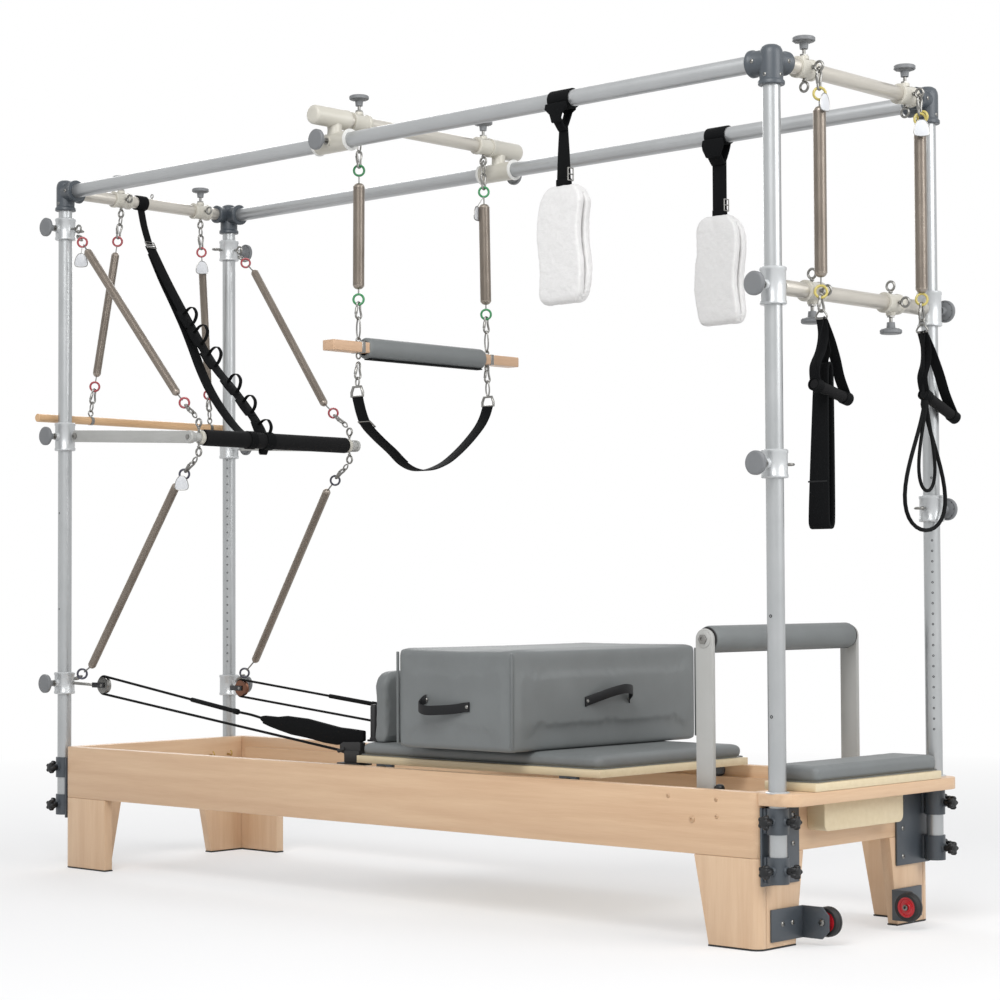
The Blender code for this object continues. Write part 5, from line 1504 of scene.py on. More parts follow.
    def collar(self, name: str, at: Point, tall: float, out: Vector, body: str) -> None:
        """Build a clamping collar with its knob.

        Args:
            name: The start of the pieces' names.
            at: Its middle.
            tall: Its height.
            out: Where its knob points.
            body: What carries it.
        """
        r = self.collar_r
        hole = PLAN.post_r + 0.0003
        half = tall / 2
        shape = Shape()
        shape.turned([(hole, -half), (r - 0.002, -half), (r, -half + 0.002), (r, -half + 0.008),
                      (r - 0.0015, -half + 0.010), (r - 0.0015, half - 0.010), (r, half - 0.008),
                      (r, half - 0.002), (r - 0.002, half), (hole, half)], at, UP, 48, True)
        base = Vector(at) + out * (r - 0.003)
        shape.turned([(0.0, 0.0), (0.0125, 0.0), (0.0115, 0.009), (0.0095, 0.010), (0.0, 0.010)], base, out,
                     24)
        shape.done(name + "_collar", SILVER_CAST, body, "champagne")
        FIT.knob(name, base + out * 0.009, out, self.knob_reach - r + 0.003 - 0.009, body)

    def casting(self, end: End, side: Side) -> None:
        """Build one three-way corner elbow.

        Args:
            end: Its end.
            side: Its side.
        """
        x, y = end.value * PLAN.post_x, side.value * PLAN.post_y
        low, high, r = self.casting_low, self.casting_high, self.casting_r
        shape = Shape()
        shape.turned([(0.0, low), (r + 0.0025, low), (r + 0.0038, low + 0.0015), (r + 0.0038, low + 0.008),
                      (r + 0.0022, low + 0.0105), (r, low + 0.013), (r, high - 0.024),
                      (r - 0.0015, high - 0.014), (r - 0.0055, high - 0.006), (r - 0.013, high - 0.0012),
                      (0.0, high)], (x, y, 0), UP, 48)
        for middle, way, radius in (((x, y, self.rail_z), (-end.value, 0, 0), 0.0298),
                                    ((x, y, PLAN.cross_z), (0, -side.value, 0), 0.0258)):
            arm = self.arm
            shape.turned([(0.0, -0.012), (radius * 0.60, -0.010), (radius * 0.88, 0.0), (radius, 0.012),
                          (radius, arm - 0.014), (radius + 0.0018, arm - 0.0115),
                          (radius + 0.0034, arm - 0.0085), (radius + 0.0034, arm - 0.0015),
                          (radius + 0.0020, arm), (0.0, arm)], middle, way, 48)
        name = "%s_casting_%s" % (end.tag, side.tag)
        shape.done(name, SLATE, "frame", "slate_metal")
        screws = Shape()
        for spot, way in (((x, y + side.value * (r - 0.0015), low + 0.022), (0, side.value, 0)),
                          ((x + end.value * (r - 0.0015), y, low + 0.022), (end.value, 0, 0)),
                          ((x - end.value * 0.036, y + side.value * 0.0296, self.rail_z), (0, side.value, 0)),
                          ((x + end.value * 0.0256, side.value * (PLAN.post_y - 0.036), PLAN.cross_z),
                           (end.value, 0, 0))):
            FIT.screw(screws, spot, way, 0.0052)
        screws.done(name + "_screws", CHROME, "frame", "silver")

    def carrier(self, name: str, at: Point, knob_way: Point, eye_ways: Sequence[Point], body: str) -> None:
        """Build a clip-on sleeve with its knob and eyes.

        Args:
            name: The start of the pieces' names.
            at: Its middle.
            knob_way: Where its knob points.
            eye_ways: Where its eyes point.
            body: What carries it.
        """
        r, half = self.carrier_r, self.carrier_long / 2
        at = Vector(at)
        way = Vector(knob_way)
        shape = Shape().turned([(0.0, -half), (r - 0.001, -half), (r, -half + 0.001), (r, -half + 0.009),
                                (r - 0.002, -half + 0.011), (r - 0.002, half - 0.011), (r, half - 0.009),
                                (r, half - 0.001), (r - 0.001, half), (0.0, half)], at, AXIS_Y, 40)
        shape.turned([(0.0, 0.0), (0.013, 0.0), (0.012, 0.008), (0.010, 0.009), (0.0, 0.009)],
                     at + way * (r - 0.004), way, 24)
        shape.done(name + "_sleeve", CREAM_METAL, body, "champagne")
        FIT.knob(name, at + way * (r + 0.004), way, 0.066 - r - 0.004, body, 0.028)
        eyes = Shape()
        for eye_way in eye_ways:
            step = Vector(eye_way)
            FIT.eye(eyes, at + step * PLAN.eye_drop, at + step * (r - 0.002))
        eyes.done(name + "_eyes", CHROME, body, "silver")

    def crossbar(self, end: End) -> None:
        """Build the crossbar at one end with its two carriers.

        Args:
            end: The end.
        """
        x = end.value * PLAN.post_x
        half = PLAN.post_y - 0.030
        bar = Shape().rod((x, -half, PLAN.cross_z), (x, half, PLAN.cross_z), 0.019, 0.0005, 40)
        for y in (-0.03, 0.07):
            bar.turned([(0.0, 0.0), (0.004, 0.0), (0.003, 0.0015), (0.0, 0.002)],
                       (x, y, PLAN.cross_z + 0.0185), UP, 12)
        bar.done(end.tag + "_cross_tube", CREAM_TUBE, "frame", "champagne", end.tag + "_crossbar")
        places, ways = ((self.head_carriers, [DOWN, AXIS_X]) if end is End.HEAD
                        else (self.foot_carriers, [AXIS_X, DOWN]))
        for side, y in zip(Side, places):
            self.carrier("%s_carrier_%s" % (end.tag, side.tag), (x, y, PLAN.cross_z), UP, ways, "frame")
        if end is End.HEAD:
            small = Shape().ring((x, 0.009, PLAN.cross_z + 0.028), AXIS_Y, 0.006, 0.0018)
            small.rod((x, 0.009, PLAN.cross_z + 0.017), (x, 0.009, PLAN.cross_z + 0.0225), 0.0024)
            small.done("head_cross_eyelet", CHROME, "frame", "silver")


TOWER = Tower()


@dataclass
class PostClamps:
    """Slate plates with two sleeves each, which hold the uprights to the end boards."""

    spans: tuple[tuple[float, float], ...] = ((0.160, 0.223), (0.276, 0.338))
    plate: float = 0.006
    wide: float = 0.150
    low: float = 0.152
    high: float = 0.338
    sleeve_r: float = 0.0262

    def build(self) -> None:
        """Build the four clamps."""
        for end in End:
            for side in Side:
                self.clamp(end, side)

    def clamp(self, end: End, side: Side) -> None:
        """Build one clamp.

        Args:
            end: Its end.
            side: Its side.
        """
        x, y = end.value * PLAN.post_x, side.value * PLAN.post_y
        face = end.value * (PLAN.half_long + 0.0003)
        edge = side.value * (PLAN.half_wide - 0.006)
        inner = edge - side.value * self.wide
        shape, stars, bolts = Shape(), Shape(), Shape()
        shape.block((face, edge, self.low), (face + end.value * self.plate, inner, self.high), 0.0012)
        hole = PLAN.post_r + 0.0003
        for low, high in self.spans:
            shape.turned([(hole, low), (self.sleeve_r, low), (self.sleeve_r, high), (hole, high)], (x, y, 0),
                         UP, 40, True)
            shape.block((face + end.value * 0.002, y - 0.016, low + 0.001),
                        (x - end.value * 0.0235, y + 0.016, high - 0.001), 0.002)
            middle = (low + high) / 2
            for way in (Vector((end.value, 0, 0)), Vector((0, side.value, 0))):
                start = Vector((x, y, middle)) + way * (self.sleeve_r - 0.002)
                shape.turned([(0.0, 0.0), (0.0115, 0.0), (0.0105, 0.006), (0.0, 0.006)], start, way, 20)
                FIT.star(stars, start + way * 0.005, way, 0.0155)
        name = "%s_clamp_%s" % (end.tag, side.tag)
        shape.done(name, SLATE, "frame", "slate_metal", "upright_clamp_%s_%s" % (end.tag, side.tag))
        stars.done(name + "_screws", STAR_BLACK, "frame", "black_rubber")
        bolt_y = inner + side.value * 0.026
        for z in (self.low + 0.022, (self.low + self.high) / 2, self.high - 0.022):
            FIT.screw(bolts, (face + end.value * self.plate, bolt_y, z), (end.value, 0, 0), 0.006)
        bolts.done(name + "_bolts", CHROME, "frame", "silver")


@dataclass
class TransportWheels:
    """Two small wheels with red hubs on bent slate brackets."""

    x: float = 1.3975
    z: float = 0.057
    radius: float = 0.0365
    flange_y: float = 0.195
    thick: float = 0.005
    low: float = 0.017
    high: float = 0.094
    plate_wide: float = 0.128
    nose: float = 0.0185

    def build(self) -> None:
        """Build both wheels."""
        for side in Side:
            self.bracket(side)
            self.wheel(side)

    def bracket(self, side: Side) -> None:
        """Build one bent bracket with its axle.

        Args:
            side: Its side.
        """
        way = side.value
        face = PLAN.half_long + 0.0003
        y = way * self.flange_y
        nose = self.x + self.nose
        shape = Shape().block((face, y + way * self.plate_wide, self.low), (face + self.thick, y, self.high),
                              0.001)
        shape.plate([(face, self.low), (nose - 0.020, self.low), (nose, self.low + 0.020),
                     (nose, self.high - 0.020), (nose - 0.020, self.high), (face, self.high)], Grain.Y,
                    y - self.thick / 2, y + self.thick / 2, 0.001)
        shape.done("wheel_bracket_plate_" + side.tag, SLATE, "frame", "slate_metal",
                   "wheel_bracket_" + side.tag)
        metal = Shape().rod((self.x, y + way * 0.004, self.z),
                            (self.x, way * (self.flange_y - 0.0390), self.z), 0.0038)
        metal.turned([(0.0, 0.0), (0.0085, 0.0), (0.0085, 0.004), (0.006, 0.0055), (0.0, 0.0055)],
                     (self.x, y + way * 0.0025, self.z), (0, way, 0), 6)
        metal.turned([(0.0, 0.0), (0.0075, 0.0), (0.0070, 0.003), (0.004, 0.0045), (0.0, 0.0045)],
                     (self.x, way * (self.flange_y - 0.0345), self.z), (0, -way, 0), 20)
        metal.turned([(0.0, 0.0), (0.0065, 0.0), (0.0065, 0.0055), (0.0, 0.0055)],
                     (self.x, y - way * 0.0025, self.z), (0, -way, 0), 20)
        for step in (0.045, 0.085):
            FIT.screw(metal, (face + self.thick, y + way * step, self.z), (1, 0, 0), 0.0062)
        metal.done("wheel_axle_" + side.tag, CHROME, "frame", "silver")

    def wheel(self, side: Side) -> None:
        """Build one wheel: a ribbed tyre on a dished red hub.

        Args:
            side: Its side.
        """
        low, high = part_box("wheel_" + side.tag)
        start = low.y
        long = high.y - low.y
        r = self.radius
        tyre = [(r - 0.011, 0.001), (r - 0.004, 0.0), (r - 0.001, 0.003), (r, 0.007), (r, 0.011),
                (r - 0.0012, 0.0117), (r - 0.0012, 0.0133), (r, 0.014), (r, 0.018), (r - 0.001, 0.022),
                (r - 0.004, long), (r - 0.011, long - 0.001)]
        body = side.tag + "_wheel"
        Shape().turned(tyre, (self.x, start, self.z), AXIS_Y, 48, True).done(
            "tyre_" + side.tag, RUBBER, body, "black_rubber", "wheel_" + side.tag)
        hub = [(0.0045, 0.001), (0.010, 0.001), (0.012, 0.004), (0.019, 0.0055), (0.022, 0.002),
               (r - 0.0112, 0.002), (r - 0.0112, long - 0.002), (0.022, long - 0.002), (0.019, long - 0.0055),
               (0.012, long - 0.004), (0.010, long - 0.001), (0.0045, long - 0.001)]
        Shape().turned(hub, (self.x, start, self.z), AXIS_Y, 40, True).done(
            "hub_" + side.tag, RED_HUB, body, "black_rubber")


@dataclass
class Pulleys:
    """Low head collars with a small sheave each for the carriage ropes."""

    heights: tuple[float, float] = (0.569, 0.541)
    out: float = 0.1277
    inward: float = 0.0556
    radius: float = 0.0225

    def build(self) -> None:
        """Build both collars and their pulleys."""
        for side, z in zip(Side, self.heights):
            x, y = -PLAN.post_x, side.value * PLAN.post_y
            name = "pulley_" + side.tag
            TOWER.collar(name, (x, y, z), TOWER.collar_tall, Vector((0, side.value, 0)), "frame")
            hub = Vector((x + self.out, y - side.value * self.inward, z - 0.006))
            Shape().turned([(0.005, -0.008), (self.radius + 0.003, -0.008), (self.radius + 0.003, -0.0055),
                            (self.radius, -0.003), (self.radius, 0.003), (self.radius + 0.003, 0.0055),
                            (self.radius + 0.003, 0.008), (0.005, 0.008)], hub, AXIS_Y, 40, True).done(
                name + "_sheave", COPPER if side is Side.FAR else CHROME, "frame", "champagne",
                "pulley_collar_" + side.tag)
            cheeks = Shape()
            for step in (-0.0105, 0.0105):
                cheeks.block((hub.x - 0.047, hub.y + step - 0.0012, hub.z - 0.008),
                             (hub.x + 0.010, hub.y + step + 0.0012, hub.z + 0.008), 0.0008)
            cheeks.done(name + "_cheeks", PLATE_BLACK_AND_HOLE_SHADE, "frame", "black_rubber")
            metal = Shape().rod((hub.x, hub.y - 0.014, hub.z), (hub.x, hub.y + 0.014, hub.z), 0.005)
            metal.block((hub.x - 0.048, hub.y - 0.0095, hub.z - 0.007),
                        (hub.x - 0.038, hub.y + 0.0095, hub.z + 0.007), 0.001)
            metal.rod((x + 0.028, y - side.value * 0.012, z), (hub.x - 0.043, hub.y, hub.z), 0.0048)
            metal.done(name + "_fork", CHROME, "frame", "silver")


@dataclass
class Carriage:
    """The rolling deck with its pad, shoulder rests, rope posts and cleats."""

    deck_thick: float = 0.020
    roller_xs: tuple[float, float] = (0.020, 0.690)
    roller_r: float = 0.017
    roller_z: float = 0.3573
    half: float = 0.310
    post_y: float = 0.258
    post_x: float = -0.069
    cleat_y: float = 0.283

    def build(self) -> None:
        """Build the deck, rollers, pad, rests, posts and cleats."""
        low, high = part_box("carriage_deck")
        deck = Shape().block((low.x, -self.half, high.z - self.deck_thick), (high.x, self.half, high.z),
                             0.0015)
        deck.done("carriage_ply", CREAM, "carriage", "cream_ply", "carriage_deck")
        arms, rollers = Shape(), Shape()
        for x in self.roller_xs:
            for way in (-1, 1):
                arms.block((x - 0.030, way * (self.half - 0.014), self.roller_z - 0.008),
                           (x + 0.030, way * (self.half - 0.002), high.z - self.deck_thick), 0.001)
                rollers.turned([(0.0, 0.0), (self.roller_r - 0.001, 0.0), (self.roller_r, 0.001),
                                (self.roller_r, 0.022), (self.roller_r - 0.001, 0.023), (0.0, 0.023)],
                               (x, way * (self.half - 0.002), self.roller_z), (0, way, 0), 28)
        arms.done("roller_arms", SLATE, "carriage", "slate_metal")
        rollers.done("rollers", RUBBER, "carriage", "black_rubber")
        pad = pad_from("carriage_pad", corner=0.022, edge=0.012, swell=0.004, voxel=0.008)
        made = dress("carriage_cushion", pad.swollen(), VINYL, "carriage", "grey_vinyl", "carriage_pad")
        Shape().tube(pad.rim(pad.low.z + 0.0025, 0.0012), 0.0012, True, 2).done(
            "carriage_seam", WELT, "carriage", "grey_vinyl")
        for side in Side:
            self.rest(side)

    def rest(self, side: Side) -> None:
        """Build one shoulder rest with its post and cleat.

        Args:
            side: Its side.
        """
        low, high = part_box("shoulder_rest_" + side.tag)
        room = Rest(Vector((-0.045, low.y, low.z)), Vector((0.001, high.y, high.z)), corner=0.045, edge=0.009,
                    swell=0.004, voxel=0.005)
        made = dress("rest_cushion_" + side.tag, room.swollen(), VINYL, "carriage", "grey_vinyl",
                     "shoulder_rest_" + side.tag)
        y = side.value * self.post_y
        black = Shape().turned([(0.0, 0.0), (0.0105, 0.0), (0.0105, 0.096), (0.0075, 0.102), (0.0, 0.104)],
                               (self.post_x, y, low.z), UP, 28)
        black.turned([(0.0, 0.0), (0.0125, 0.0), (0.0125, 0.010), (0.0105, 0.012), (0.0, 0.012)],
                     (self.post_x, y, low.z), UP, 28)
        black.block((self.post_x - 0.014, y - 0.014, low.z), (-0.043, y + 0.014, low.z + 0.006), 0.0015)
        black.done("rope_post_" + side.tag, RUBBER, "carriage", "black_rubber")
        y = side.value * self.cleat_y
        cleat = Shape().block((-0.176, y - 0.018, 0.3680), (-0.0700, y + 0.018, 0.3735), 0.0015)
        cleat.block((-0.150, y - 0.016, 0.3725), (-0.0885, y + 0.016, 0.4080), 0.004)
        cleat.plate([(-0.172, 0.4020), (-0.150, 0.3960), (-0.094, 0.3980), (-0.0880, 0.4100),
                     (-0.0880, 0.4300), (-0.096, 0.4330), (-0.160, 0.4300), (-0.172, 0.4230)], Grain.Y,
                    y - 0.011, y + 0.011, 0.003)
        for step in (-0.010, 0.010):
            cleat.rod((-0.178, y + step, 0.404), (-0.150, y + step, 0.411), 0.0055, 0.002)
        cleat.done("cleat_" + side.tag, RUBBER, "carriage", "black_rubber")


class Rest(Padding):
    """A padded stand-up block with a rounded top."""

    def block(self) -> bpy.types.Object:
        """Make the block that the cover starts from.

        Returns:
            The block as an object without a finish.
        """
        inset = self.swell * 0.5
        low = self.low + Vector((inset, inset, 0.0))
        high = self.high - Vector((inset, inset, inset))
        shape = Shape()
        outline = [(low.y, low.z), (high.y, low.z), (high.y, high.z), (low.y, high.z)]
        shape.plate(outline, Grain.X, low.x, high.x, self.edge,
                    lambda a, b: abs(a.x - b.x) > SAME and a.z > low.z + 0.01, self.corner)
        return hold("cover", shape.freed("cover"))


@dataclass
class SittingBox:
    """The long padded box with a leather grip on two faces."""

    grip_wide: float = 0.0255
    grip_thick: float = 0.004

    def build(self) -> None:
        """Build the box, its seams and its grips."""
        pad = pad_from("sitting_box", corner=0.016, edge=0.010, swell=0.005, voxel=0.009)
        made = dress("box_cushion", pad.swollen(), VINYL, "box", "grey_vinyl", "sitting_box")
        seams = Shape()
        for x, way_x in ((pad.low.x, 1), (pad.high.x, -1)):
            for y, way_y in ((pad.low.y, 1), (pad.high.y, -1)):
                at = (x + way_x * 0.0075, y + way_y * 0.0075)
                seams.rod((*at, pad.low.z + 0.010), (*at, pad.high.z - 0.010), 0.0042, 0.001, 12)
        seams.done("box_seams", WELT, "box", "grey_vinyl")
        near = [(0.268, pad.low.y - 0.0030, 0.566), (0.262, pad.low.y - 0.012, 0.560),
                (0.263, pad.low.y - 0.026, 0.546), (0.290, pad.low.y - 0.031, 0.538),
                (0.335, pad.low.y - 0.024, 0.539), (0.380, pad.low.y - 0.010, 0.543),
                (0.404, pad.low.y - 0.0030, 0.547), (0.424, pad.low.y - 0.0026, 0.549)]
        face = pad.high.x
        foot = [(face + 0.0026, -0.104, 0.556), (face + 0.0034, -0.088, 0.560), (face + 0.016, -0.062, 0.569),
                (face + 0.032, -0.020, 0.582), (face + 0.040, 0.020, 0.588), (face + 0.034, 0.054, 0.582),
                (face + 0.012, 0.068, 0.568), (face + 0.0030, 0.078, 0.558)]
        for name, path in (("box_grip_near", near), ("box_grip_foot", foot)):
            Shape().strap(rounded(path, 5), UP, self.grip_wide, self.grip_thick).done(
                name, LEATHER, "box", "black_webbing")
        rivets = Shape()
        for spot, way in (((0.4157, pad.low.y - 0.0045, 0.549), (0, -1, 0)),
                          ((0.268, pad.low.y - 0.0045, 0.564), (0, -1, 0)),
                          ((face + 0.0045, -0.0962, 0.558), (1, 0, 0)),
                          ((face + 0.0045, 0.0758, 0.558), (1, 0, 0))):
            rivets.turned([(0.0, -0.003), (0.0050, -0.003), (0.0050, 0.0), (0.0036, 0.0016), (0.0, 0.0020)],
                          spot, way, 18)
        rivets.done("box_rivets", CHROME, "box", "silver")


@dataclass
class Footbar:
    """Two flat oval arms, a padded roll between them, and the lock knob."""

    x: float = 1.1365
    low: float = 0.330
    high: float = 0.732
    arm_y: float = 0.307
    thick: float = 0.014
    half: float = 0.026
    roll_r: float = 0.033

    def build(self) -> None:
        """Build the arms, roll, bosses and knob."""
        arms, metal, black = Shape(), Shape(), Shape()
        for side in (-1, 1):
            outline = []
            for z, start in ((self.low, 180), (self.high, 0)):
                turns = [math.radians(start + 15 * k) for k in range(13)]
                outline += [(self.x + self.half * math.cos(turn), z + self.half * math.sin(turn))
                            for turn in turns]
            y = side * self.arm_y
            arms.plate(outline, Grain.Y, y - self.thick / 2, y + self.thick / 2, 0.0035)
            face = y + side * self.thick / 2
            arms.turned([(0.0, -0.001), (0.021, -0.001), (0.021, 0.0015), (0.019, 0.003), (0.0, 0.003)],
                        (self.x, face, self.high), (0, side, 0), 36)
            metal.turned([(0.0, 0.0), (0.013, 0.0), (0.013, 0.0035), (0.0115, 0.005), (0.006, 0.005),
                          (0.0055, 0.002), (0.0, 0.002)], (self.x, face + side * 0.0025, self.high),
                         (0, side, 0), 6)
            metal.rod((self.x, y, self.low), (self.x, side * 0.318, self.low), 0.0058)
            black.turned([(0.0, 0.0), (0.029, 0.0), (0.030, 0.001), (0.030, 0.0018), (0.0, 0.0018)],
                         (self.x, y - side * self.thick / 2, self.high), (0, -side, 0), 36)
        tube = Shape().rod((self.x, -self.arm_y, self.high), (self.x, self.arm_y, self.high), 0.0138, 0.0005,
                           32)
        tube.done("footbar_tube", SILVER_CAST, "footbar", "silver", "footbar_frame")
        arms.done("footbar_arms", ARM_GREY, "footbar", "silver")
        metal.done("footbar_bolts", CHROME, "footbar", "silver")
        black.done("footbar_washers", RUBBER, "footbar", "black_rubber")
        reach = self.arm_y - self.thick / 2 - 0.002
        roll = Shape().turned(roll_profile(self.roll_r, 0.0143, 2 * reach), (self.x, -reach, self.high),
                              AXIS_Y, 48, True)
        made = roll.done("footbar_padding", VINYL, "footbar", "grey_vinyl", "footbar_roll")
        under = self.high - self.roll_r + 0.0004
        seam = Shape().rod((self.x + 0.006, -reach + 0.006, under), (self.x + 0.006, reach - 0.006, under),
                           0.0011, 0.0004, 8)
        seam.done("footbar_seam", WELT, "footbar", "grey_vinyl")
        knob = Shape().rod((self.x + 0.020, -0.3045, 0.372), (self.x + 0.034, -0.3045, 0.372), 0.005)
        knob.turned([(0.0, 0.0), (0.0092, 0.0), (0.0105, 0.004), (0.0095, 0.014), (0.007, 0.017),
                     (0.0, 0.017)], (self.x + 0.032, -0.3045, 0.372), AXIS_X, 20)
        knob.done("footbar_lock", STAR_BLACK, "footbar", "black_rubber")


def roll_profile(radius: float, bore: float, long: float) -> list[tuple[float, float]]:
    """Shape a padded roll's section: a full middle and soft shoulders.

    Args:
        radius: Its outer radius.
        bore: The radius of its bore.
        long: Its length.

    Returns:
        Radius and height pairs round the section.
    """
    shoulder = [(radius - 0.010 + 0.010 * math.sin(math.radians(a)),
                 0.010 - 0.010 * math.cos(math.radians(a)))
                for a in range(0, 91, 15)]
    middle = [(radius, long * share) for share in (0.25, 0.5, 0.75)]
    return [(bore, 0.0)] + shoulder + middle + [(r, long - h) for r, h in reversed(shoulder)] + [(bore, long)]


# What hangs on the tower


@dataclass
class PushBar:
    """Two flat arms with a foam grip, four springs, and their rings, clips and tags."""

    pivot: tuple[float, float] = (-1.318, 1.340)
    end: tuple[float, float] = (-0.760, 1.312)
    arm: float = 0.008
    half: float = 0.0185
    grip_half: float = 0.292
    grip_r: float = 0.0245
    eye_y: float = 0.310
    rise: float = 0.044
    spring_r: float = 0.0132
    upper: tuple[tuple[float, float, float], ...] = (
        (-1.3140, 0.3325, 1.9720), (-1.250, 0.345, 1.911), (-0.871, 0.304, 1.453), (-0.770, 0.310, 1.3690))
    lower_far: tuple[tuple[float, float, float], ...] = (
        (-1.3267, 0.332, 0.551), (-1.238, 0.336, 0.626), (-0.865, 0.310, 1.170), (-0.768, 0.310, 1.2560))
    lower_near: tuple[tuple[float, float, float], ...] = (
        (-1.3267, 0.332, 0.579), (-1.238, 0.336, 0.626), (-0.865, 0.310, 1.170), (-0.768, 0.310, 1.2560))

    def build(self) -> None:
        """Build the arms, grip, caps, eyes and springs."""
        arms, metal, caps = Shape(), Shape(), Shape()
        x, z = self.end
        tilt = math.atan2(z - self.pivot[1], x - self.pivot[0])
        for side in (-1, 1):
            y = side * PLAN.post_y
            outline = []
            for (cx, cz), start in ((self.pivot, 90), (self.end, -90)):
                turns = [math.radians(start + 15 * k) + tilt for k in range(13)]
                outline += [(cx + self.half * math.cos(turn), cz + self.half * math.sin(turn))
                            for turn in turns]
            arms.plate(outline, Grain.Y, y - self.arm / 2, y + self.arm / 2, 0.0015)
            if side < 0:
                arms.turned([(0.0, 0.0), (0.0195, 0.0), (0.0195, 0.008), (0.017, 0.0105), (0.0, 0.011)],
                            (x, y - self.arm / 2 + 0.001, z), -AXIS_Y, 32)
                metal.turned([(0.0, 0.0), (0.0075, 0.0), (0.0075, 0.004), (0.0, 0.0045)],
                             (x, y - 0.0135, z), -AXIS_Y, 6)
            caps.turned([(0.0144, 0.0), (0.0195, 0.0), (0.0208, 0.002), (0.0208, 0.010), (0.0195, 0.012),
                         (0.0144, 0.012)], (x, side * (self.grip_half + 0.004), z), (0, side, 0), 36, True)
            stud_y = side * (self.grip_half + 0.010)
            metal.rod((x, stud_y, z - 0.0225), (x, stud_y, z + 0.0225), 0.0070, 0.001, 16)
            for way in (-1, 1):
                FIT.eye(metal, (x, side * self.eye_y, z + way * self.rise),
                        (x, side * self.eye_y, z + way * 0.010))
        arms.rod((x, -PLAN.post_y, z), (x, PLAN.post_y, z), 0.0138, 0.0005, 28)
        arms.done("push_bar_arms", ARM_GREY, "push_bar", "champagne", "push_bar_frame")
        caps.done("push_bar_caps", CREAM_METAL, "push_bar", "champagne")
        metal.done("push_bar_eyes", CHROME, "push_bar", "silver")
        half = self.grip_half
        grip = [(0.0145, 0.0), (self.grip_r - 0.003, 0.0), (self.grip_r, 0.003), (self.grip_r, half),
                (self.grip_r, 2 * half - 0.003), (self.grip_r - 0.003, 2 * half), (0.0145, 2 * half)]
        Shape().turned(grip, (x, -half, z), AXIS_Y, 44, True).done(
            "push_bar_foam", FOAM, "push_bar", "black_rubber", "push_bar_grip")
        for side in Side:
            self.spring(side, "upper", self.upper)
            self.spring(side, "lower", self.lower_far if side is Side.FAR else self.lower_near)

    def spring(self, side: Side, level: str, points: Sequence[Point]) -> None:
        """Build one spring between a collar and the bar.

        Args:
            side: Its side.
            level: upper or lower.
            points: Its start, the two ends of its winding and its end.
        """
        start, top, low, end = (Vector((p[0], p[1] * side.value, p[2])) for p in points)
        name = "push_%s_%s" % (level, side.tag)
        carried = Between("frame", "push_bar", tuple(start), tuple(end))
        FIT.spring(name + "_coil", top, low, self.spring_r, carried, 0.00115,
                   "push_spring_%s_%s" % (level, side.tag))
        run = (low - top).normalized()
        is_upper = level == "upper"
        colour = "red" if is_upper else "dark"
        up = 1 if is_upper else -1
        hooks = Shape()
        ring_top = start.lerp(top, 0.42)
        ring_low = low.lerp(end, 0.40)
        for tip, centre in ((top, ring_top), (low, ring_low)):
            way = (centre - tip).normalized()
            hooks.rod(tip - way * 0.006, centre - way * (FIT.ring_r - 0.001), 0.0024, 0.0004, 12)
        FIT.clip(hooks, ring_low + run * 0.008, end + Vector((0, 0, 0.004 * up)), AXIS_Y, 0.0085)
        FIT.clip(hooks, ring_top - run * 0.008, start + Vector((0.002, 0, -0.002 * up)), AXIS_Y, 0.0085)
        hooks.done(name + "_clips", CHROME, carried, "spring_steel")
        FIT.link(name + "_ring_top", colour, ring_top, FACING, carried)
        FIT.link(name + "_ring_low", colour, ring_low, FACING, carried)
        if side is Side.NEAR:
            spot, place = ((ring_top, (-0.003, 0.006, 0.036)) if is_upper
                           else (ring_low, (-0.006, 0.018, 0.006)))
            FIT.tag(name + "_tag", spot, place, carried)


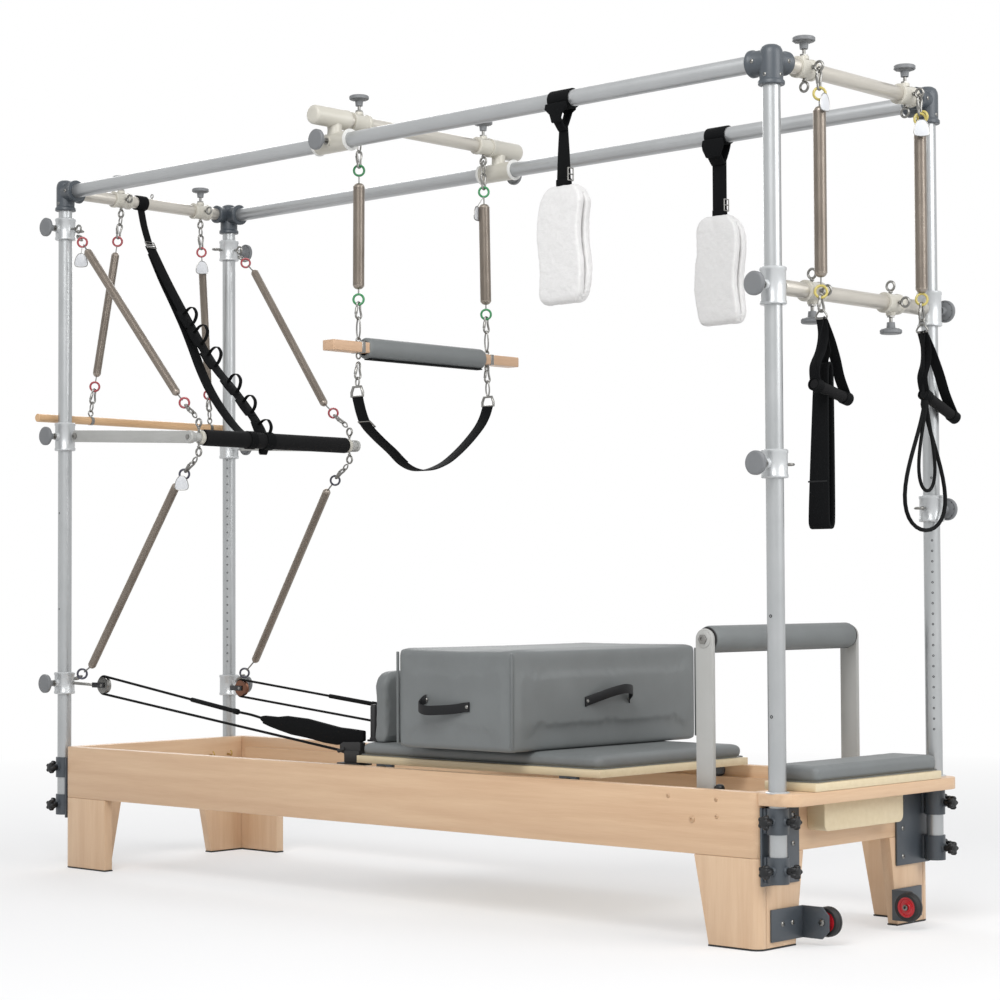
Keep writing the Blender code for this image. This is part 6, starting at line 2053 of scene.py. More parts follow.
@dataclass
class RollDown:
    """A wooden rod hung from the head crossbar on two springs."""

    x: float = -1.424
    z: float = 1.400
    half: float = 0.408
    radius: float = 0.013
    tops: tuple[float, float] = (-0.118, 0.214)
    lows: tuple[float, float] = (-0.199, 0.298)
    hook_z: float = 2.0527

    def build(self) -> None:
        """Build the rod and both springs."""
        long = 2 * self.half
        r = self.radius
        Shape().turned([(0.0, 0.0), (r - 0.002, 0.0), (r, 0.002), (r, long / 2), (r, long - 0.002),
                        (r - 0.002, long), (0.0, long)], (self.x, -self.half, self.z), AXIS_Y, 36).done(
            "roll_down_rod", ASH_Y, "roll_down", "ash_dowel", "roll_down_bar")
        for side, top_y, low_y in zip(Side, self.tops, self.lows):
            top = Vector((-PLAN.post_x, top_y, self.hook_z))
            low = Vector((self.x, low_y, self.z + r + 0.012))
            run = (low - top).normalized()
            name = "roll_down_" + side.tag
            FIT.spring(name + "_coil", top + run * 0.119, top + run * 0.508, 0.0132, "roll_down", 0.00115,
                       "roll_down_spring_" + side.tag)
            hooks = Shape()
            FIT.clip(hooks, top + run * 0.064, top + Vector((0, 0, 0.009)), AXIS_Y, 0.0095)
            ring_top = top + run * 0.074
            ring_low = top + run * 0.549
            FIT.link(name + "_ring_top", "red", ring_top, FACING, "roll_down")
            FIT.link(name + "_ring_low", "red", ring_low, FACING, "roll_down")
            hooks.tube([ring_top + run * 0.012, top + run * 0.100, top + run * 0.116], 0.0019)
            hooks.tube([top + run * 0.504, top + run * 0.538], 0.0019)
            FIT.clip(hooks, ring_low + run * 0.008, low - run * 0.004, AXIS_Y, 0.0095)
            hooks.done(name + "_clips", CHROME, "roll_down", "spring_steel")
            eye = Shape().ring(low + Vector((0, 0, -0.001)), AXIS_X, 0.0085, 0.0024)
            eye.rod((self.x, low_y, self.z + r - 0.003), (self.x, low_y, self.z + r + 0.003), 0.0045)
            eye.turned([(0.0135, -0.006), (0.0142, -0.006), (0.0142, 0.006), (0.0135, 0.006)],
                       (self.x, low_y, self.z), AXIS_Y, 32, True)
            eye.done(name + "_eye", CHROME, "roll_down", "spring_steel")
            if side is Side.FAR:
                FIT.tag(name + "_tag", ring_top, (0.004, 0.019, 0.032), "roll_down", 20)


@dataclass
class Trapeze:
    """A carrier that slides on the top rails, two springs, a padded bar and a sling."""

    x: float = -0.139
    bar_z: float = 2.180
    bar_half: float = 0.425
    shoe: float = 0.066
    sleeve_in: float = 0.2936
    clamp_r: float = 0.0278
    tops: tuple[float, float] = (-0.243, 0.272)
    spring_z: tuple[float, float] = (1.999, 1.715)
    spring_r: float = 0.0170
    dowel_z: float = 1.540
    dowel: tuple[float, float] = (-0.366, 0.402)
    roll: tuple[float, float] = (-0.226, 0.256)
    roll_r: float = 0.0305
    beam: tuple[float, float] = (0.0225, 0.0148)
    lows: tuple[float, float] = (-0.248, 0.284)

    def build(self) -> None:
        """Build the carrier, springs, bar and sling."""
        self.slider()
        for side, top_y, low_y in zip(Side, self.tops, self.lows):
            self.spring(side, top_y, low_y)
        self.bar()
        self.sling()

    def slider(self) -> None:
        """Build the crossbar with its two rail clamps and two carriers."""
        body = "trapeze_carriage"
        half = self.bar_half - 0.006
        Shape().rod((self.x, -half, self.bar_z), (self.x, half, self.bar_z), 0.019, 0.001, 40).done(
            "trapeze_cross_tube", CREAM_TUBE, body, "champagne", "trapeze_carrier")
        hole, wall, shoe = PLAN.post_r + 0.0004, self.clamp_r, self.shoe
        for side in Side:
            y = side.value * PLAN.post_y
            out = (0, side.value, 0)
            shape = Shape()
            r, long = 0.0272, self.bar_half - self.sleeve_in
            shape.turned([(0.0, 0.0), (r + 0.0012, 0.0), (r + 0.0012, 0.008), (r, 0.010), (r, long - 0.009),
                          (r - 0.0020, long - 0.0035), (r - 0.0065, long - 0.0006), (r - 0.010, long),
                          (0.0, long)], (self.x, side.value * self.sleeve_in, self.bar_z), out, 44)
            shape.turned([(hole, -shoe), (wall, -shoe), (wall, shoe), (hole, shoe)],
                         (self.x, y, TOWER.rail_z), AXIS_X, 48, True)
            top, low = self.bar_z - 0.018 - TOWER.rail_z, 0.010
            neck = Shape().turned([(0.0, low), (0.0215, low), (0.0205, 0.034), (0.0215, top), (0.0, top)],
                                  (self.x, y, TOWER.rail_z), UP, 36)
            for vert in neck.mesh.verts:
                if vert.co.z < TOWER.rail_z + low + 1e-5:
                    vert.co.z = TOWER.rail_z + math.sqrt((wall - 0.0014) ** 2 - (vert.co.y - y) ** 2)
            shape.keep(neck.mesh)
            shape.turned([(0.0, 0.0), (0.013, 0.0), (0.012, 0.007), (0.0, 0.007)],
                         (self.x, y + side.value * (wall - 0.003), TOWER.rail_z), out, 24)
            shape.done("rail_clamp_" + side.tag, CREAM_METAL, body, "champagne")
            rims = Shape()
            for face in (-1, 1):
                rims.turned([(hole, -0.007), (wall + 0.0006, -0.007), (wall + 0.0030, -0.004),
                             (wall + 0.0030, 0.0), (hole, 0.0)],
                            (self.x + face * (shoe + 0.0006), y, TOWER.rail_z), (face, 0, 0), 48, True)
            rims.done("rail_clamp_rims_" + side.tag, RIM_WHITE, body, "champagne")
            base = Vector((self.x, y + side.value * (wall + 0.0015), TOWER.rail_z))
            FIT.knob("rail_clamp_" + side.tag, base, out, 0.0357, body)
            TOWER.carrier("trapeze_carrier_" + side.tag, (self.x, self.tops[side is Side.FAR], self.bar_z),
                          UP, [DOWN], body)

    def spring(self, side: Side, top_y: float, low_y: float) -> None:
        """Build one spring with its green rings and clips.

        Args:
            side: Its side.
            top_y: The Y of its upper hook.
            low_y: The Y of its lower eye.
        """
        top = Vector((self.x, top_y, self.bar_z - PLAN.eye_drop - 0.004))
        low = Vector((self.x, low_y, self.dowel_z + 0.0165))
        run = (low - top).normalized()
        name = "trapeze_" + side.tag
        body = "trapeze"
        high, deep = ((top.z - z) / (top.z - low.z) for z in self.spring_z)
        length = (low - top).length
        FIT.spring(name + "_coil", top + run * length * high, top + run * length * deep, self.spring_r, body,
                   0.0014, "trapeze_spring_" + side.tag)
        ring_top = top + run * ((top.z - 2.044) / -run.z)
        ring_low = top + run * ((top.z - 1.677) / -run.z)
        FIT.link(name + "_ring_top", "green", ring_top, FACING, body)
        FIT.link(name + "_ring_low", "green", ring_low, FACING, body)
        hooks = Shape()
        FIT.clip(hooks, ring_top - run * 0.008, top - run * 0.006, AXIS_Y, 0.0095)
        FIT.clip(hooks, ring_low + run * 0.008, low - run * 0.006, AXIS_Y, 0.0105)
        for tip, ring, way in ((top + run * length * high, ring_top, 1),
                               (top + run * length * deep, ring_low, -1)):
            hooks.tube([tip + run * way * 0.004, tip - run * way * 0.012, ring + run * way * 0.011], 0.0022)
        hooks.ring(low - run * 0.004, AXIS_X, 0.0080, 0.0024)
        hooks.rod(low + Vector((0, 0, -0.003)), low + Vector((0, 0, 0.002)), 0.005)
        wide, tall = self.beam[0] + 0.0008, self.beam[1] + 0.0008
        hooks.block((self.x - wide, low_y - 0.007, self.dowel_z - tall),
                    (self.x + wide, low_y + 0.007, self.dowel_z + tall), 0.0015)
        hooks.done(name + "_clips", CHROME, body, "spring_steel")
        if side is Side.FAR:
            FIT.tag(name + "_tag", ring_top, (-0.020, 0.006, 0.044), body, 62)

    def bar(self) -> None:
        """Build the square-edged beech bar with its padded roll."""
        a, b = self.dowel
        wide, tall = self.beam
        shape = Shape().block((self.x - wide, a, self.dowel_z - tall),
                              (self.x + wide, b, self.dowel_z + tall), 0.003, 3)
        shape.done("trapeze_beam", BEECH_Y, "trapeze", "ash_dowel", "trapeze_bar")
        a, b = self.roll
        roll = Shape().turned(roll_profile(self.roll_r, 0.0215, b - a), (self.x, a, self.dowel_z), AXIS_Y, 48,
                              True)
        made = roll.done("trapeze_padding", VINYL, "trapeze", "grey_vinyl", "trapeze_roll")
        under = self.dowel_z - self.roll_r - 0.0004
        seam = Shape().strap([(self.x + 0.004, a + 0.008, under), (self.x + 0.004, b - 0.008, under)],
                             AXIS_X, 0.024, 0.0036)
        seam.done("trapeze_seam", WEBBING, "trapeze", "grey_vinyl")

    def sling(self) -> None:
        """Build the wide sling with its buckles and end clips."""
        points = [(-0.252, 1.400), (-0.236, 1.352), (-0.215, 1.318), (-0.170, 1.284), (-0.116, 1.250),
                  (-0.070, 1.218), (-0.022, 1.202), (0.030, 1.203), (0.080, 1.217), (0.124, 1.238),
                  (0.186, 1.281), (0.244, 1.332), (0.272, 1.368), (0.287, 1.402)]
        path = rounded([(self.x, y, z) for y, z in points], 5)
        Shape().strap(path, AXIS_X, 0.042, 0.0032).done(
            "sling_band", WEBBING, "trapeze", "black_webbing", "sling")
        Shape().strap([Vector(p) + Vector((0, 0, 0.0042)) for p in path[:26]], AXIS_X, 0.040, 0.0028).done(
            "sling_fold", WEBBING, "trapeze", "black_webbing")
        metal = Shape()
        for side, (y, z), top_z in zip((-1, 1), ((-0.253, 1.407), (0.288, 1.408)), (1.498, 1.520)):
            eye_y = self.lows[side > 0]
            wire = [(self.x - 0.0225, y, z - 0.005), (self.x + 0.0225, y, z - 0.005),
                    (self.x + 0.0225, y, z + 0.006), (self.x + 0.0150, y, z + 0.022),
                    (self.x - 0.0150, y, z + 0.022), (self.x - 0.0225, y, z + 0.006)]
            metal.tube(wire, 0.0042, True)
            FIT.clip(metal, (self.x, eye_y, top_z), (self.x, y, z + 0.022), AXIS_Y, 0.0105)
            metal.ring((self.x, eye_y, self.dowel_z - 0.0235), AXIS_X, 0.0080, 0.0024)
        place = Matrix.Translation((self.x, -0.217, 1.323)) @ Matrix.Rotation(math.radians(-35), 4, "X")
        bars = [(-0.0235, 0.013, 0.002), (0.0235, 0.013, 0.002), (0.0235, -0.013, 0.002),
                (-0.0235, -0.013, 0.002)]
        metal.tube([place @ Vector(p) for p in bars], 0.0024, True)
        metal.rod(place @ Vector((-0.0235, 0, 0.003)), place @ Vector((0.0235, 0, 0.003)), 0.0022)
        metal.done("sling_fittings", CHROME, "trapeze", "silver")


@dataclass
class LowerBar:
    """The sliding crossbar between the foot uprights with its collars and carriers."""

    z: float = 1.573
    tall: float = 0.090
    places: tuple[float, float] = (-0.180, 0.160)

    def build(self) -> None:
        """Build the bar, collars and carriers."""
        x, body = PLAN.post_x, "lower_bar"
        half = PLAN.post_y - 0.0305
        Shape().rod((x, -half, self.z), (x, half, self.z), 0.019, 0.0005, 40).done(
            "lower_cross_tube", CREAM_TUBE, body, "champagne", "lower_crossbar")
        for side in Side:
            at = (x, side.value * PLAN.post_y, self.z)
            TOWER.collar("lower_" + side.tag, at, self.tall, Vector((0, side.value, 0)), body)
            TOWER.carrier("lower_carrier_" + side.tag, (x, self.places[side is Side.FAR], self.z), DOWN,
                          [UP, AXIS_X], body)


@dataclass
class FootHangings:
    """Two springs at the foot end, each with a hand grip and a loop."""

    x: float = 1.4167
    top_z: float = 2.010
    low_z: float = 1.607
    radius: float = 0.0160
    low_rings: tuple[float, float] = (1.567, 1.586)
    ring_z: float = 1.509
    places: tuple[float, float] = (-0.205, 0.235)
    grips: tuple[tuple[tuple[float, float], ...], ...] = (
        ((-0.238, 1.343), (-0.097, 1.314)), ((0.239, 1.346), (0.385, 1.292)))
    grip_r: float = 0.0142
    loop_wide: float = 0.060
    loop_in: float = 0.0267
    loop_back: float = 0.0318

    def build(self) -> None:
        """Build both sets."""
        for side in Side:
            y = self.places[side is Side.FAR]
            self.springs(side, y)
            self.handle(side, y, self.grips[side is Side.FAR])
        self.foot_loop()
        self.rope_loop()

    def springs(self, side: Side, y: float) -> None:
        """Build one spring with its rings and clips.

        Args:
            side: Its side.
            y: The Y of its carrier.
        """
        body, name = side.tag + "_arm_set", "arm_" + side.tag
        metal = Shape()
        FIT.clip(metal, (self.x, y, 2.056), (self.x, y, PLAN.cross_z - 0.002), AXIS_Y, 0.0095)
        ring = self.low_rings[side is Side.FAR]
        FIT.clip(metal, (self.x, y, ring - 0.009), (self.x, y, self.ring_z + 0.010), AXIS_Y, 0.0105)
        FIT.spring(name + "_coil", (self.x, y, self.top_z - 0.004), (self.x, y, self.low_z + 0.004),
                   self.radius, body, 0.00115, "arm_spring_" + side.tag)
        metal.tube([(self.x, y, self.top_z - 0.008), (self.x, y, self.top_z + 0.018)], 0.0020)
        metal.tube([(self.x, y, self.low_z + 0.008), (self.x, y, ring + FIT.ring_r)], 0.0020)
        metal.done(name + "_clips", CHROME, body, "spring_steel")
        FIT.link(name + "_ring_top", "yellow", (self.x + 0.001, y, 2.046), FACING, body)
        FIT.link(name + "_ring_low", "yellow", (self.x, y, ring), FACING, body)
        if side is Side.FAR:
            FIT.link(name + "_ring_side", "yellow", (self.x + 0.003, y + 0.008, 2.052), AXIS_Y, body)
        place, turn = ((0.000, 0.027, 0.006), 0) if side is Side.FAR else ((0.010, 0.024, 0.004), 48)
        FIT.tag(name + "_tag", (self.x, y, 2.046), place, body, turn)

    def handle(self, side: Side, y: float, ends: Sequence[Point]) -> None:
        """Build one stirrup grip with its D-ring and straps.

        Args:
            side: Its side.
            y: The Y of its carrier.
            ends: Y and Z of the grip's two ends.
        """
        body, name = side.tag + "_arm_set", "hand_" + side.tag
        a, b = (Vector((self.x, at, z)) for at, z in ends)
        run = (b - a).normalized()
        straps = Shape()
        for spot, way in ((a + run * 0.006, 1), (b - run * 0.006, -1)):
            eye, low = Vector((self.x, y, self.ring_z - 0.004)), spot + Vector((0, 0, 0.004))
            bend = 0.014 if way > 0 else 0.006
            loop = [eye, eye.lerp(low, 0.25) + AXIS_Y * bend, eye.lerp(low, 0.5) + AXIS_Y * bend * 0.7,
                    eye.lerp(low, 0.75) - AXIS_Y * bend * 0.6, low]
            straps.strap(rounded(loop, 5), AXIS_X, 0.0300, 0.0034)
            straps.turned([(self.grip_r - 0.0002, -0.0118), (self.grip_r + 0.0022, -0.0118),
                           (self.grip_r + 0.0022, 0.0118), (self.grip_r - 0.0002, 0.0118)],
                          spot + run * way * 0.004, run, 28, True)
        eye = Vector((self.x + 0.010, y - 0.002, self.ring_z - 0.002))
        cord = [eye, eye.lerp(a, 0.35) - AXIS_Y * 0.006, eye.lerp(a, 0.68) - AXIS_Y * 0.010,
                a + Vector((0.010, 0.004, 0.012))]
        straps.tube(rounded(cord, 6), 0.0017)
        straps.done(name + "_straps", WEBBING, body, "black_webbing", "hand_loops_" + side.tag)
        r = self.grip_r
        long = (b - a).length
        profile = [(0.0, 0.0), (r - 0.003, 0.0), (r - 0.0005, 0.003), (r - 0.0005, long * 0.25),
                   (r, long * 0.5), (r - 0.0005, long * 0.75), (r - 0.0005, long - 0.003), (r - 0.003, long),
                   (0.0, long)]
        Shape().turned(profile, a, run, 32).done(name + "_grip", FOAM, body, "black_webbing")
        wire = [(self.x - 0.014, y, self.ring_z - 0.006), (self.x + 0.014, y, self.ring_z - 0.006),
                (self.x + 0.0135, y, self.ring_z + 0.004), (self.x, y, self.ring_z + 0.014),
                (self.x - 0.0135, y, self.ring_z + 0.004)]
        Shape().tube(rounded(wire, 4, True), 0.0024, True).done(name + "_ring", CHROME, body, "spring_steel")

    def foot_loop(self) -> None:
        """Build the long padded loop below the near grip."""
        y = self.places[0]
        steps = ((0.000, 1.397), (-0.008, 1.388), (-0.0105, 1.340), (-0.0115, 1.240), (-0.012, 1.130),
                 (-0.0115, 1.030), (-0.008, 1.006), (0.000, 1.001), (0.008, 1.006), (0.0115, 1.030),
                 (0.012, 1.130), (0.0115, 1.240), (0.0105, 1.340), (0.008, 1.388))
        x = self.x - self.loop_in
        y += self.loop_back
        path = rounded([(x, y + step, z) for step, z in steps], 4, True)
        band = Shape().strap(path, AXIS_X, self.loop_wide, 0.0075, True)
        for vert in band.mesh.verts:
            edge = x + self.loop_wide / 2
            share = min(max((vert.co.z - 1.010) / 0.380, 0.0), 1.0)
            vert.co.x = edge + (vert.co.x - edge) * (1 - 0.32 * share)
        band.done("foot_loop_band", WEBBING, "near_arm_set", "black_webbing")
        seams = Shape()
        seams.block((x - self.loop_wide / 2 + 0.002, y - 0.0168, 1.110),
                    (x + self.loop_wide / 2 - 0.002, y - 0.0140, 1.114), 0.0008)
        seams.done("foot_loop_seams", LEATHER, "near_arm_set", "black_webbing")
        Shape().strap([(self.x, y - self.loop_back, self.ring_z - 0.004), (self.x, y - 0.010, 1.425),
                       (x + 0.008, y + 0.002, 1.392)],
                      AXIS_X, 0.022, 0.003).done("foot_loop_neck", WEBBING, "near_arm_set", "black_webbing")

    def rope_loop(self) -> None:
        """Build the two rope loops below the far grip."""
        y = self.places[1]
        shape = Shape()
        for x, near, spread, middle, rise, radius in (
                (self.x, y + 0.006, 0.138, 1.160, 0.160, 0.0052),
                (self.x + 0.004, y + 0.009, 0.052, 1.212, 0.112, 0.0045)):
            loop = []
            for k in range(40):
                turn = math.tau * k / 40
                wide = spread * (1 - math.cos(turn)) / 2 + 0.004
                loop.append((x, near + wide * math.sin(turn), middle + rise * math.cos(turn)))
            shape.tube(loop, radius, True)
        shape.tube([(self.x, y, self.ring_z - 0.004), (self.x, y + 0.002, 1.42), (self.x, y + 0.006, 1.318)],
                   0.0045)
        shape.turned([(0.0, 0.0), (0.009, 0.002), (0.0105, 0.012), (0.009, 0.024), (0.0, 0.026)],
                     (self.x, y + 0.008, 1.308), UP, 20)
        shape.done("rope_loops", BRAID, "far_arm_set", "black_webbing")


@dataclass
class FleeceLoops:
    """Two fleece slings on webbing straps that wrap the top rails."""

    xs: tuple[float, float] = (0.715, 0.697)
    top: float = 1.890
    low: float = 1.584
    deep: float = 0.056
    band: float = 0.140
    thick: float = 0.0245
    strap: float = 0.047
    shoulder: float = 0.050
    wrap_r: float = 0.0246

    def build(self) -> None:
        """Build both slings."""
        for side, x in zip(Side, self.xs):
            y = side.value * PLAN.post_y
            self.webbing(side, x, y)
            self.buckle(side, x, y)
            self.fleece(side, x, y)

    def webbing(self, side: Side, x: float, y: float) -> None:
        """Build the webbing: the wrap round the rail, its funnel and the strap down to the fleece.

        Args:
            side: Its side.
            x: The strap's X.
            y: The strap's Y.
        """
        webbing = Shape()
        rail, wrap = TOWER.rail_z, self.wrap_r
        left, right = x - self.strap / 2, x + self.strap / 2
        around = [(math.cos(math.tau * k / 28), math.sin(math.tau * k / 28)) for k in range(28)]
        webbing.strap([(x, y + wrap * c, rail + wrap * d) for c, d in around], AXIS_X, 0.070, 0.0028, True)
        funnel = [(0.034, -0.012), (0.037, -0.026), (0.034, -0.041), (0.027, -0.053), (0.0225, -0.063)]
        outline = [(x + a, rail + b) for a, b in funnel] + [(x - a, rail + b) for a, b in reversed(funnel)]
        webbing.plate(outline, Grain.Y, y - 0.0345, y - 0.0255, 0.003)
        webbing.strap(rounded([(x, y - 0.030, rail - 0.044), (x, y - 0.021, rail - 0.060),
                               (x, y - 0.003, rail - 0.080)], 5), AXIS_X, self.strap, 0.0060)
        webbing.strap(rounded([(x, y + wrap, rail - 0.004), (x, y + 0.018, rail - 0.032),
                               (x, y + 0.002, rail - 0.068)], 5), AXIS_X, self.strap, 0.0040)
        knot_z = rail - 0.066
        webbing.strap([(x, y, knot_z), (x, y, (knot_z + self.top) / 2), (x, y, self.top - 0.014)], AXIS_X,
                      self.strap, 0.0050)
        webbing.block((left + 0.001, y - 0.0065, self.top - 0.004),
                      (right - 0.001, y + 0.0065, self.top + 0.016), 0.002)
        if side is Side.NEAR:
            for vert in webbing.mesh.verts:
                share = min(max((vert.co.z - 1.93) / 0.09, 0.0), 1.0)
                vert.co.x = x + (vert.co.x - x) * (1 - 0.42 * share * (vert.co.z < rail - 0.03))
        webbing.done("fleece_strap_" + side.tag, WEBBING, side.tag + "_fleece", "black_webbing",
                     "fleece_loop_" + side.tag)

    def buckle(self, side: Side, x: float, y: float) -> None:
        """Build the slide buckle at the strap's edge.

        Args:
            side: Its side.
            x: The strap's X.
            y: The strap's Y.
        """
        buckle = Shape()
        spot = Vector((x + self.strap / 2 + 0.004, y - 0.002, self.top + 0.026))
        for step in (-0.016, 0.0, 0.016):
            buckle.rod(spot + Vector((-0.003, -0.010, step)), spot + Vector((-0.003, 0.010, step)), 0.0018)
        for way in (-0.010, 0.010):
            buckle.tube([spot + Vector((-0.003, way, -0.016)), spot + Vector((-0.003, way, 0.016))], 0.0018)
        buckle.done("fleece_buckle_" + side.tag, CHROME, side.tag + "_fleece", "silver")

    def fleece(self, side: Side, x: float, y: float) -> None:
        """Build the thick fleece band, gathered at its ends.

        Args:
            side: Its side.
            x: The strap's X.
            y: The strap's Y.
        """
        path = []
        rise = (self.top - self.low - self.thick) / 2
        swing = (self.deep - self.thick) / 2
        for k in range(64):
            turn = math.tau * (k + 0.5) / 64
            bend = math.copysign(abs(math.sin(turn)) ** 0.3, math.sin(turn))
            path.append((x, y + swing * bend, (self.top + self.low) / 2 + rise * math.cos(turn)))
        shape = Shape().strap(path, AXIS_X, self.band, self.thick, True)
        wide = [e for e in shape.mesh.edges if abs(e.verts[0].co.x - e.verts[1].co.x) > self.band / 2]
        bmesh.ops.subdivide_edges(shape.mesh, edges=wide, cuts=11, use_grid_fill=True)
        for vert in shape.mesh.verts:
            below, above = self.top - vert.co.z, vert.co.z - self.low
            pinch = (0.42 * (1 - min(below / self.shoulder, 1.0)) ** 1.7
                     + 0.16 * (1 - min(above / 0.035, 1.0)) ** 1.8)
            sway = 0.005 * math.sin((vert.co.z - self.low) * 31.0 + side.value)
            vert.co.x = x + (vert.co.x - x) * (1 - pinch) + sway
        made = shape.done("fleece_band_" + side.tag, WOOL, side.tag + "_fleece", "fleece")
        self.tufts(made)

    def tufts(self, made: bpy.types.Object) -> None:
        """Give the fleece its uneven pile.

        Args:
            made: The fleece.
        """
        finer = made.modifiers.new("finer", "SUBSURF")
        finer.levels = finer.render_levels = 2
        pile = bpy.data.textures.new(made.name + "_pile", "CLOUDS")
        pile.noise_scale = 0.026
        pile.noise_depth = 3
        press = made.modifiers.new("pile", "DISPLACE")
        press.texture = pile
        press.texture_coords = "LOCAL"
        press.mid_level = 0.55
        press.strength = 0.0034


@dataclass
class Ropes:
    """Black ropes from the cleats round the pulleys to padded loops on the posts."""

    pulley_x: float = -1.245
    drop: float = 0.006
    pulley_r: float = 0.0225
    radius: float = 0.0038
    start: tuple[float, float] = (-0.165, 0.404)
    knot: tuple[float, float] = (-0.612, 0.499)
    lead: tuple[float, float] = (-0.500, 0.483)
    y: float = 0.283
    heights: tuple[float, float] = (0.569, 0.541)
    sleeve: tuple[float, float] = (0.66, 0.97)
    pad: tuple[tuple[float, float], ...] = (
        (-0.502, 0.4700), (-0.470, 0.4610), (-0.430, 0.4520), (-0.380, 0.4420), (-0.313, 0.4350),
        (-0.240, 0.4240), (-0.190, 0.4200), (-0.110, 0.4300), (-0.081, 0.4350), (-0.081, 0.4640),
        (-0.140, 0.4680), (-0.180, 0.4700), (-0.313, 0.4900), (-0.400, 0.4950), (-0.440, 0.4910),
        (-0.498, 0.4930))

    def build(self) -> None:
        """Build both ropes, sleeves and loops."""
        for side, z in zip(Side, self.heights):
            y = side.value * self.y
            hub = z - self.drop
            wrap = self.pulley_r + self.radius + 0.0012
            turns = []
            for point, way in ((self.start, -1), (self.knot, 1)):
                run_x, run_z = point[0] - self.pulley_x, point[1] - hub
                turns.append(math.atan2(run_z, run_x) + way * math.acos(wrap / math.hypot(run_x, run_z)))
            path = [(self.start[0], y, self.start[1])]
            first = Vector((self.pulley_x + wrap * math.cos(turns[0]), y, hub + wrap * math.sin(turns[0])))
            path += [tuple(Vector(path[0]).lerp(first, share)) for share in (0.2, 0.4, 0.6, 0.8)]
            for k in range(21):
                turn = turns[0] + (turns[1] - math.tau - turns[0]) * k / 20
                path.append((self.pulley_x + wrap * math.cos(turn), y, hub + wrap * math.sin(turn)))
            top = Vector(path[-1])
            knot = Vector((self.knot[0], y, self.knot[1]))
            path += [tuple(top.lerp(knot, share)) for share in (0.2, 0.4, 0.6, 0.8, 1.0)]
            carried = Between("frame", "carriage", (self.pulley_x + 0.02, y, 0.5), (-0.20, y, 0.45))
            Shape().tube(path, self.radius).done(
                "rope_" + side.tag, BRAID, carried, "black_webbing", "pulley_rope_" + side.tag)
            run = (knot - top).normalized()
            grips = Shape()
            for share_a, share_b, size in ((*self.sleeve, 0.0068), (0.965, 1.0, 0.0085)):
                a, b = top.lerp(knot, share_a), top.lerp(knot, share_b)
                grips.turned([(0.0, 0.0), (size * 0.8, 0.0), (size, 0.003), (size, (b - a).length - 0.003),
                              (size * 0.8, (b - a).length), (0.0, (b - a).length)], a, run, 20)
            lead = Vector((self.lead[0], y, self.lead[1]))
            grips.tube(rounded([knot - run * 0.004, knot.lerp(lead, 0.5) + Vector((0, 0, 0.002)), lead], 5),
                       self.radius)
            grips.turned([(0.0, 0.0), (0.0075, 0.002), (0.009, 0.008), (0.0075, 0.015), (0.0, 0.017)],
                         lead - run * 0.010, run, 18)
            grips.done("rope_ends_" + side.tag, BRAID, carried, "black_webbing")
            pad = Shape().plate(self.pad, Grain.Y, y - 0.0068, y + 0.0068, 0.0035)
            pad.done("rope_loop_" + side.tag, WEBBING, carried, "black_webbing")


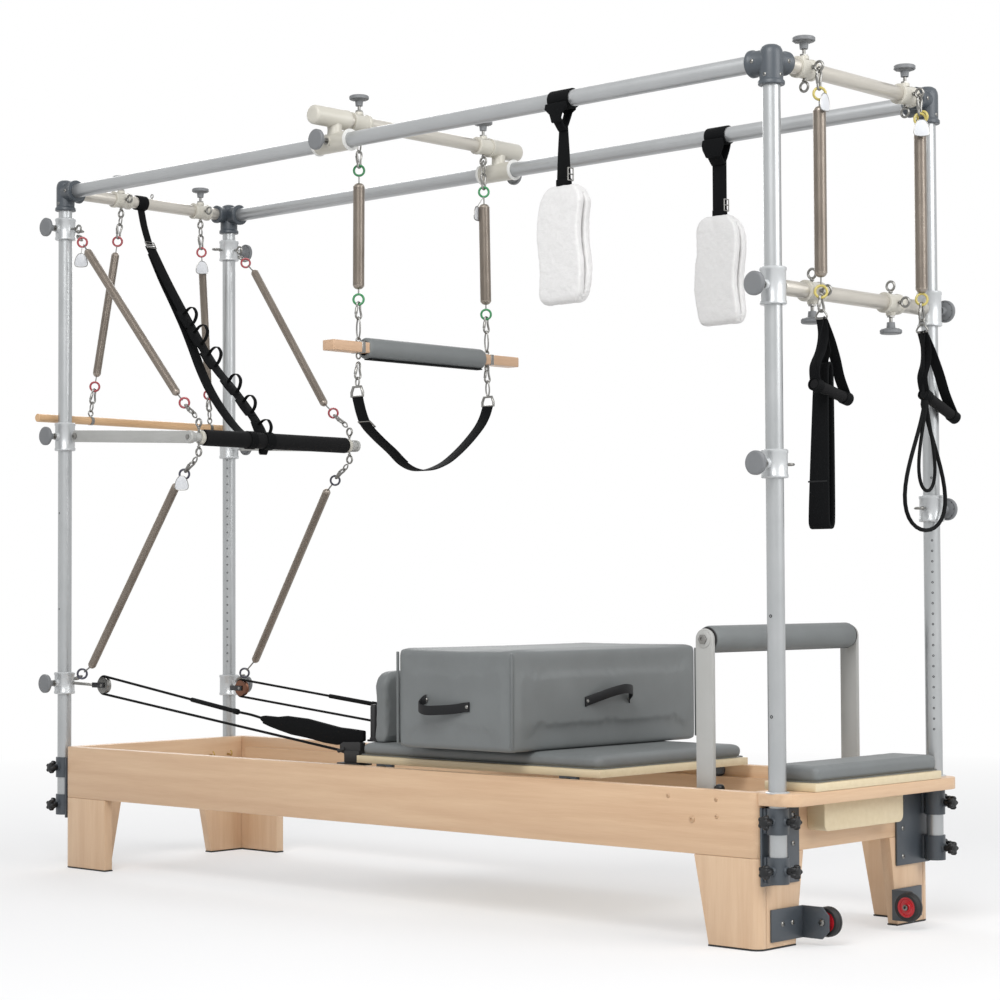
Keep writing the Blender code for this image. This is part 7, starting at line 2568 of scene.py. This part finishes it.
@dataclass
class LadderStrap:
    """A webbing strap with sewn-on grips, from the head crossbar down to the push bar."""

    y: float = -0.040
    wide: float = 0.040
    front: tuple[tuple[float, float], ...] = (
        (-1.322, 1.966), (-1.2467, 1.858), (-1.1850, 1.776), (-1.1227, 1.697), (-1.0594, 1.619),
        (-0.9921, 1.5455), (-0.9209, 1.4847), (-0.8507, 1.4186), (-0.7994, 1.3633), (-0.7790, 1.3330))
    back: tuple[tuple[float, float, float], ...] = (
        (-1.309, -0.040, 1.939), (-1.254, -0.041, 1.850), (-1.195, -0.044, 1.768), (-1.135, -0.050, 1.686),
        (-1.084, -0.060, 1.616), (-1.025, -0.078, 1.545), (-0.963, -0.0925, 1.476), (-0.897, -0.101, 1.412),
        (-0.8255, -0.106, 1.352), (-0.7790, -0.108, 1.3290))
    grips: tuple[tuple[float, float], ...] = (
        (-1.108, 1.740), (-1.050, 1.676), (-0.983, 1.598), (-0.897, 1.514), (-0.827, 1.442), (-0.752, 1.361))

    def build(self) -> None:
        """Build the strands, grips, wraps and buckle."""
        bends = Between("frame", "push_bar", (-1.37, self.y, 2.09), (-0.79, self.y, 1.36))
        top = Vector((-PLAN.post_x, self.y, PLAN.cross_z))
        front = self.strands(bends, top)
        self.loops(bends, front)
        self.wraps(top)
        self.buckle(bends)

    def strands(self, bends: Between, top: Vector) -> list[Vector]:
        """Build the neck and the two strands.

        Args:
            bends: The bodies that they bend between.
            top: The crossbar's axis above them.

        Returns:
            The front strand's middle line.
        """
        neck = [(top.x + 0.004, self.y, top.z - 0.021), (-1.354, self.y, 2.040), (-1.338, self.y, 2.000),
                (-1.324, self.y, 1.969)]
        straps = Shape().strap(rounded(neck, 5), AXIS_Y, 0.027, 0.0045)
        front = rounded([(x, self.y, z) for x, z in self.front], 5)
        straps.strap(front, AXIS_Y, self.wide, 0.0034)
        straps.done("ladder_front", WEBBING, bends, "black_webbing", "ladder_strap")
        Shape().strap(rounded(self.back, 5), AXIS_Y, self.wide, 0.0032).done(
            "ladder_back", WEBBING, bends, "black_webbing")
        return front

    def loops(self, bends: Between, line: Sequence[Vector]) -> None:
        """Build the step loops with the patches that sew them on.

        Args:
            bends: The bodies that they bend between.
            line: The front strand's middle line.
        """
        steps = Shape()
        for x, z in self.grips:
            spot = Vector((x, self.y, z))
            near = min(range(1, len(line) - 1), key=lambda i: (line[i] - spot).length)
            base = line[near]
            run = (line[near + 1] - line[near - 1]).normalized()
            out = spot - base
            out = (out - run * out.dot(run)).normalized()
            reach = max((spot - base).length, 0.020) + 0.010
            arc = []
            for k in range(11):
                turn = math.pi * k / 10
                arc.append(base - run * 0.027 * math.copysign(abs(math.cos(turn)) ** 0.8, math.cos(turn))
                           + out * reach * math.sin(turn) ** 0.7)
            steps.strap(rounded([base - run * 0.040, *arc, base + run * 0.040], 3), AXIS_Y, 0.0125, 0.0026)
            steps.strap([base - run * 0.036 - AXIS_Y * 0.007, base - AXIS_Y * 0.009,
                         base + run * 0.036 - AXIS_Y * 0.007], AXIS_Y, self.wide, 0.0052)
        steps.done("ladder_grips", WEBBING, bends, "black_webbing")

    def wraps(self, top: Vector) -> None:
        """Build the wraps round the push bar with the strap's tail, and the one round the crossbar.

        Args:
            top: The crossbar's axis above the strap.
        """
        wraps = Shape()
        for y, wide in ((self.y, 0.032), (-0.108, 0.026)):
            wraps.turned([(0.0247, -wide / 2), (0.0279, -wide / 2), (0.0279, wide / 2), (0.0247, wide / 2)],
                         (-0.760, y, 1.312), AXIS_Y, 36, True)
        tail = [(-0.776, self.y, 1.296), (-0.781, self.y, 1.282), (-0.776, self.y, 1.272),
                (-0.768, self.y, 1.285)]
        wraps.strap(rounded(tail, 5), AXIS_Y, 0.028, 0.0030)
        wraps.done("ladder_wraps", WEBBING, "push_bar", "black_webbing")
        upper = Shape().turned([(0.0193, -0.019), (0.0236, -0.019), (0.0240, 0.0), (0.0236, 0.019),
                                (0.0193, 0.019)], top, AXIS_Y, 36, True)
        upper.done("ladder_upper_wrap", WEBBING, "frame", "black_webbing")

    def buckle(self, bends: Between) -> None:
        """Build the buckle at the top of the strands.

        Args:
            bends: The bodies that it bends between.
        """
        buckle = Shape()
        spot = Vector((-1.322, self.y, 1.9685))
        frame_path = [(-0.018, 0.012), (0.018, 0.012), (0.018, -0.012), (-0.018, -0.012)]
        tilt = Vector((-0.55, 0, 0.83))
        buckle.tube([spot + AXIS_Y * a + tilt * b + Vector((0.003, 0, 0.002)) for a, b in frame_path], 0.0022,
                    True)
        buckle.rod(spot - AXIS_Y * 0.018 + Vector((0.004, 0, 0.003)),
                   spot + AXIS_Y * 0.018 + Vector((0.004, 0, 0.003)), 0.0020)
        buckle.done("ladder_buckle", CHROME, bends, "black_webbing")


# The room


@dataclass
class Studio:
    """Camera, lamps, floor and sky."""

    focal_px: float = 2409.83
    place: tuple[float, float, float] = (4.7611, -4.9675, 0.8574)
    yaw: float = 42.719
    pitch: float = 2.1074
    roll: float = -0.2605
    frame_px: float = 1000.0
    sensor: float = 36.0

    def camera(self) -> None:
        """Set the camera that the picture was taken with."""
        data = bpy.data.cameras.new("camera")
        data.sensor_width = self.sensor
        data.lens = self.focal_px * self.sensor / self.frame_px
        data.clip_end = 100.0
        yaw, pitch, roll = (math.radians(v) for v in (self.yaw, self.pitch, self.roll))
        ahead = Vector((-math.sin(yaw) * math.cos(pitch), math.cos(yaw) * math.cos(pitch), math.sin(pitch)))
        right = Vector((math.cos(yaw), math.sin(yaw), 0.0))
        up = right.cross(ahead)
        level = right * math.cos(roll) + up * math.sin(roll)
        upright = up * math.cos(roll) - right * math.sin(roll)
        made = bpy.data.objects.new("camera", data)
        made.matrix_world = Matrix((level, upright, -ahead)).transposed().to_4x4()
        made.matrix_world.translation = Vector(self.place)
        bpy.context.scene.collection.objects.link(made)
        bpy.context.scene.camera = made

    def lamp(self, name: str, spot: Point, aim: Point, size: float, watts: float) -> None:
        """Hang a large soft lamp.

        Args:
            name: Its name.
            spot: Where it hangs.
            aim: What it faces.
            size: Its side.
            watts: Its power.
        """
        data = bpy.data.lights.new(name, "AREA")
        data.size = size
        data.energy = watts
        made = bpy.data.objects.new(name, data)
        made.location = spot
        made.rotation_euler = (Vector(aim) - Vector(spot)).to_track_quat("-Z", "Y").to_euler()
        bpy.context.scene.collection.objects.link(made)

    def seen(self, tree: bpy.types.NodeTree) -> Socket:
        """Tell the rays that reach the eye, straight or by a mirror or glass, from those that light.

        Args:
            tree: The node tree of the sky or the floor.

        Returns:
            1 for a ray that reaches the eye, or else 0.
        """
        path = tree.nodes.new("ShaderNodeLightPath")
        seen = add(tree, "ShaderNodeMath", {"operation": "MAXIMUM"},
                   {0: path.outputs["Is Camera Ray"], 1: path.outputs["Is Glossy Ray"]})
        seen = add(tree, "ShaderNodeMath", {"operation": "MAXIMUM"},
                   {0: seen.outputs[0], 1: path.outputs["Is Transmission Ray"]})
        return seen.outputs[0]

    def light(self) -> None:
        """Hang the lamps and set the sky."""
        bpy.context.scene.view_settings.view_transform = "Standard"
        middle = (0.0, 0.0, 1.0)
        self.lamp("key_lamp", (2.6, -4.6, 5.2), middle, 3.4, 270.0)
        self.lamp("side_lamp", (5.4, 0.6, 3.4), middle, 3.0, 130.0)
        self.lamp("back_lamp", (-4.2, 3.2, 4.0), middle, 3.2, 110.0)
        world = bpy.data.worlds.new("sky")
        world.use_nodes = True
        bpy.context.scene.world = world
        tree = world.node_tree
        ground = tree.nodes["Background"]
        ground.inputs["Color"].default_value = (0.96, 0.97, 1.0, 1.0)
        ground.inputs["Strength"].default_value = 0.45
        seen = self.seen(tree)
        bright = add(tree, "ShaderNodeBackground", {"Color": (1.0, 1.0, 1.0, 1.0), "Strength": 1.0})
        both = add(tree, "ShaderNodeMixShader", {}, {0: seen, 1: ground.outputs[0], 2: bright.outputs[0]})
        tree.links.new(both.outputs[0], tree.nodes["World Output"].inputs["Surface"])

    def floor(self) -> None:
        """Lay a pale floor that keeps the bed's shadow and fades into the white sky."""
        shape = bmesh.new()
        bmesh.ops.create_circle(shape, cap_ends=True, segments=96, radius=26.0)
        mesh = bpy.data.meshes.new("floor")
        shape.to_mesh(mesh)
        shape.free()
        made = hold("floor", mesh)
        made.location.z = -0.0006
        stuff = bpy.data.materials.new("pale_floor")
        stuff.use_nodes = True
        tree = stuff.node_tree
        shader = tree.nodes["Principled BSDF"]
        shader.inputs["Base Color"].default_value = (0.86, 0.86, 0.86, 1.0)
        shader.inputs["Roughness"].default_value = 0.9
        shader.inputs["Specular IOR Level"].default_value = 0.0
        seen = self.seen(tree)
        spot = add(tree, "ShaderNodeTexCoord", {}).outputs["Object"]
        flat = add(tree, "ShaderNodeVectorMath", {"operation": "LENGTH"}, {0: spot})
        fade = add(tree, "ShaderNodeMapRange",
                   {"From Min": 2.2, "From Max": 6.0, "To Min": 0.42, "To Max": 1.0},
                   {"Value": flat.outputs["Value"]})
        share = add(tree, "ShaderNodeMath", {"operation": "MULTIPLY"}, {0: seen, 1: fade.outputs[0]})
        white = add(tree, "ShaderNodeEmission", {"Color": (1.0, 1.0, 1.0, 1.0), "Strength": 1.0})
        both = add(tree, "ShaderNodeMixShader", {},
                   {0: share.outputs[0], 1: shader.outputs[0], 2: white.outputs[0]})
        tree.links.new(both.outputs[0], tree.nodes["Material Output"].inputs["Surface"])
        mesh.materials.append(stuff)


def main() -> None:
    """Dress the solids from the camera and the bed up to the tower's hangings."""
    logging.basicConfig(level=logging.INFO, format="%(message)s")
    studio = Studio()
    studio.camera()
    studio.light()
    studio.floor()
    for assembly in (WoodFrame(), FootEnd(), TOWER, PostClamps(), TransportWheels(), Pulleys(), Carriage(),
                     SittingBox(), Footbar(), PushBar(), RollDown(), Trapeze(), LowerBar(), FootHangings(),
                     FleeceLoops(), Ropes(), LadderStrap()):
        LOG.info("-- %s", type(assembly).__name__)
        assembly.build()


if __name__ == "__main__":
    main()
